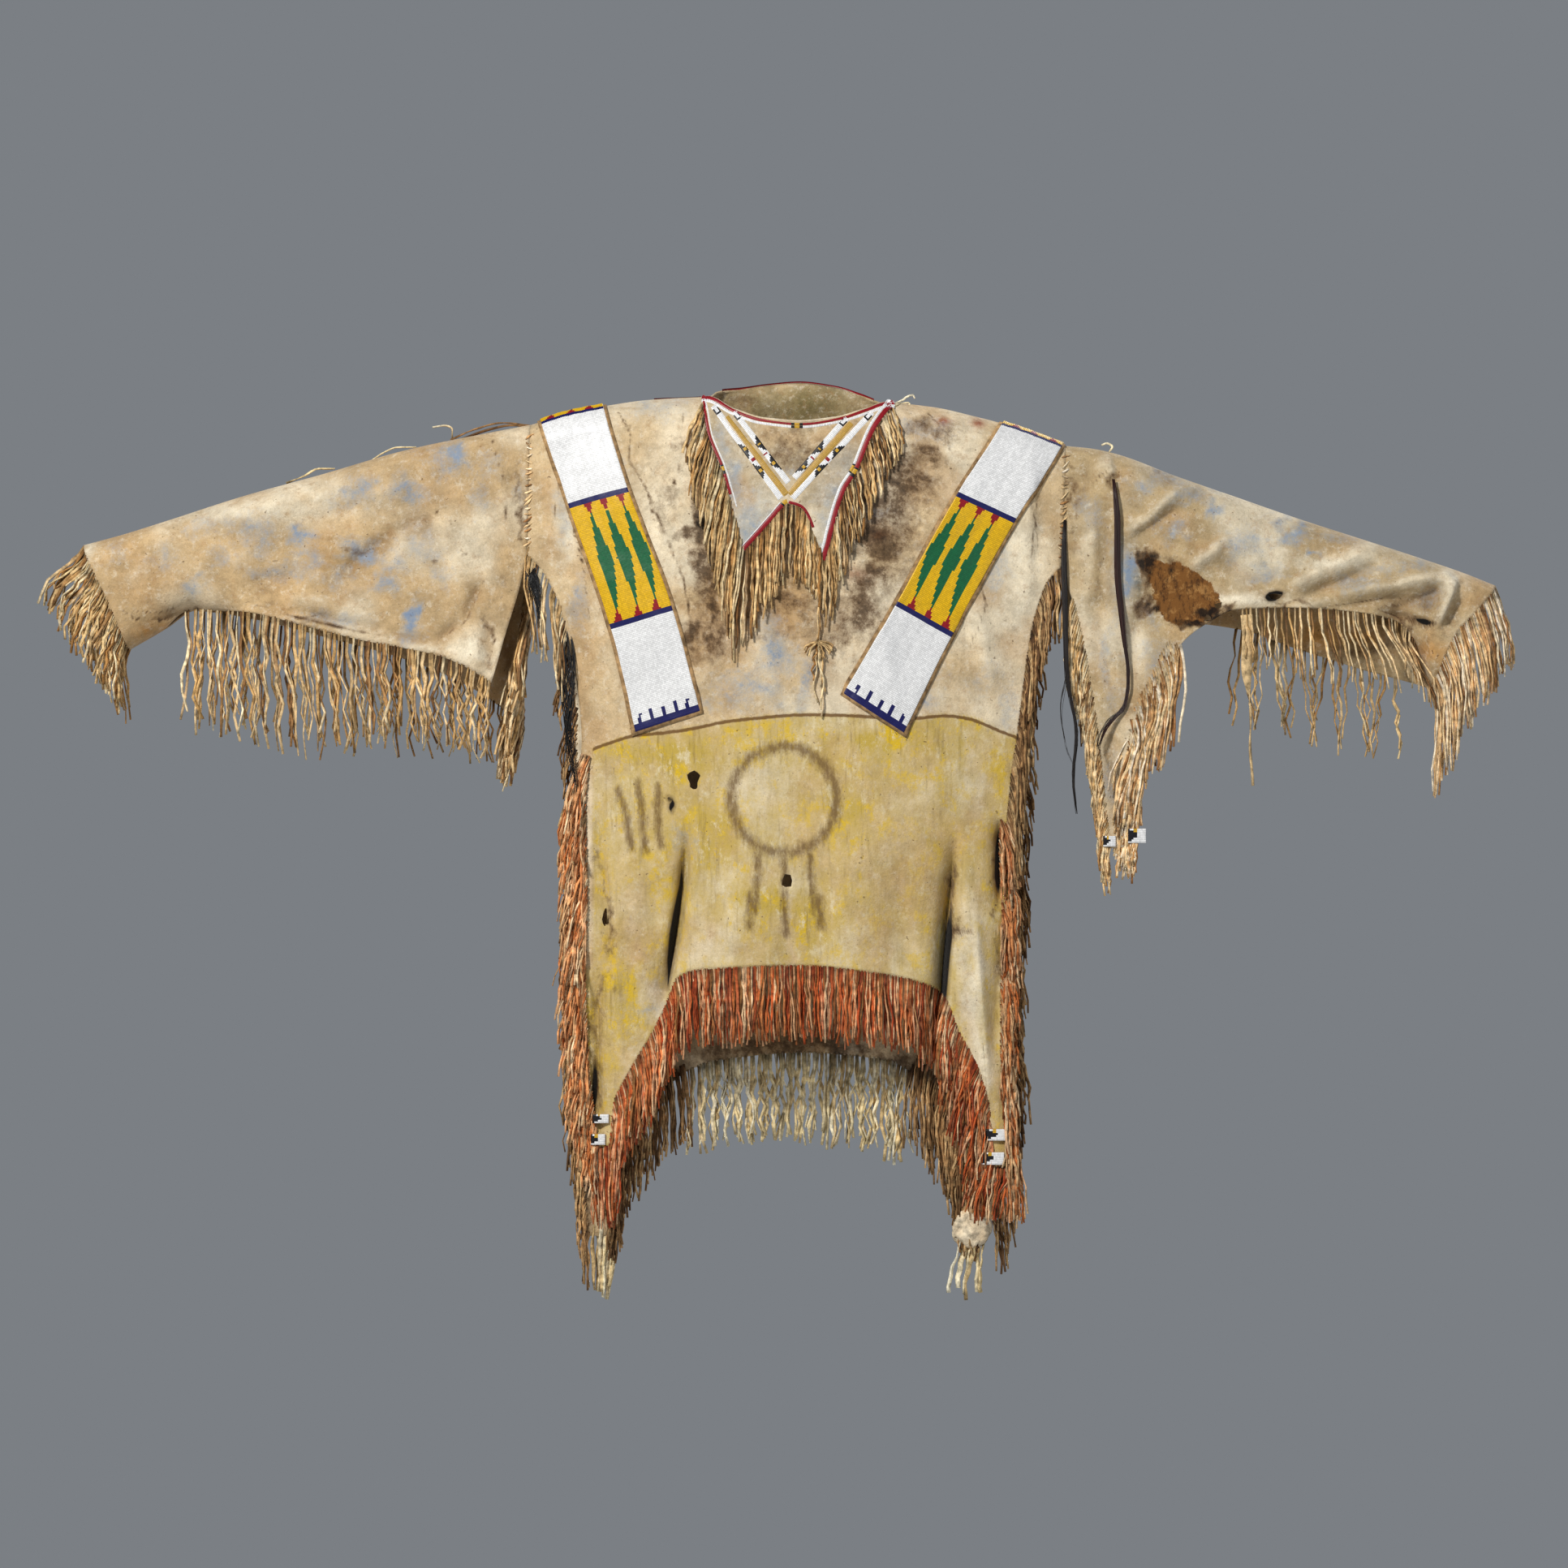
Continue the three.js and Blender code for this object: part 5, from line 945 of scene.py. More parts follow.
leftSleeve = {
    "base": "drab", "closedDepth": 1.5, "forearmRound": 50,
    "fold": [
        (780, -200), (742, -185), (652, -155), (562, -126), (490, -101), (427, -79), (360, -54), (333, -48),
        (303.3, -45)],
    "cuff": [(780, -200), (756, -227), (729, -258), (708, -313)],
    "frontHem": [(708, -313), (694, -272), (670, -240)], "closed": [(640, 0), (706, 1), (740, 1), (783, 0.8)],
    "full": [(303, 30), (400, 42), (600, 42), (783, 36)],
    "front": {
        "side": -1, "seed": 33,
        "hem": [
            (708, -313), (694, -272), (670, -240), (607, -228), (545, -225), (490, -227), (458, -242),
            (430, -264), (410, -302), (388, -351), (381, -420), (376, -486), (350, -490)],
        "inner": [
            [(303.3, -45), (298.3, -180)],
            [(298.3, -180), (312, -225), (326, -290), (337, -370), (350, -490)]],
        "creases": [
            (368, -142, 398, -124, 4.5, 9), (392, -126, 428, -94, 4.5, 9), (374, -150, 430, -112, 6, -6),
            (398, -66, 424, -92, 5, -7), (430, -84, 446, -96, 5, 5), (438, -182, 468, -158, 5, 9),
            (462, -160, 482, -148, 5, 7), (470, -168, 520, -200, 7, -6), (482, -150, 520, -176, 6, 5),
            (548, -200, 586, -183, 7, 9), (580, -184, 646, -158, 7, 9), (560, -210, 650, -176, 7, -7),
            (546, -228, 594, -213, 5, 7), (588, -214, 672, -198, 5, 7), (664, -200, 720, -187, 4.5, 10),
            (600, -226, 690, -212, 6, -7), (660, -228, 716, -200, 6, -7), (718, -186, 732, -200, 4, 9),
            (731, -198, 708, -244, 4.5, 13), (718, -202, 700, -240, 6, -8), (740, -210, 722, -250, 6, -6),
            (650, -228, 706, -244, 4, -8), (330, -110, 322, -240, 8, 6), (344, -100, 340, -330, 7, -6),
            (366, -150, 372, -330, 12, 5), (384, -230, 372, -330, 8, -6), (352, -340, 366, -470, 6, -6),
            (480, -222, 540, -214, 7, 6), (348, -52, 352, -84, 4, 7), (328, -80, 345, -60, 4, 5),
            (316, -70, 312, -150, 5, -5), (308, -169, 334, -140, 5, 4), (334, -60, 322, -120, 5, -5),
            (600, -150, 700, -170, 10, 4), (380, -330, 366, -400, 6, 5), (500, -120, 560, -150, 9, -4)],
        "blue": [
            (466, -118, 14, 12, 0.8), (420, -138, 20, 12, 0.55), (440, -102, 20, 14, 0.5),
            (532, -127, 14, 9, 0.62), (550, -150, 26, 14, 0.55), (558, -146, 14, 8, 0.55),
            (572, -172, 10, 5, 0.75), (521, -194, 30, 9, 0.5), (389, -96, 16, 20, 0.52),
            (370, -186, 15, 30, 0.72), (686, -180, 22, 9, 0.42), (330, -125, 14, 20, 0.38),
            (352, -280, 9, 60, 0.38), (624, -199, 30, 10, 0.45), (400, -280, 20, 16, 0.36),
            (352, -420, 8, 30, 0.5), (500, -160, 26, 20, 0.38), (412, -80, 24, 12, 0.45),
            (480, -90, 20, 9, 0.5), (600, -145, 30, 9, 0.3), (390, -230, 14, 20, 0.4),
            (356, -160, 14, 20, 0.3), (650, -180, 30, 12, 0.34), (705, -215, 14, 14, 0.3)],
        "stainsAndShading": [
            (388, -168, 8, 12, "char", 1.0), (388, -186, 9, 16, "char", 0.9),
            (380, -200, 8, 16, "green", 0.6), (392, -214, 8, 14, "char", 0.8),
            (404, -222, 12, 8, "char", 0.9), (440, -246, 18, 6, "char", 1.1),
            (462, -226, 18, 9, "char", 1.0), (476, -222, 12, 6, "char", 1.0),
            (410, -186, 12, 12, "umber", 0.7), (366, -190, 14, 26, "slate", 0.7),
            # the rows at x 303 and 313 here paint shade into the gap of the armhole's seam
            (357, -92, 6, 10, "umber", 0.7), (303, -100, 3, 40, "umber", 0.7),
            (313, -120, 5, 60, "smoke", 0.6), (620, -128, 90, 6, "smoke", 0.5),
            # the pale rows at x 500 and 600 here, and at x 728 below, lie on crease ridges: painted highlight
            (500, -216, 50, 7, "pale", 0.8), (600, -176, 60, 9, "pale", 0.7),
            (690, -214, 26, 9, "smoke", 0.7), (682, -238, 26, 5, "umber", 0.8),
            (702, -246, 8, 4, "char", 0.8), (716, -250, 26, 30, "smoke", 0.5),
            (700, -276, 26, 22, "amber", 0.45), (700, -268, 26, 26, "smoke", 0.5),
            (366, -420, 16, 60, "pale", 0.6), (466, -234, 14, 4, "umber", 0.8),
            # the thin umber rows at x 556 and 660 lie in crease troughs: painted shade
            (344, -200, 12, 60, "smoke", 0.5), (556, -226, 60, 3, "umber", 0.7),
            (660, -224, 40, 3, "umber", 0.6), (535, -130, 12, 8, "smoke", 0.6),
            (420, -70, 40, 7, "smoke", 0.5), (520, -104, 60, 5, "smoke", 0.5),
            (372, -340, 8, 26, "smoke", 0.5), (350, -300, 6, 60, "smoke", 0.5),
            (728, -195, 14, 14, "pale", 0.8), (770, -210, 14, 14, "smoke", 0.5)],
        # the first and third lines lie in crease troughs and the second along the armhole's seam: painted
        # shade
        "scuffs": [
            (1.6, [(650, -228), (676, -236), (704, -246)]), (1.6, [(302, -60), (300, -100), (298, -150)]),
            (1.6, [(546, -232), (600, -222), (650, -214)]), (1.4, [(352, -40), (350, -70), (330, -90)])],
        "shadowOutlines": [
            [(520, -214), (525, -209), (534, -207), (541, -208.5), (538, -213), (531, -217.5), (524, -218)],
            [(688, -236), (698, -237), (708, -242), (700, -244), (694, -242)]],
        "patch": [
            (388, -166), (398, -170), (412, -176), (428, -174), (446, -186), (462, -198), (470, -212),
            (474, -222), (462, -238), (448, -244), (436, -242), (424, -245), (410, -238), (402, -226),
            (398, -212), (394, -196), (388, -182)],
    },
    "back": {
        "side": 1, "seed": 39,
        "hem": [
            (708, -313), (670, -301), (562, -267), (499, -246), (450, -240), (420, -280), (395, -350),
            (375, -430), (345, -440)],
        "inner": [
            [(303.3, -45), (298.3, -180)],
            [(298.3, -180), (308, -225), (316, -290), (326, -360), (345, -440)]],
        "creases": [
            (400, -150, 500, -170, 14, -6), (560, -190, 660, -180, 12, -6), (560, -170, 660, -160, 12, 5),
            (350, -200, 360, -360, 10, -6), (336, -190, 344, -360, 9, 5), (440, -110, 540, -140, 12, 4)],
        "blue": [
            (420, -130, 24, 20, 0.45), (520, -160, 30, 16, 0.45), (620, -190, 26, 14, 0.4),
            (370, -260, 16, 40, 0.3)],
        "stainsAndShading": [
            (531, -214, 16, 10, "char", 0.7), (600, -250, 90, 22, "amber", 0.6),
            (640, -270, 70, 14, "umber", 0.45), (360, -380, 30, 60, "tan", 0.6),
            (450, -220, 40, 20, "hairHide", 0.7), (520, -230, 60, 20, "tan", 0.6)],
    },
}
sleeves = {"right": rightSleeve, "left": leftSleeve}
leaves = {side: {leaf: sleeveForm(sleeve, sleeve[leaf]) for leaf in ("front", "back")}
          for side, sleeve in sleeves.items()}


def makeSleeve(name, side, rows, columns, holes):
    # one sheet over the fold: the front leaf from its hem up, then the back leaf down; in each v = w^1.5
    parts = []
    for leaf, v in (("front", np.linspace(1, 0, rows)[:-1] ** 1.5), ("back", np.linspace(0, 1, rows) ** 1.5)):
        form, look = leaves[side][leaf], sleeves[side][leaf]
        u, v = np.meshgrid(np.linspace(0, 1, columns), v)
        flat = form["flat"](u, v)
        x, z = flat[..., 0], flat[..., 1]
        kept = np.ones((len(x) - 1, columns - 1), bool)
        if leaf == "front":
            x, z, kept = cutHoles(x, z, holes)
        deep = form["depth"](x, z)
        colours = stainedAndHighlit(x, z, sleeves[side]["base"], look["stainsAndShading"], look["seed"])
        colours = creaseLightAndShade(colours, creased(x, z, look["creases"]))
        parts.append((np.stack([x, form["side"] * deep, z], -1), colours, paintHide(x, z, look), kept))
    points = np.concatenate([part[0] for part in parts])
    colours = np.concatenate([part[1] for part in parts])
    layers = {key: np.concatenate([part[2][key] for part in parts]) for key in parts[0][2]}
    keep = np.concatenate([parts[0][3], np.ones((1, columns - 1), bool), parts[1][3]])
    return hidePiece(name, points, gridQuads(len(points), columns)[keep], colours, layers, body["wall"])


rightPiece = makeSleeve("rightSleeveHide", "right", rows=70, columns=136, holes=[])
finishPiece(rightPiece, "hide", "sleeve_right")
leftPiece = makeSleeve("leftSleeveHide", "left", rows=70, columns=160,
                       holes=[(531, -212.5, 17, 7), (470, -222, 12, 9), (455, -236, 16, 8)])
finishPiece(leftPiece, "hide", "sleeve_left")
print("sleeves made", triangles(rightPiece), triangles(leftPiece))


beadHex = {
    "white": "#fafafa", "navy": "#17195e", "yellow": "#f2c010", "green": "#11693f", "red": "#9c1220",
    "ochre": "#c9a04a", "black": "#15141a", "gold": "#d9a92a",
}
beadInk = {name: rgb(value) for name, value in beadHex.items()}


def beadSheet(base, along, across, high, seed, lane=8):
    # a sheet of beads, two cells to a bead each way: a bead's middle stands high, its edges 0.55 as high and
    # its corners at 0; base(i, j, out) gives points at bead steps i along and j across; lanes bulge a little
    i, j = np.meshgrid(np.arange(2 * along + 1), np.arange(2 * across + 1), indexing="ij")
    odd = (i % 2) + (j % 2)
    rng = np.random.default_rng(seed)
    uneven = 1 + 0.22 * (rng.random(i.shape) - 0.5)
    bulge = 0.35 * high * np.sin(math.pi * ((j / 2 / lane) % 1))
    height = high * np.array([0.0, 0.55, 1.0])[odd] * uneven + bulge
    rim = (i == 0) | (j == 0) | (i == 2 * along) | (j == 2 * across)
    height = np.where(rim, -0.5, height)
    quads = gridQuads(2 * along + 1, 2 * across + 1).reshape(-1, 4)
    # beadGapShade: corners and edges between beads are painted darker, a painted shade in the crevices
    # between them
    beadGapShade = np.array([[0.55, 0.74], [0.95, 1.0]])[i % 2, j % 2].ravel()[quads]
    return base(i / 2, j / 2, height), quads, beadGapShade


def beadShades(names, seed):
    # each bead of its own colour, a little lighter or darker; four faces a bead
    rng = np.random.default_rng(seed)
    colour = np.array(list(beadInk.values()))[names] * mix(0.86, 1.08, rng.random((*names.shape, 1)))
    return np.repeat(np.repeat(colour, 2, axis=0), 2, axis=1).reshape(-1, 3)


beadOf = {name: k for k, name in enumerate(beadInk)}
strips = {
    "long": 1.95, "wide": 1.95, "base": 2.8, "high": 1.3, "border": 3.6, "backing": 1.2, "backingOut": 2.1,
    "bar": 5.0, "lower": 118, "upper": 259, "shoulder": 364, "backBar": 505, "toothTall": 18, "baseBar": 8.5,
    "lozenges": [  # place across at the block's bottom, middle and top
        (0.15, 0.27, 0.31), (0.47, 0.56, 0.57), (0.76, 0.86, 0.85)],
    "lozengeHalf": 0.115, "redHalf": 0.085, "redTall": 0.12,
    "teeth": (0.11, 0.29, 0.47, 0.66, 0.84), "toothHalf": 0.026, "samples": 400,
    "backingRows": 150, "backingColumns": 22,
    "right": {"outer": [(-171, -362), (-199, -245), (-246, -109), (-277, -17.5)],
              "inner": [(-99.5, -339), (-132, -220), (-181, -89.5), (-208, -1.1)], "seed": 5},
    "left": {"outer": [(123, -363), (174.6, -259), (239.4, -141), (300.6, -44.3)],
             "inner": [(57, -320), (111.6, -226), (178, -107), (234, -20.4)], "seed": 9},
}


def stripDesign(a, length, whole):
    # a is 0 to 1 from the outer edge; length runs from the front's base; the back's base mirrors the front's
    names = np.full(a.shape, beadOf["white"])

    def put(where, name):
        names[where] = beadOf[name]

    def block(low, high):
        y = (length - low) / (high - low)
        inside = (y > 0) & (y < 1)
        put(inside, "yellow")
        for bottom, middle, top in strips["lozenges"]:
            centre = through([(0, bottom), (0.5, middle), (1, top)])(y)
            away = np.abs(a - centre)
            reach = np.clip(1.16 * (1 - np.abs(2 * y - 1)) - 0.16, 0, 1)
            put(inside & (away < strips["lozengeHalf"] * reach), "green")
            end = np.minimum(y, 1 - y) / strips["redTall"]
            put(inside & (end < 1) & (away < strips["redHalf"] * (1 - end)), "red")
        for edge in (low, high):
            put(np.abs(length - edge) < strips["bar"] / 2, "navy")

    block(strips["lower"], strips["upper"])
    block(strips["shoulder"], strips["backBar"])
    for rise in (length, whole - length):
        put(rise < strips["baseBar"], "navy")
        for k, place in enumerate(strips["teeth"]):
            beside = np.abs(a - place - 0.0008 * rise) < strips["toothHalf"]
            put((rise < strips["toothTall"] + 1.5 * (k % 2)) & beside, "navy")
    return names


def stripLine(strip):
    # x and z across the strip (0 outer, 1 inner) and along it (0 front base, 1 shoulder, 2 back base)
    outer, inner = edgeThrough(strip["outer"]), edgeThrough(strip["inner"])

    def flat(a, t):
        rise = np.where(t > 1, 2 - t, t)
        place = mix(outer(rise), inner(rise), a[..., None])
        end = mix(outer(np.ones_like(rise)), inner(np.ones_like(rise)), a[..., None])
        lift = shoulderZ(end[..., 0]) - end[..., 1]
        return place[..., 0], place[..., 1] + lift * np.clip(rise, 0, 1) ** 3

    return flat


def onBody(x, z, t, out):
    # on the front hide before the shoulder and on the back hide past it
    return np.where((t > 1)[..., None], layOn(back, x, z, out), layOn(front, x, z, out))


def makeStrip(name, node, strip):
    # rows are spaced evenly along the strip's middle line; the backing is the same sheet, wider and lower
    flat = stripLine(strip)
    samples = strips["samples"]
    t = np.concatenate([1 - np.linspace(1, 0, samples) ** 2, 1 + np.linspace(0, 1, samples)[1:] ** 2])
    middle = onBody(*flat(np.full_like(t, 0.5), t), t, np.full_like(t, strips["base"]))
    run = runOf(middle)
    along = int(round(run[-1] / strips["long"]))
    wide = np.linalg.norm(np.subtract(strip["outer"][1], strip["inner"][1]))
    across = int(round(wide / strips["wide"]))

    def base(i, j, out):
        rise = np.interp(i * run[-1] / along, run, t)
        x, z = flat(j / across, rise)
        return onBody(x, z, rise, strips["base"] + out)

    points, quads, beadGapShade = beadSheet(base, along, across, strips["high"], strip["seed"])
    a, length = np.meshgrid((np.arange(across) + 0.5) / across, (np.arange(along) + 0.5) * run[-1] / along)
    shades = beadShades(stripDesign(a, length, run[-1]), strip["seed"])
    beads = meshPiece(name + "Beads", points.reshape(-1, 3), [quads], beadSkin, faceColours=shades, beadGapShade=beadGapShade)
    finishPiece(beads, "beads", node)
    edge = strips["border"] / wide
    rows = np.interp(np.linspace(0, run[-1], strips["backingRows"]), run, t)
    a, rise = np.meshgrid(np.linspace(-edge, 1 + edge, strips["backingColumns"]), rows)
    x, z = flat(a, rise)
    z = z - strips["border"] * smooth(0.04, 0.0, np.minimum(rise, 2 - rise))
    sheet = onBody(x, z, rise, np.full_like(x, strips["backingOut"]))
    colours = mix(inLinear["tan"], inLinear["umber"], noise(x, z, 9, 7)[..., None] * 0.8)
    backing = meshPiece(name + "Backing", sheet.reshape(-1, 3), [gridQuads(*x.shape).reshape(-1, 4)],
                        thongSkin, colours.reshape(-1, 3))
    thicken(backing, strips["backing"])
    finishPiece(backing, "hide", node)
    print(name, "beads", along, across, "triangles", triangles(beads), "length", round(run[-1]), "mm")


makeStrip("rightStrip", "strip_right", strips["right"])
makeStrip("leftStrip", "strip_left", strips["left"])


frontFlap = {
    "left": [(-93, -34), (-78, -72), (-66, -112), (-51, -164)], "leftX": -99,
    "right": [(91, -33), (72, -78), (59, -99), (37, -175)], "rightX": 114,
    "bottom": [[(-51, -164), (-24, -134), (-5, -112)], [(-5, -112), (10, -117), (26, -149), (37, -175)]],
    "seed": 51, "out": 2.6, "cut": (0.22, 0.19), "area": 0.02,
    "blue": [
        (-62, -92, 12, 26, 0.42), (-42, -120, 16, 22, 0.5), (-48, -146, 10, 14, 0.42),
        (38, -128, 14, 26, 0.42), (52, -92, 8, 16, 0.36), (-84, -40, 8, 20, 0.4), (2, -78, 8, 12, 0.4),
        (30, -160, 8, 12, 0.42)],
    "stainsAndShading": [
        (2, -52, 30, 26, "smoke", 0.95), (10, -30, 50, 9, "smoke", 0.6), (-2, -70, 12, 14, "umber", 0.5),
        (-30, -120, 24, 26, "slate", 0.6), (-70, -70, 16, 40, "slate", 0.6),
        (46, -120, 18, 40, "slate", 0.5), (60, -70, 20, 30, "slate", 0.3), (-48, -140, 14, 20, "slate", 0.6),
        (40, -100, 16, 30, "smoke", 0.45)],
}
backFlap = {
    "left": [(-92, -34), (-78, -75), (-66, -114), (-48, -168)], "leftX": -99,
    "right": [(104, -34), (92, -75), (80, -114), (62, -168)], "rightX": 114,
    "bottom": [[(-48, -168), (-24, -140), (7, -116)], [(7, -116), (38, -140), (62, -168)]], "seed": 57,
    "out": 2.6, "cut": (0.22, 0.21), "area": 0.0294,
    "blue": [(-50, -110, 18, 26, 0.5), (50, -110, 18, 26, 0.5)],
    "stainsAndShading": [
        (0, -40, 50, 30, "smoke", 0.6), (-50, -110, 24, 40, "slate", 0.5), (60, -100, 24, 40, "slate", 0.5)],
}


flapMesh = {"rows": 60, "columns": 72, "wall": 1.8}


def flapForm(form, shape):
    # a Coons patch between the neckline, both side edges and the notched bottom
    def topLine(u):
        x = mix(shape["leftX"], shape["rightX"], u)
        return np.stack([x, form["topZ"](x) - 2], -1)

    ends = topLine(np.array([0.0, 1.0]))
    left = edgeThrough([tuple(ends[0]), *shape["left"]])
    right = edgeThrough([tuple(ends[1]), *shape["right"]])
    bottom = edgeThrough(*shape["bottom"])
    return {"flat": between(topLine, bottom, left, right), "top": topLine, "left": left, "right": right,
            "bottom": bottom}


def flapLift(x, z):
    # how far a flap stands off its hide: a little more at its points, and softly uneven, and none at the neck
    return 1.6 * smooth(-60, -165, z) + 1.2 * noise(x, z, 30, 52, 2) * smooth(0, -30, z)


def makeFlap(name, form, shape, node):
    # the flap lies on the hide: the patch's x, z at a set distance out plus its lift
    flap = flapForm(form, shape)
    rows, columns = flapMesh["rows"], flapMesh["columns"]
    u, v = np.meshgrid(np.linspace(0, 1, columns), np.linspace(0, 1, rows))
    flat = flap["flat"](u, v)
    x, z = flat[..., 0], flat[..., 1]
    points = layOn(form, x, z, shape["out"] + flapLift(x, z))
    colours = stainedAndHighlit(x, z, "flap", shape["stainsAndShading"], shape["seed"])
    quads = gridQuads(rows, columns).reshape(-1, 4)
    piece = hidePiece(name, points, quads, colours, paintHide(x, z, shape), flapMesh["wall"])
    finishPiece(piece, "hide", node)
    return flap, piece


frontFlapForm, frontFlapPiece = makeFlap("frontNeckFlap", front, frontFlap, "neck_flap_front")
backFlapForm, backFlapPiece = makeFlap("backNeckFlap", back, backFlap, "neck_flap_back")

lanes = {
    "bead": 1.8, "high": 1.0, "out": 3.55, "blackHalf": 5.6, "goldHalf": 2.9,
    "vees": [  # start, end, beads across, places of the dark groups, colour, the side their bases stand on
        ((-86, -5), (-11, -107), 4, (60, 88), "white", 0), ((-72, -17), (-5, -103), 4, (), "ochre", 0),
        ((-63, -11), (-3, -90), 4, (46, 72), "white", 1), ((61, -18), (3, -85), 4, (46, 72), "white", 0),
        ((66, -24), (-2, -103), 4, (), "ochre", 0), ((89, -12), (1, -107), 4, (58, 86), "white", 1)],
}


def bandOf(form, line, across, width, paintBy, seed, out):
    # a band of beads along a line of (x, z): rows along it, beads across it, both at the bead's own size
    line = np.array(line, float)
    run = runOf(line)
    along = max(2, int(round(run[-1] / width)))
    spots = np.linspace(0, run[-1], 2 * along + 1)
    centre = pointsAt(spots, run, line)
    square = leftOf(unit(np.gradient(centre, axis=0)))

    def base(i, j, height):
        row = (i * 2).astype(int)
        place = centre[row] + square[row] * ((j - across / 2) * width)[..., None]
        x, z = place[..., 0], place[..., 1]
        return layOn(form, x, z, out + height + flapLift(x, z))

    points, quads, beadGapShade = beadSheet(base, along, across, lanes["high"], seed, across)
    a, length = np.meshgrid(np.arange(across), (np.arange(along) + 0.5) * width)
    return points.reshape(-1, 3), quads, beadShades(paintBy(a, length, run[-1]), seed), beadGapShade


def plain(name):
    return lambda a, length, whole: np.full(a.shape, beadOf[name])


def barred(name, bars):
    # one colour, with black-yellow-black bars at shares of the length
    def paintBy(a, length, whole):
        names = np.full(a.shape, beadOf[name])
        for at in bars:
            away = np.abs(length - at * whole)
            names[away < lanes["blackHalf"]] = beadOf["black"]
            names[away < lanes["goldHalf"]] = beadOf["gold"]
        return names

    return paintBy


def veeLane(name, groups, across, side):
    # one colour; a white lane has a dark outlined mark near its top and two groups of dark triangles with
    # gold middles, their bases on one side, and short red strokes between
    def paintBy(a, length, whole):
        names = np.full(a.shape, beadOf[name])
        if not groups:
            return names
        rise = a if side == 0 else across - 1 - a
        mark = (length > 4) & (length < 11)
        names[mark & ((a == 0) | (a == across - 1) | (length > 9.2))] = beadOf["black"]
        for at in groups:
            away = np.abs(length - at)
            names[(away < 10) & (rise <= (1 - away / 10) * across)] = beadOf["black"]
            names[(away < 1.6) & (rise > 0) & (rise < 3)] = beadOf["gold"]
        names[(np.abs(length - sum(groups) / 2) < 1.2) & (rise > 0)] = beadOf["red"]
        return names

    return paintBy


def inset(line, by):
    # a line moved to its own left by a distance
    line = np.array(line, float)
    return line + leftOf(unit(np.gradient(line, axis=0))) * by


def joined(parts):
    # several grids as one mesh: each one's faces count on from the last one's points
    starts = np.cumsum([0] + [len(part[0]) for part in parts[:-1]])
    points = np.concatenate([part[0] for part in parts])
    quads = np.concatenate([part[1] + start for part, start in zip(parts, starts)])
    return points, quads, *(np.concatenate([part[k] for part in parts]) for k in range(2, len(parts[0])))


def makeFlapBeads(name, form, flap, vees, node):
    # bands inside the flap's edges, then the vees; a flap without vees gets two on the neck's rim instead
    bead, out = lanes["bead"], lanes["out"]
    run = np.linspace(0, 1, 60)
    top, left, right = flap["top"](run), flap["left"](run), flap["right"](run)
    notch = flap["bottom"](run)
    low = int(np.argmax(notch[:, 1]))
    bands = [
        (inset(top, -2.2), 2, barred("red", [0.5])), (inset(top, -5.8), 2, barred("white", [0.5])),
        (inset(left[:39], 2.2), 2, barred("red", [0.75])), (inset(left[:44], 5.2), 1, plain("white")),
        (inset(right, -2.6), 3, barred("red", [0.47])), (inset(right, -6.8), 2, barred("white", [0.46])),
        (inset(notch[:low + 1], 2.6), 3, barred("red", [0.97])),
        (inset(notch[:low - 1], 5.8), 1, plain("white")), (inset(notch[low:45], 2.0), 2, plain("red")),
    ]
    parts = [bandOf(form, line, across, bead, paintBy, 60 + k, out)
             for k, (line, across, paintBy) in enumerate(bands)]
    for k, (start, end, across, groups, colour, side) in enumerate(vees):
        line = mix(np.array(start, float), np.array(end, float), np.linspace(0, 1, 40)[:, None])
        parts.append(bandOf(form, line, across, bead, veeLane(colour, groups, across, side), 80 + k, out))
    if not vees:
        rim = np.stack([top[:, 0], form["topZ"](top[:, 0]) + 0.6], -1)[6:-6]
        parts.append(bandOf(form, rim, 2, bead, plain("red"), 59, -0.5))
        ridge = np.linspace(-152, -100, 30)
        ridge = np.stack([ridge, form["topZ"](ridge) + 0.4], -1)
        parts.append(bandOf(form, ridge, 2, bead, plain("red"), 58, -1.2))
    points, quads, shades, beadGapShade = joined(parts)
    piece = meshPiece(name, points, [quads], beadSkin, faceColours=shades, beadGapShade=beadGapShade)
    finishPiece(piece, "beads", node)
    return piece


frontBeads = makeFlapBeads("frontFlapBeads", front, frontFlapForm, lanes["vees"], "neck_flap_front")
backBeads = makeFlapBeads("backFlapBeads", back, backFlapForm, [], "neck_flap_back")
print("neck flaps made", [triangles(o) for o in (frontFlapPiece, backFlapPiece, frontBeads, backBeads)])


def thongs(paths, width, thick, turn, colours):
    # each point of a path gets a ring of four corners, +-width / 2 across and +-thick / 2 through, turned
    # about the path by turn; the first and last rings are closed
    count, steps = paths.shape[:2]
    along = unit(np.gradient(paths, axis=1))
    across = unit(np.cross(along, np.array([0.02, 1.0, 0.03])))
    upright = np.cross(along, across)
    wide = np.cos(turn)[..., None] * across + np.sin(turn)[..., None] * upright
    deep = np.cross(along, wide)
    signs = np.array([(1, 1), (-1, 1), (-1, -1), (1, -1)]) / 2
    ring = (paths[:, :, None] + signs[:, 0, None] * (width[..., None] * wide)[:, :, None]
            + signs[:, 1, None] * (thick[..., None] * deep)[:, :, None])
    index = np.arange(count * steps * 4).reshape(count, steps, 4)
    turned = np.roll(index, -1, axis=2)
    walls = np.stack([index[:, :-1], turned[:, :-1], turned[:, 1:], index[:, 1:]], -1).reshape(-1, 4)
    caps = np.concatenate([index[:, 0, ::-1], index[:, -1]])
    tint = np.broadcast_to(colours[:, :, None], (count, steps, 4, 3)).reshape(-1, 3)
    return ring.reshape(-1, 3), np.concatenate([walls, caps]), tint


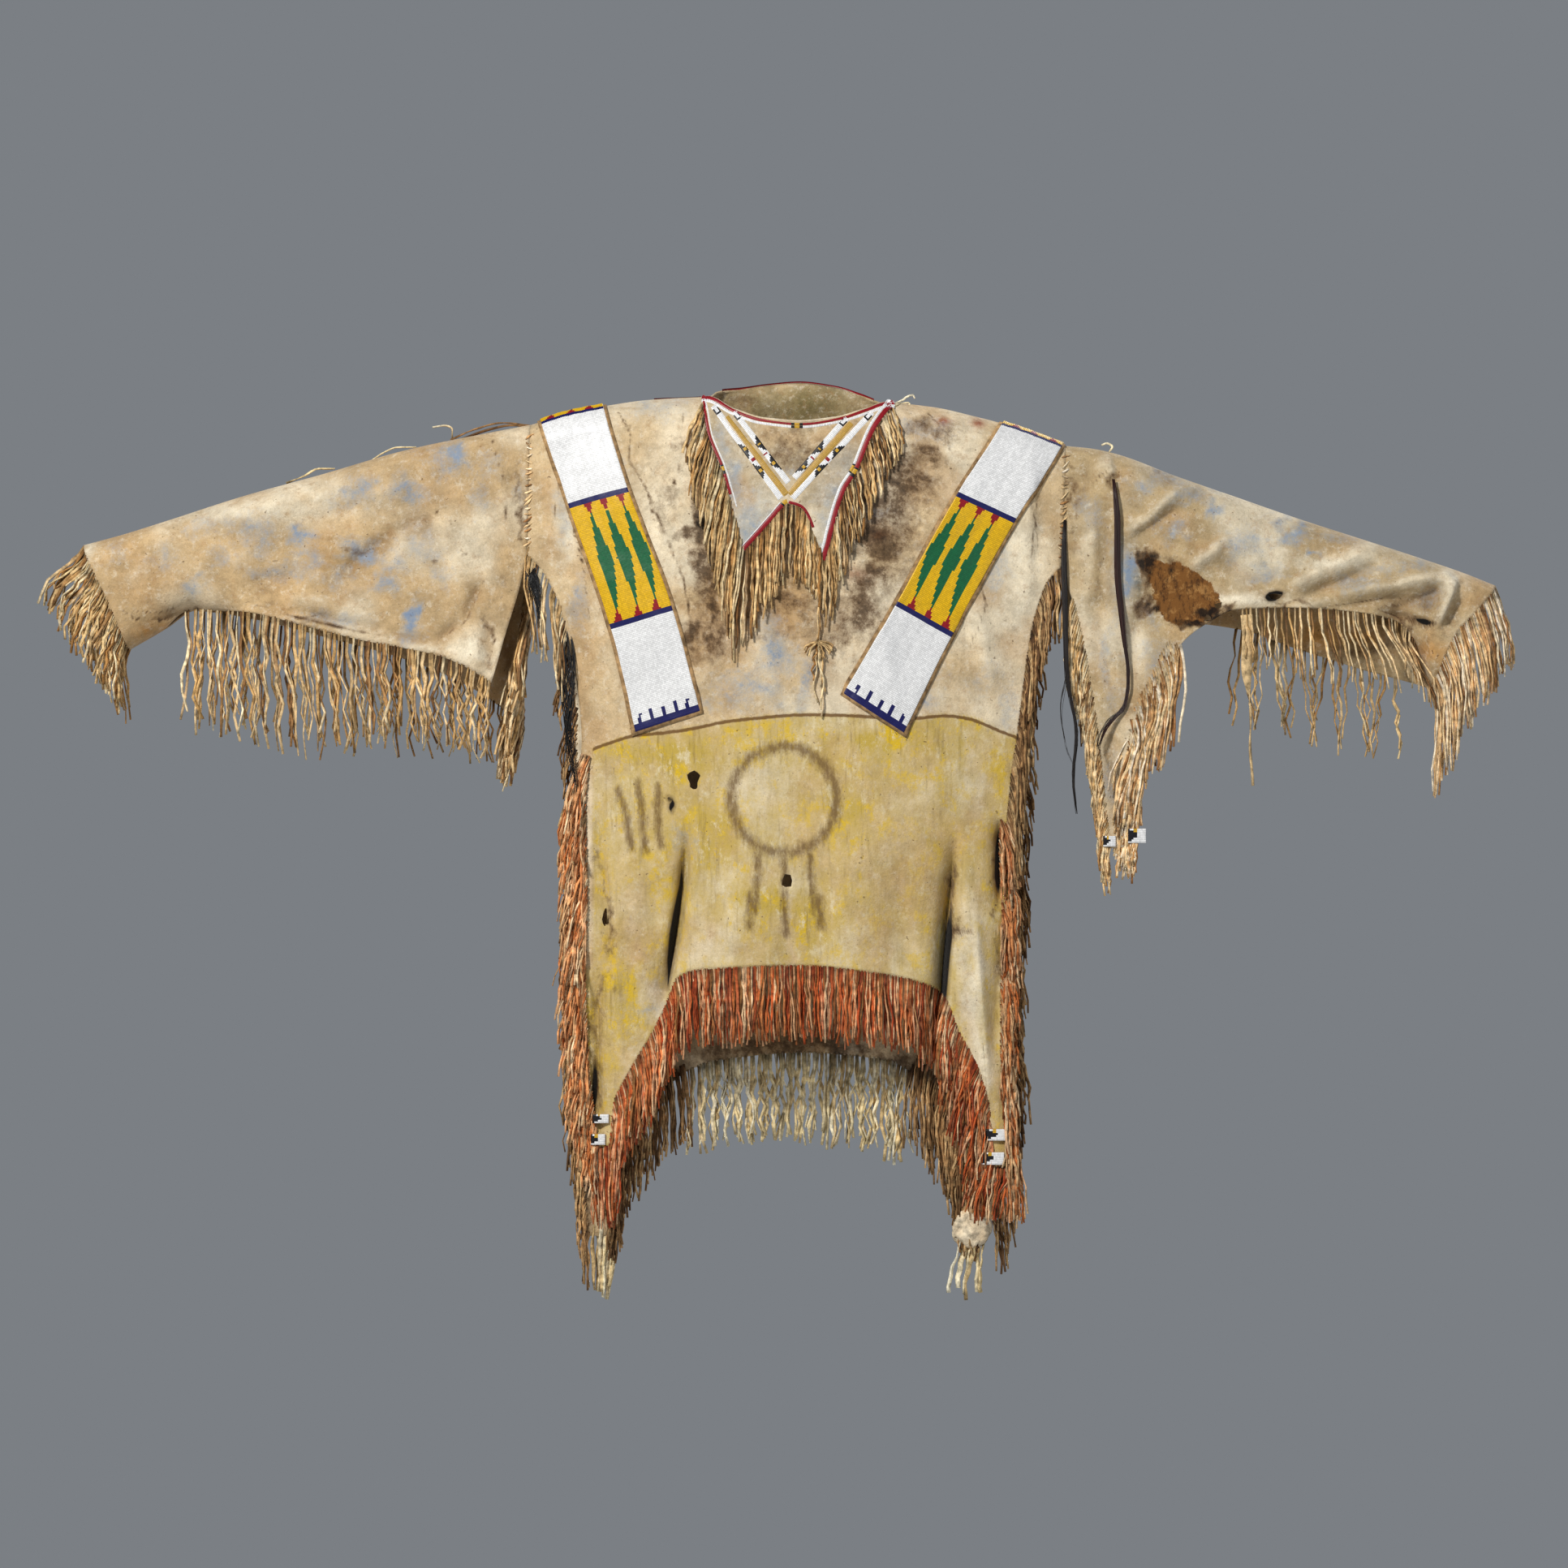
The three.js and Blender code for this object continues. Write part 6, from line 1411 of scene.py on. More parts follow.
def hangingPaths(roots, outward, tips, steps, rng, wander, start=0.36):
    # cubic Bezier from root to tip: it leaves along outward and arrives nearly straight down; small seeded
    # waves on top
    t = np.linspace(0, 1, steps)[None, :, None]
    reach = np.linalg.norm(tips - roots, axis=1)[:, None]
    first = roots + outward * reach * start + np.array([0, 0, -0.24]) * reach * (start < 0.3)
    stray = rng.normal(0, 1, roots.shape) * reach * np.array([0.04, 0.03, 0])
    last = tips + np.array([0, 0, 0.42]) * reach + stray
    a, b, c, d = (p[:, None] for p in (roots, first, last, tips))
    paths = a * (1 - t) ** 3 + 3 * b * t * (1 - t) ** 2 + 3 * c * t * t * (1 - t) + d * t ** 3
    phase = rng.random((len(roots), 1, 2)) * 2 * math.pi
    pace = 1.2 + 2.2 * rng.random((len(roots), 1, 2))
    wave = np.sin(phase + pace * t * 2 * math.pi) * wander * smooth(0, 0.35, t)
    paths[..., 0] += wave[..., 0]
    paths[..., 1] += wave[..., 1] * 0.8
    return paths


thongInk = {
    "tan": ["#d9b47c", "#c69a60", "#ecd09a", "#ad7d46", "#efdab0", "#7d5630", "#e2c08a"],
    "gold": ["#e6c592", "#d2a86c", "#f5e1b8", "#ad8252", "#7c5836", "#eccd9c", "#dab47c", "#f0d9ae"],
    "cream": ["#ecdcb4", "#dcc594", "#f8eed0", "#c4a674", "#e6d2a2"],
    "red": ["#cc6834", "#b04a26", "#de8850", "#8e3a1e", "#e6b284", "#c25a2c", "#a8683c", "#ecc89c",
            "#8c6238"],
    "peach": ["#e2985e", "#cf7c44", "#eec092", "#b9642f", "#dcb484", "#eaae78", "#f2d6ac", "#96582e",
              "#d2a878"],
    "pink": ["#f2d6a6", "#e0b680", "#faead0", "#c08e58", "#eac894", "#9c6c40", "#f6e0ba"],
    "brown": ["#a07a50", "#7c5a38", "#bd9464", "#5f432a", "#d3b07e"],
}


def thongTintsShadedAtRoot(kind, count, steps, x, rng):
    # each thong's own colour, darker at the root by a painted shade where it leaves the hide, and a little
    # paler or darker down its length
    choices = np.array([rgb(value) for value in thongInk[kind]])
    pick = choices[rng.integers(0, len(choices), count)]
    other = choices[rng.integers(0, len(choices), count)]
    down = np.linspace(0, 1, steps)[None, :, None]
    tint = mix(pick[:, None], other[:, None], down * rng.random((count, 1, 1)))
    # painted shade at the root, times a tone that differs at random
    shade = mix(0.5, 1.0, smooth(0.0, 0.25, down)) * mix(0.7, 1.25, noise(x, x * 0, 16, 71)[:, None, None])
    return tint * shade


# what a row leaves unsaid, in mm: tier is each layer's step back from the edge, rise a share of the roots'
# height there, lift the tips' distance off the hide and ruffle its unevenness, spread how much the lean
# varies, and gather how far apart the tips' clumps are
fringe = {"pitch": 2.9, "width": 3.0, "thick": 1.3, "inside": 1.2, "steps": 7, "start": 0.12, "wander": 1.1,
          "tier": 0, "rise": 1, "lift": 1, "ruffle": 3.0, "spread": 0, "gather": None}


def fringeRow(name, on, edge, span, lean, drop, ink, layers, **rest):
    # the solid's name, its hide and edge, from and to in its rows or columns, lean and drop at points evenly
    # spaced along it, colour, layers, and what differs from the rest
    return {**fringe, "name": name, "on": on, "edge": edge, "span": span, "lean": lean, "drop": drop,
            "ink": ink, "layers": layers, **rest}


fringeRows = [
    fringeRow("hem_front", front, "bottom", (6.9, 14.2), (0, 0), (86, 80), "red", 3, width=2.6),
    fringeRow("hem_front_right", front, "bottom", (0, 6.9), (2, 4), (92, 82), "red", 3, width=2.6),
    fringeRow("hem_front_left", front, "bottom", (14.2, 20), (-6, -34, -22), (88, 84, 60), "red", 3,
              width=2.6, spread=0.9),
    fringeRow("side_front_right", front, "left", (9.9, 16), (-24, -26, -10), (70, 70, 56), "peach", 3,
              tier=4.0, start=0.1, spread=0.85),
    fringeRow("side_front_left", front, "right", (10.7, 16), (18, 12, 14), (66, 64, 72), "peach", 3, tier=3.4,
              start=0.1, spread=0.85),
    fringeRow("underarm_right", front, "left", (5.2, 7.6), (4, -6), (108, 74), "gold", 1, pitch=3.8,
              gather=11),
    fringeRow("underarm_left", front, "right", (5.2, 10.8), (-3, 12), (80, 74), "brown", 2, gather=9),
    fringeRow("hem_back", back, "bottom", (6, 14), (0, 0), (94, 108), "cream", 2, pitch=4.3, wander=3.2,
              width=4.3, gather=14),
    fringeRow("hem_back_right", back, "bottom", (1.5, 6), (4, 4), (56, 84), "brown", 2, tier=8, rise=-2.4),
    fringeRow("hem_back_left", back, "bottom", (14, 18.5), (-4, -4), (86, 60), "brown", 3, tier=8, rise=-2.4),
    fringeRow("side_back_right", back, "left", (7, 16), (-20, -18, -4), (56, 60, 66), "brown", 1, start=0.1,
              spread=0.8),
    fringeRow("side_back_left", back, "right", (7, 16), (20, 18), (56, 70), "brown", 1, start=0.1,
              spread=0.8),
    fringeRow("sleeve_right_front", leaves["right"]["front"], "bottom", (2.8, 16), (0, 8, -2),
              (140, 150, 104, 92), "gold", 1, pitch=3.7, wander=3.6, width=3.8, gather=15),
    fringeRow("sleeve_right_back", leaves["right"]["back"], "bottom", (3, 15.6), (0, 0), (124, 126, 66),
              "tan", 1, pitch=6, wander=3.4, gather=17),
    fringeRow("sleeve_right_inner", leaves["right"]["back"], "right", (4.9, 7), (-8, -26), (120, 76), "gold",
              4, width=3.8, lift=-8, spread=0.9),
    fringeRow("cuff_right_front", leaves["right"]["front"], "left", (0.2, 7), (-54, -4), (62, 80), "tan", 2,
              start=0.12, width=3.6, wander=2.4, spread=0.4),
    fringeRow("cuff_right_back", leaves["right"]["back"], "left", (0.6, 7), (-40, 0), (66, 82), "tan", 1,
              start=0.2),
    fringeRow("sleeve_left_front", leaves["left"]["front"], "bottom", (1.4, 7), (26, 30, 6, 4),
              (80, 84, 84, 60), "gold", 1, pitch=4.2, width=2.4, spread=0.3),
    fringeRow("sleeve_left_back", leaves["left"]["back"], "bottom", (1, 7), (0, 0), (90, 116), "tan", 1,
              pitch=6, wander=2.8, gather=33),
    fringeRow("sleeve_left_drop", leaves["left"]["front"], "bottom", (9.1, 15.4), (-14, -26, -12, 2),
              (112, 100, 84, 40), "pink", 4, width=3.4, lift=-0.3, spread=0.9, tier=4.5, rise=0.1,
              ruffle=0.5),
    fringeRow("sleeve_left_inner", leaves["left"]["front"], "right", (4.2, 7), (-6, -4), (84, 56), "gold", 2,
              lift=-0.5, ruffle=0.6),
    fringeRow("cuff_left_front", leaves["left"]["front"], "left", (0.2, 7), (20, 6), (84, 122), "pink", 2,
              start=0.16),
    fringeRow("cuff_left_back", leaves["left"]["back"], "left", (0.6, 7), (18, 6), (88, 128), "pink", 1,
              start=0.16),
]


def edgeLine(form, edge, low, high):
    # x, z along one edge of a hide, between two of its solid's rows or columns, and a point just inside each
    t = np.linspace(low, high, 300)
    if edge == "bottom":
        u, v = t / form["columns"], np.ones_like(t)
        inner = form["flat"](u, v - 0.03)
    else:
        v = (t / form["rows"]) ** form["spread"]
        u = np.zeros_like(t) if edge == "left" else np.ones_like(t)
        inner = form["flat"](np.abs(u - 0.03), v)
    return form["flat"](u, v), inner


def spread(values, share):
    # a few values spaced evenly from share 0 to 1, straight between them
    return np.interp(share, np.linspace(0, 1, len(values)), values)


def edgeThongs(row, seed):
    # roots spaced by the pitch along the edge, set back a little into the hide; tips at lean and drop
    rng = np.random.default_rng(seed)
    form = row["on"]
    line, inner = edgeLine(form, row["edge"], *row["span"])
    run = runOf(line)
    count = int(run[-1] / row["pitch"])
    parts = []
    for layer in range(row["layers"]):
        at = (np.arange(count) + 0.5 + 0.35 * rng.normal(0, 1, count)) * run[-1] / count
        share = np.clip(at / run[-1], 0, 1)
        flat = pointsAt(at, run, line)
        tangent = unit(pointsAt(at, run, np.gradient(line, axis=0)))
        out = leftOf(tangent)
        out *= np.sign((out * (flat - pointsAt(at, run, inner))).sum(-1, keepdims=True))
        flat = flat - out * (row["inside"] + row["tier"] * layer)
        deep = form["depth"](flat[:, 0], flat[:, 1])
        onTier = (1.6 + 0.9 * layer) * row["rise"] if row["tier"] else 0
        raised = 0.4 * rng.normal(0, 1, count) + onTier
        roots = np.stack([flat[:, 0], form["side"] * (deep + raised), flat[:, 1]], -1)
        outward = unit(np.stack([out[:, 0], 0.12 * rng.normal(0, 1, count), out[:, 1]], -1))
        uneven = 1 - 0.22 * rng.random(count) ** 2 + 0.04 * rng.normal(0, 1, count)
        long = spread(row["drop"], share) * uneven
        clump = 8 * (noise(at, at * 0 + layer * 40, 15, seed, 1) - 0.5)
        lean = spread(row["lean"], share) * mix(1 - row["spread"], 1, rng.random(count))
        if row["gather"]:
            lean = lean + 0.75 * (np.round(at / row["gather"]) * row["gather"] - at) * tangent[:, 0]
        off = form["side"] * row["lift"] * (1 + 2.0 * layer)
        aside = lean + clump + 1.8 * rng.normal(0, 1, count)
        tips = roots + np.stack([aside, row["ruffle"] * rng.normal(0, 1, count) + off, -long], -1)
        paths = hangingPaths(roots, outward, tips, row["steps"], rng, row["wander"], row["start"])
        parts.append(thongsAt(paths, row["ink"], rng, row["width"]))
    return joined(parts)


def thongsAt(paths, ink, rng, width, thick=fringe["thick"]):
    # widths vary from thong to thong and narrow to the tip; each turns about itself by its own amount
    count, steps = paths.shape[:2]
    down = np.linspace(0, 1, steps)[None]
    wide = width * mix(0.72, 1.15, rng.random((count, 1))) * (1 - 0.3 * down)
    deep = thick * np.ones_like(wide)
    turn = rng.random((count, 1)) * math.pi * 0.6 + down * rng.normal(0, 2.6, (count, 1))
    return thongs(paths, wide, deep, turn, thongTintsShadedAtRoot(ink, count, steps, paths[:, 0, 0], rng))


strap = {"x": 500, "z": -233, "broad": 13, "length": 84, "thick": 1.6, "tail": 104, "sway": 6,
         "colour": "#dcbd8c"}


def hangingStrap(form, row):
    # a flat strap, narrowing to a twisted thong: its width falls to 0.3 of itself near the end of length,
    # and evenly by another 0.3 from top to tip
    down = np.linspace(0, 1, 26)[None]
    fall = down * (row["length"] + row["tail"])
    x = row["x"] + row["sway"] * smooth(0, 1, down) + 1.2 * np.sin(down * 14)
    y = form["side"] * (form["depth"](np.array([row["x"]]), np.array([row["z"]])) + 2.5) * np.ones_like(x)
    path = np.stack([x, y, row["z"] - fall], -1)
    narrowed = mix(1.0, 0.3, smooth(0.7 * row["length"], row["length"] * 1.1, fall))
    wide = row["broad"] * narrowed * (1 - 0.3 * down)
    turn = smooth(row["length"] * 0.9, row["length"] * 1.3, fall) * 7.0 * down
    tint = rgb(row["colour"]) * mix(1.0, 0.7, down)[..., None]
    return thongs(path, wide, np.full_like(wide, row["thick"]), turn, tint)


def thongPiece(name, parts, slot, *nodes, skin=thongSkin):
    points, quads, tint = joined(parts)
    piece = meshPiece(name, points, [quads], skin, tint)
    finishPiece(piece, slot, *nodes)
    return piece


fringeTotal = 0
for number, row in enumerate(fringeRows):
    slot = "fringe_red" if row["ink"] in ("red", "peach") else "fringe"
    parts = [edgeThongs(row, 200 + number)]
    if row["name"] == "sleeve_left_front":
        parts.append(hangingStrap(row["on"], strap))
    piece = thongPiece("thongs_" + row["name"], parts, slot, "fringe_" + row["name"])
    fringeTotal += triangles(piece)
print("edge fringe made", fringeTotal)


def lyingThongs(form, roots, tips, rng, ink, out, wander, steps, width):
    # thongs that lie on a hide: a hanging path's x, z, its y from the hide's depth plus a distance out
    zero = np.zeros(len(roots))
    a = np.stack([roots[:, 0], zero, roots[:, 1]], -1)
    b = np.stack([tips[:, 0], zero, tips[:, 1]], -1)
    away = unit(b - a + np.array([0, 0, 0.001]))
    paths = hangingPaths(a, away, b, steps, rng, wander)
    deep = form["depth"](paths[..., 0], paths[..., 2])
    settled = mix(0.5, 1.0, smooth(0, 0.2, np.linspace(0, 1, steps)))[None]
    lift = out * settled * mix(0.7, 1.8, rng.random((len(a), 1)))
    paths[..., 1] = form["side"] * (deep + 2.2 + lift)
    return thongsAt(paths, ink, rng, width)


def makeFlapFringe(name, form, flap, reach, node, extras):
    # roots along the sides and the notched bottom; tips at the same share of the reach's lower line
    rng = np.random.default_rng(len(name) * 7)
    parts = []
    for edge, low, high, lean, drop, pitch in reach:
        run = np.linspace(low, high, 200)
        line = flap[edge](run)
        count = int(runOf(line)[-1] / pitch)
        for layer in range(2 if extras else 1):
            share = np.clip((np.arange(count) + rng.random(count)) / count, 0, 1)
            roots = pointsAt(share, np.linspace(0, 1, len(line)), line)
            long = mix(*drop, share) * (1 - 0.25 * rng.random(count) ** 2)
            slope = mix(*lean, share) + 2.4 * rng.normal(0, 1, count)
            tips = roots + np.stack([slope, -long], -1)
            parts.append(lyingThongs(form, roots, tips, rng, "tan", 2.6 + 2.0 * layer, 1.0, 10, 3.1))
    if extras:
        parts += extras(rng)
    print(name, triangles(thongPiece(name, parts, "fringe", node)))


pendant = {  # hang and loose are the thongs' roots, then their tips
    "knot": (29, -262), "shortEnds": 14,
    "hang": [[(33, -176), (30, -200)], [(30, -262), (28, -262)]],
    "tail": [(32, -346), (28, -330), (36, -318), (24, -306), (33, -338)],
    "loose": [[(111, 0), (110, -3)], [(137, 8), (131, 0)]],
}


def frontPendant(rng):
    # one long thong below the flap with a knot in it, from which short ends stick out, and two loose ends at
    # the flap's upper left corner
    places = {key: np.array(value, float) for key, value in pendant.items()}
    fan = -0.15 - rng.random(pendant["shortEnds"]) * 2.8
    ends = places["knot"] + np.stack([np.cos(fan) * 17, np.sin(fan) * 19 - 2], -1)

    def fromKnot(tips):
        return np.tile(places["knot"], (len(tips), 1)), tips

    return [lyingThongs(front, *places["hang"], rng, "tan", 3.5, 1.0, 14, 2.6),
            lyingThongs(front, *fromKnot(places["tail"]), rng, "tan", 3.2, 1.6, 14, 2.2),
            lyingThongs(front, *fromKnot(ends), rng, "tan", 3.4, 0.7, 9, 2.2),
            lyingThongs(front, *places["loose"], rng, "cream", 2.0, 1.0, 9, 2.2)]


# edge, share from and to, lean at both ends, drop at both ends, pitch
frontReach = [("left", 0.02, 0.98, (-16, -8), (58, 128), 5.4), ("right", 0.02, 0.98, (11, 3), (56, 78), 5.6),
              ("bottom", 0.02, 0.98, (-4, 1), (112, 62), 4.2)]
backReach = [("left", 0.02, 0.98, (-14, -8), (46, 62), 3.2), ("right", 0.02, 0.98, (14, 8), (46, 62), 3.2),
             ("bottom", 0.02, 0.98, (-2, 2), (62, 62), 2.7)]
makeFlapFringe("frontFlapThongs", front, frontFlapForm, frontReach, "fringe_flap_front", frontPendant)
makeFlapFringe("backFlapThongs", back, backFlapForm, backReach, "fringe_flap_back", None)

tails = {
    "right": {"knob": None, "roots": (-220, -197), "top": -890, "tips": (-218, -200), "low": -994, "count": 9,
              "out": 22, "ink": "cream", "broad": 5.5},
    "left": {"knob": (201, -914, 21, 21), "roots": (188, 214), "top": -926, "tips": (177, 212), "low": -996,
             "count": 6, "out": 22, "ink": "cream", "broad": 7.0},
}


def knobMesh(x, y, z, wide, tall, deep=8):
    # a puckered lump of hide: a sphere's latitude and longitude, flattened, with seeded radial puckers
    turn, rise = np.meshgrid(np.linspace(0, 2 * math.pi, 33), np.linspace(-math.pi / 2, math.pi / 2, 17))
    pucker = 1 + 0.10 * np.sin(7 * turn + 2 * rise) * np.cos(rise) + 0.06 * np.sin(12 * turn - 3 * rise)
    px = x + wide * np.cos(rise) * np.cos(turn) * pucker
    py = y + deep * np.cos(rise) * np.sin(turn) * pucker
    pz = z + tall * np.sin(rise) * pucker
    points = np.stack([px, py, pz], -1)
    points[:, -1] = points[:, 0]
    points[0], points[-1] = (x, y, z - tall), (x, y, z + tall)
    rows, columns = px.shape
    index = np.arange(rows * columns).reshape(rows, columns)
    index[:, -1] = index[:, 0]
    index[0], index[-1] = index[0, 0], index[-1, 0]
    quads = np.stack([index[:-1, :-1], index[:-1, 1:], index[1:, 1:], index[1:, :-1]], -1)
    return points.reshape(-1, 3), quads


def makeTail(side, tail):
    rng = np.random.default_rng(31)
    along = np.linspace(0, 1, tail["count"])
    roots = np.stack([mix(*tail["roots"], along), tail["out"] + rng.normal(0, 2.5, tail["count"]),
                      tail["top"] + rng.normal(0, 4, tail["count"])], -1)
    tipX = mix(*tail["tips"], along) + rng.normal(0, 2, tail["count"])
    tipY = tail["out"] + rng.normal(0, 3, tail["count"])
    tips = np.stack([tipX, tipY, tail["low"] + 16 * rng.random(tail["count"])], -1)
    paths = hangingPaths(roots, np.tile([0.0, 0.0, -1.0], (tail["count"], 1)), tips, 12, rng, 0.8)
    parts = [thongsAt(paths, tail["ink"], rng, tail["broad"], 1.8)]
    faces = [parts[0][1]]
    points, tint = parts[0][0], parts[0][2]
    if tail["knob"]:
        kx, kz, wide, tall = tail["knob"]
        lump, quads = knobMesh(kx, tail["out"] - 2, kz, wide, tall)
        girth = quads[1:-1].reshape(-1, 4) + len(points)
        fans = np.concatenate([quads[0][:, [0, 2, 3]], quads[-1][:, [0, 1, 2]]]) + len(points)
        shade = mix(inLinear["pale"], inLinear["tan"], noise(lump[:, 0], lump[:, 2], 9, 3)[:, None] * 0.7)
        points, tint = np.concatenate([points, lump]), np.concatenate([tint, shade])
        faces += [girth, fans]
    piece = meshPiece("tail_" + side + "_thongs", points, faces, thongSkin, tint)
    finishPiece(piece, "fringe", "tail_" + side)


for side, tail in tails.items():
    makeTail(side, tail)

lacing = {
    "pitch": 6.5, "reach": 4.2, "width": 2.4, "thick": 1.0,
    "seams": [  # form, x at top and bottom, z at top and bottom
        (front, -288.2, -291.2, -34, -158), (back, -288.2, -291.2, -34, -158),
        (front, 303.2, 298.2, -56, -172), (back, 303.2, 298.2, -56, -172)],
}


def makeLacing(lace):
    # each stitch is a short thong arched over the seam, t running from -1 on one side to 1 on the other:
    # out = 0.6 + 1.7 cos(90t degrees)
    rng = np.random.default_rng(77)
    parts = []
    for form, topX, lowX, topZ, lowZ in lace["seams"]:
        count = int((topZ - lowZ) / lace["pitch"])
        at = (np.arange(count)[:, None] + 0.5) / count
        t = np.linspace(-1, 1, 7)[None]
        x = mix(topX, lowX, at) + t * lace["reach"] * mix(0.7, 1.2, rng.random((count, 1)))
        z = mix(topZ, lowZ, at) + t * rng.normal(1.5, 2.0, (count, 1)) + rng.normal(0, 1.2, (count, 1))
        out = 0.6 + 1.7 * np.cos(t * math.pi / 2) * np.ones_like(x)
        parts.append(thongsAt(layOn(form, x, z, out), "pink", rng, lace["width"], lace["thick"]))
    return parts


thongPiece("armholeLacing", makeLacing(lacing), "fringe")

looseEnds = {
    "right": [  # ink, and points (x, z) of thongs that lie along the right sleeve's fold
        ("cream", [(-560, -84), (-540, -76), (-524, -68), (-506, -68)]),
        ("cream", [(-470, -62), (-452, -50), (-436, -44), (-416, -44)]),
        ("cream", [(-376, -34), (-376, -24), (-384, -20), (-398, -22)]),
        ("brown", [(-378, -36), (-350, -24), (-320, -17), (-290, -20)]),
        ("brown", [(-366, -36), (-336, -25), (-310, -20), (-286, -22)])],
    "left": [("cream", [(352, -50), (356, -44), (350, -40), (344, -42)])],
}


def makeLooseEnds(rows):
    # each thong runs through its points on the fold, its y wandering a little about 0
    rng = np.random.default_rng(83)
    parts = []
    for k, (ink, line) in enumerate(rows):
        at = edgeThrough(line)(np.linspace(0, 1, 14))
        y = 2 * math.sin(k) + rng.normal(0, 0.5, 14).cumsum() * 0.5
        path = np.stack([at[:, 0], y, at[:, 1] - 1.4], -1)[None]
        parts.append(thongsAt(path, ink, rng, 2.6, 1.3))
    return parts


thongPiece("sleeveThongEnds", makeLooseEnds(looseEnds["right"] + looseEnds["left"]), "fringe")
print("tails, lacing and loose ends made")


locks = {  # points are x, y and z; a strand's hairs are closest at its tip, at slim of the radius
    "hair_lock_armhole": {"slim": 0.15, "strands": [
        {"ink": "#17100d", "hairs": 90, "radius": 2.2, "fine": 0.7, "points": [
            (301.5, -33, -128), (300.5, -34, -160), (301, -38, -210), (303, -39.5, -299), (314, -39.5, -366),
            (310, -39.5, -410), (314, -39.5, -452)]},
        {"ink": "#17100d", "hairs": 5, "radius": 1.0, "fine": 0.5, "points": [
            (303, -39.5, -299), (297, -39.5, -340), (302, -39.5, -378), (311, -39.5, -400)]}]},
    "hair_underarm": {"slim": 0.5, "strands": [
        {"ink": "#0c0b0b", "hairs": 60, "radius": 9, "fine": 1.0, "stray": 4.2, "points": [
            (-290, -16, -158), (-289, -23, -176), (-286, -32, -192), (-282, -38, -214)]},
        {"ink": "#0c0b0b", "hairs": 20, "radius": 3.0, "fine": 0.9, "stray": 2.2, "points": [
            (-284, -36, -186), (-280, -38, -215), (-277, -39, -248)]},
        {"ink": "#0e0c0c", "hairs": 36, "radius": 6, "fine": 0.9, "stray": 5.0, "points": [
            (-243, -30, -240), (-246, -35, -290), (-245, -38, -345), (-240, -39, -430)]}]},
    "hair_lock_sleeve": {"slim": 0.1, "strands": [
        {"ink": "#2a110c", "hairs": 110, "radius": 2.5, "fine": 0.7, "points": [
            (354, -46, -84), (358, -49, -129), (358, -50, -179), (364, -50, -245), (370, -50, -305),
            (366, -50, -335), (345, -50, -356), (338, -49, -378)]},
        {"ink": "#1a0c09", "hairs": 8, "radius": 2.0, "fine": 0.5, "points": [
            (366, -50, -335), (346, -50, -352), (336, -50, -376), (342, -49, -392)]}]},
}


def makeStrands(strand, slim, rng):
    # hairs follow the lock's line at seeded places in a disc, whose radius opens at the start and closes to
    # the slim share at the tip; each ends at its own length
    points = np.array(strand["points"], float)
    run = runOf(points)
    count = strand["hairs"]
    ends = run[-1] * (1 - 0.4 * rng.random(count) ** 2)
    at = ends[:, None] * np.linspace(0, 1, 14)
    line = np.stack([through(np.stack([run, points[:, k]], -1))(at) for k in range(3)], -1)
    angle, radius = rng.random((count, 1)) * 2 * math.pi, np.sqrt(rng.random((count, 1)))
    share = at / run[-1]
    opened = strand["radius"] * mix(0.4, 1.0, smooth(0, 0.12, share))
    opened = opened * mix(1.0, slim, smooth(0.5, 1.0, share))
    stray = strand.get("stray", 0.9) * np.sin(share * 5 * (1 + rng.random((count, 1))) + angle)
    line[..., 0] += np.cos(angle) * radius * opened + stray
    line[..., 1] += np.sin(angle) * radius * opened * 0.6
    fine = np.full(at.shape, strand["fine"]) * (1 - 0.6 * share)
    shade = rgb(strand["ink"]) * mix(0.5, 1.8, rng.random((count, 1, 1)))
    return thongs(line, fine, fine, np.zeros_like(at), np.broadcast_to(shade, (*at.shape, 3)))


def makeLock(name, lock):
    rng = np.random.default_rng(len(name))
    parts = [makeStrands(strand, lock["slim"], rng) for strand in lock["strands"]]
    thongPiece(name.replace("_", "") + "Strands", parts, "hair", name, skin=hairSkin)


for name, lock in locks.items():
    makeLock(name, lock)


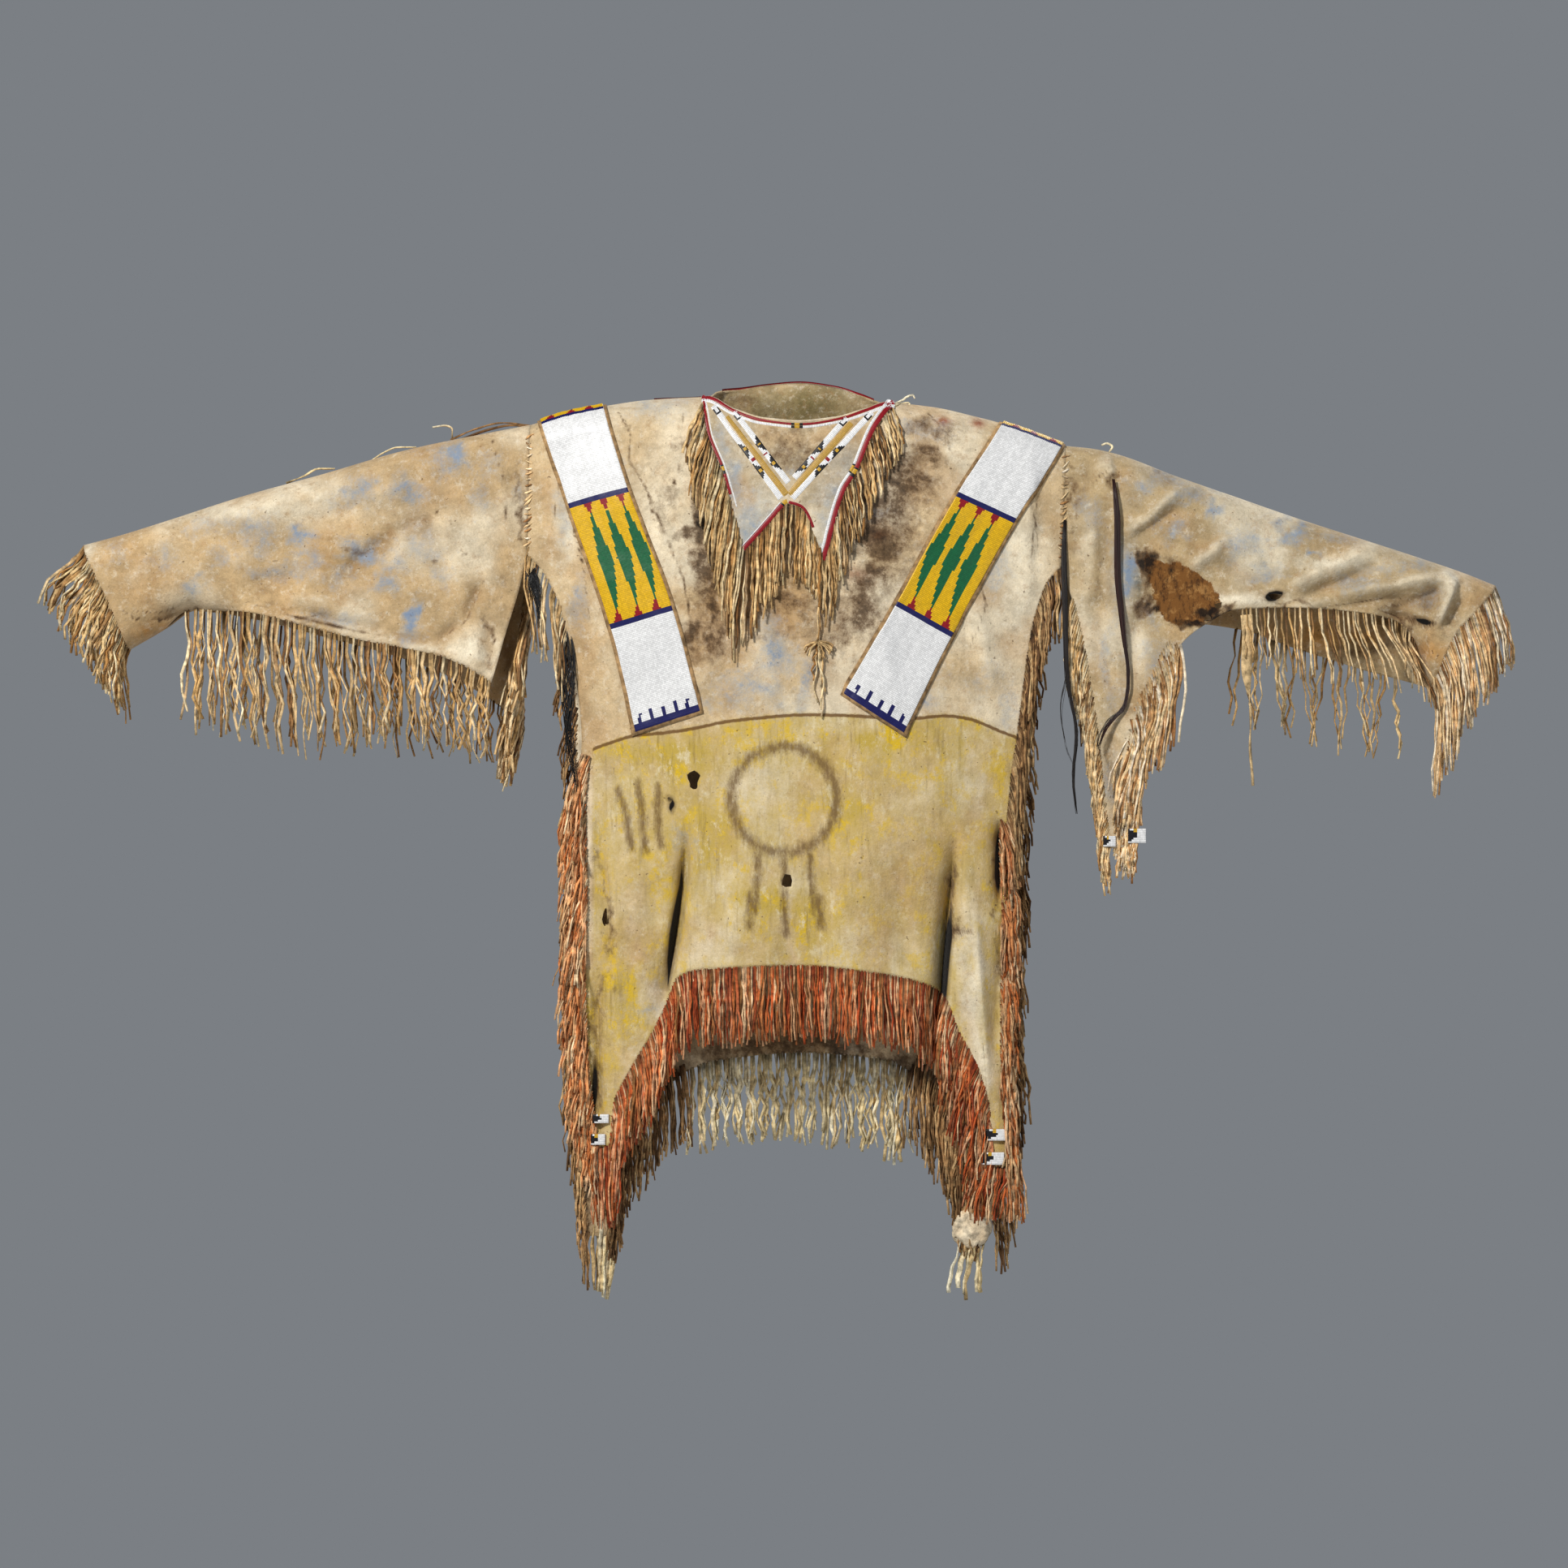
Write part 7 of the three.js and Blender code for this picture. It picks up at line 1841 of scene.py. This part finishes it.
tabs = {
    "bead": 2.0, "high": 1.2, "wall": 3,
    "rows": [  # node, x, z, wide, tall, distance from the middle plane
        ("bead_tab_leg_right_upper", -210, -788, 18, 10, 29.1),
        ("bead_tab_leg_right_lower", -213, -811, 16, 12, 28.1),
        ("bead_tab_leg_left_upper", 226, -806, 23, 13, 27),
        ("bead_tab_leg_left_lower", 222, -832, 26, 14, 28.4),
        ("bead_tab_sleeve_outer", 380, -476, 20, 16, 44.6),
        ("bead_tab_sleeve_inner", 350, -482, 14, 12, 41)],
}


def tabDesign(a, b):
    # white, with a black triangle from the left edge and a gold corner
    names = np.full(a.shape, beadOf["white"])
    names[(a < 0.55) & (np.abs(b - 0.45) < 0.45 * (0.6 - a) / 0.6 + 0.05)] = beadOf["black"]
    names[(a > 0.3) & (a < 0.5) & (b < 0.3)] = beadOf["gold"]
    return names


def makeTab(node, x, z, wide, tall, out, seed):
    # a bead sheet on the front face of a slab, whose other five sides close it
    across, along = max(4, round(wide / tabs["bead"])), max(4, round(tall / tabs["bead"]))

    def base(i, j, height):
        px = x + (j / across - 0.5) * wide
        pz = z + (0.5 - i / along) * tall
        return np.stack([px, -(out + tabs["wall"] / 2 + height - 0.4), pz], -1)

    points, quads, beadGapShade = beadSheet(base, along, across, tabs["high"], seed, across)
    a, b = np.meshgrid((np.arange(across) + 0.5) / across, (np.arange(along) + 0.5) / along)
    shades = beadShades(tabDesign(a, b), seed)
    rows, columns = points.shape[:2]
    index = np.arange(rows * columns).reshape(rows, columns)
    rim = np.concatenate([index[0, :-1], index[:-1, -1], index[-1, :0:-1], index[:0:-1, 0]])
    flat = points.reshape(-1, 3)
    rear = flat[rim] + np.array([0, tabs["wall"], 0])
    behind = np.arange(len(rim)) + len(flat)
    walls = np.stack([rim, np.roll(rim, -1), np.roll(behind, -1), behind], -1)
    cap = behind[None, ::-1]
    shades = np.concatenate([shades, np.tile(inLinear["tan"], (len(walls) + 1, 1))])
    piece = meshPiece(node.replace("_", "") + "Beads", np.concatenate([flat, rear]), [quads, walls, cap],
                      beadSkin, faceColours=shades, beadGapShade=beadGapShade)
    finishPiece(piece, "beads", node)


for seed, row in enumerate(tabs["rows"]):
    makeTab(*row, seed)
print("hair and bead tabs made")

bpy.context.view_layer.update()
print("triangles in all", sum(triangles(o) for o in scene.objects if o.type == "MESH"))
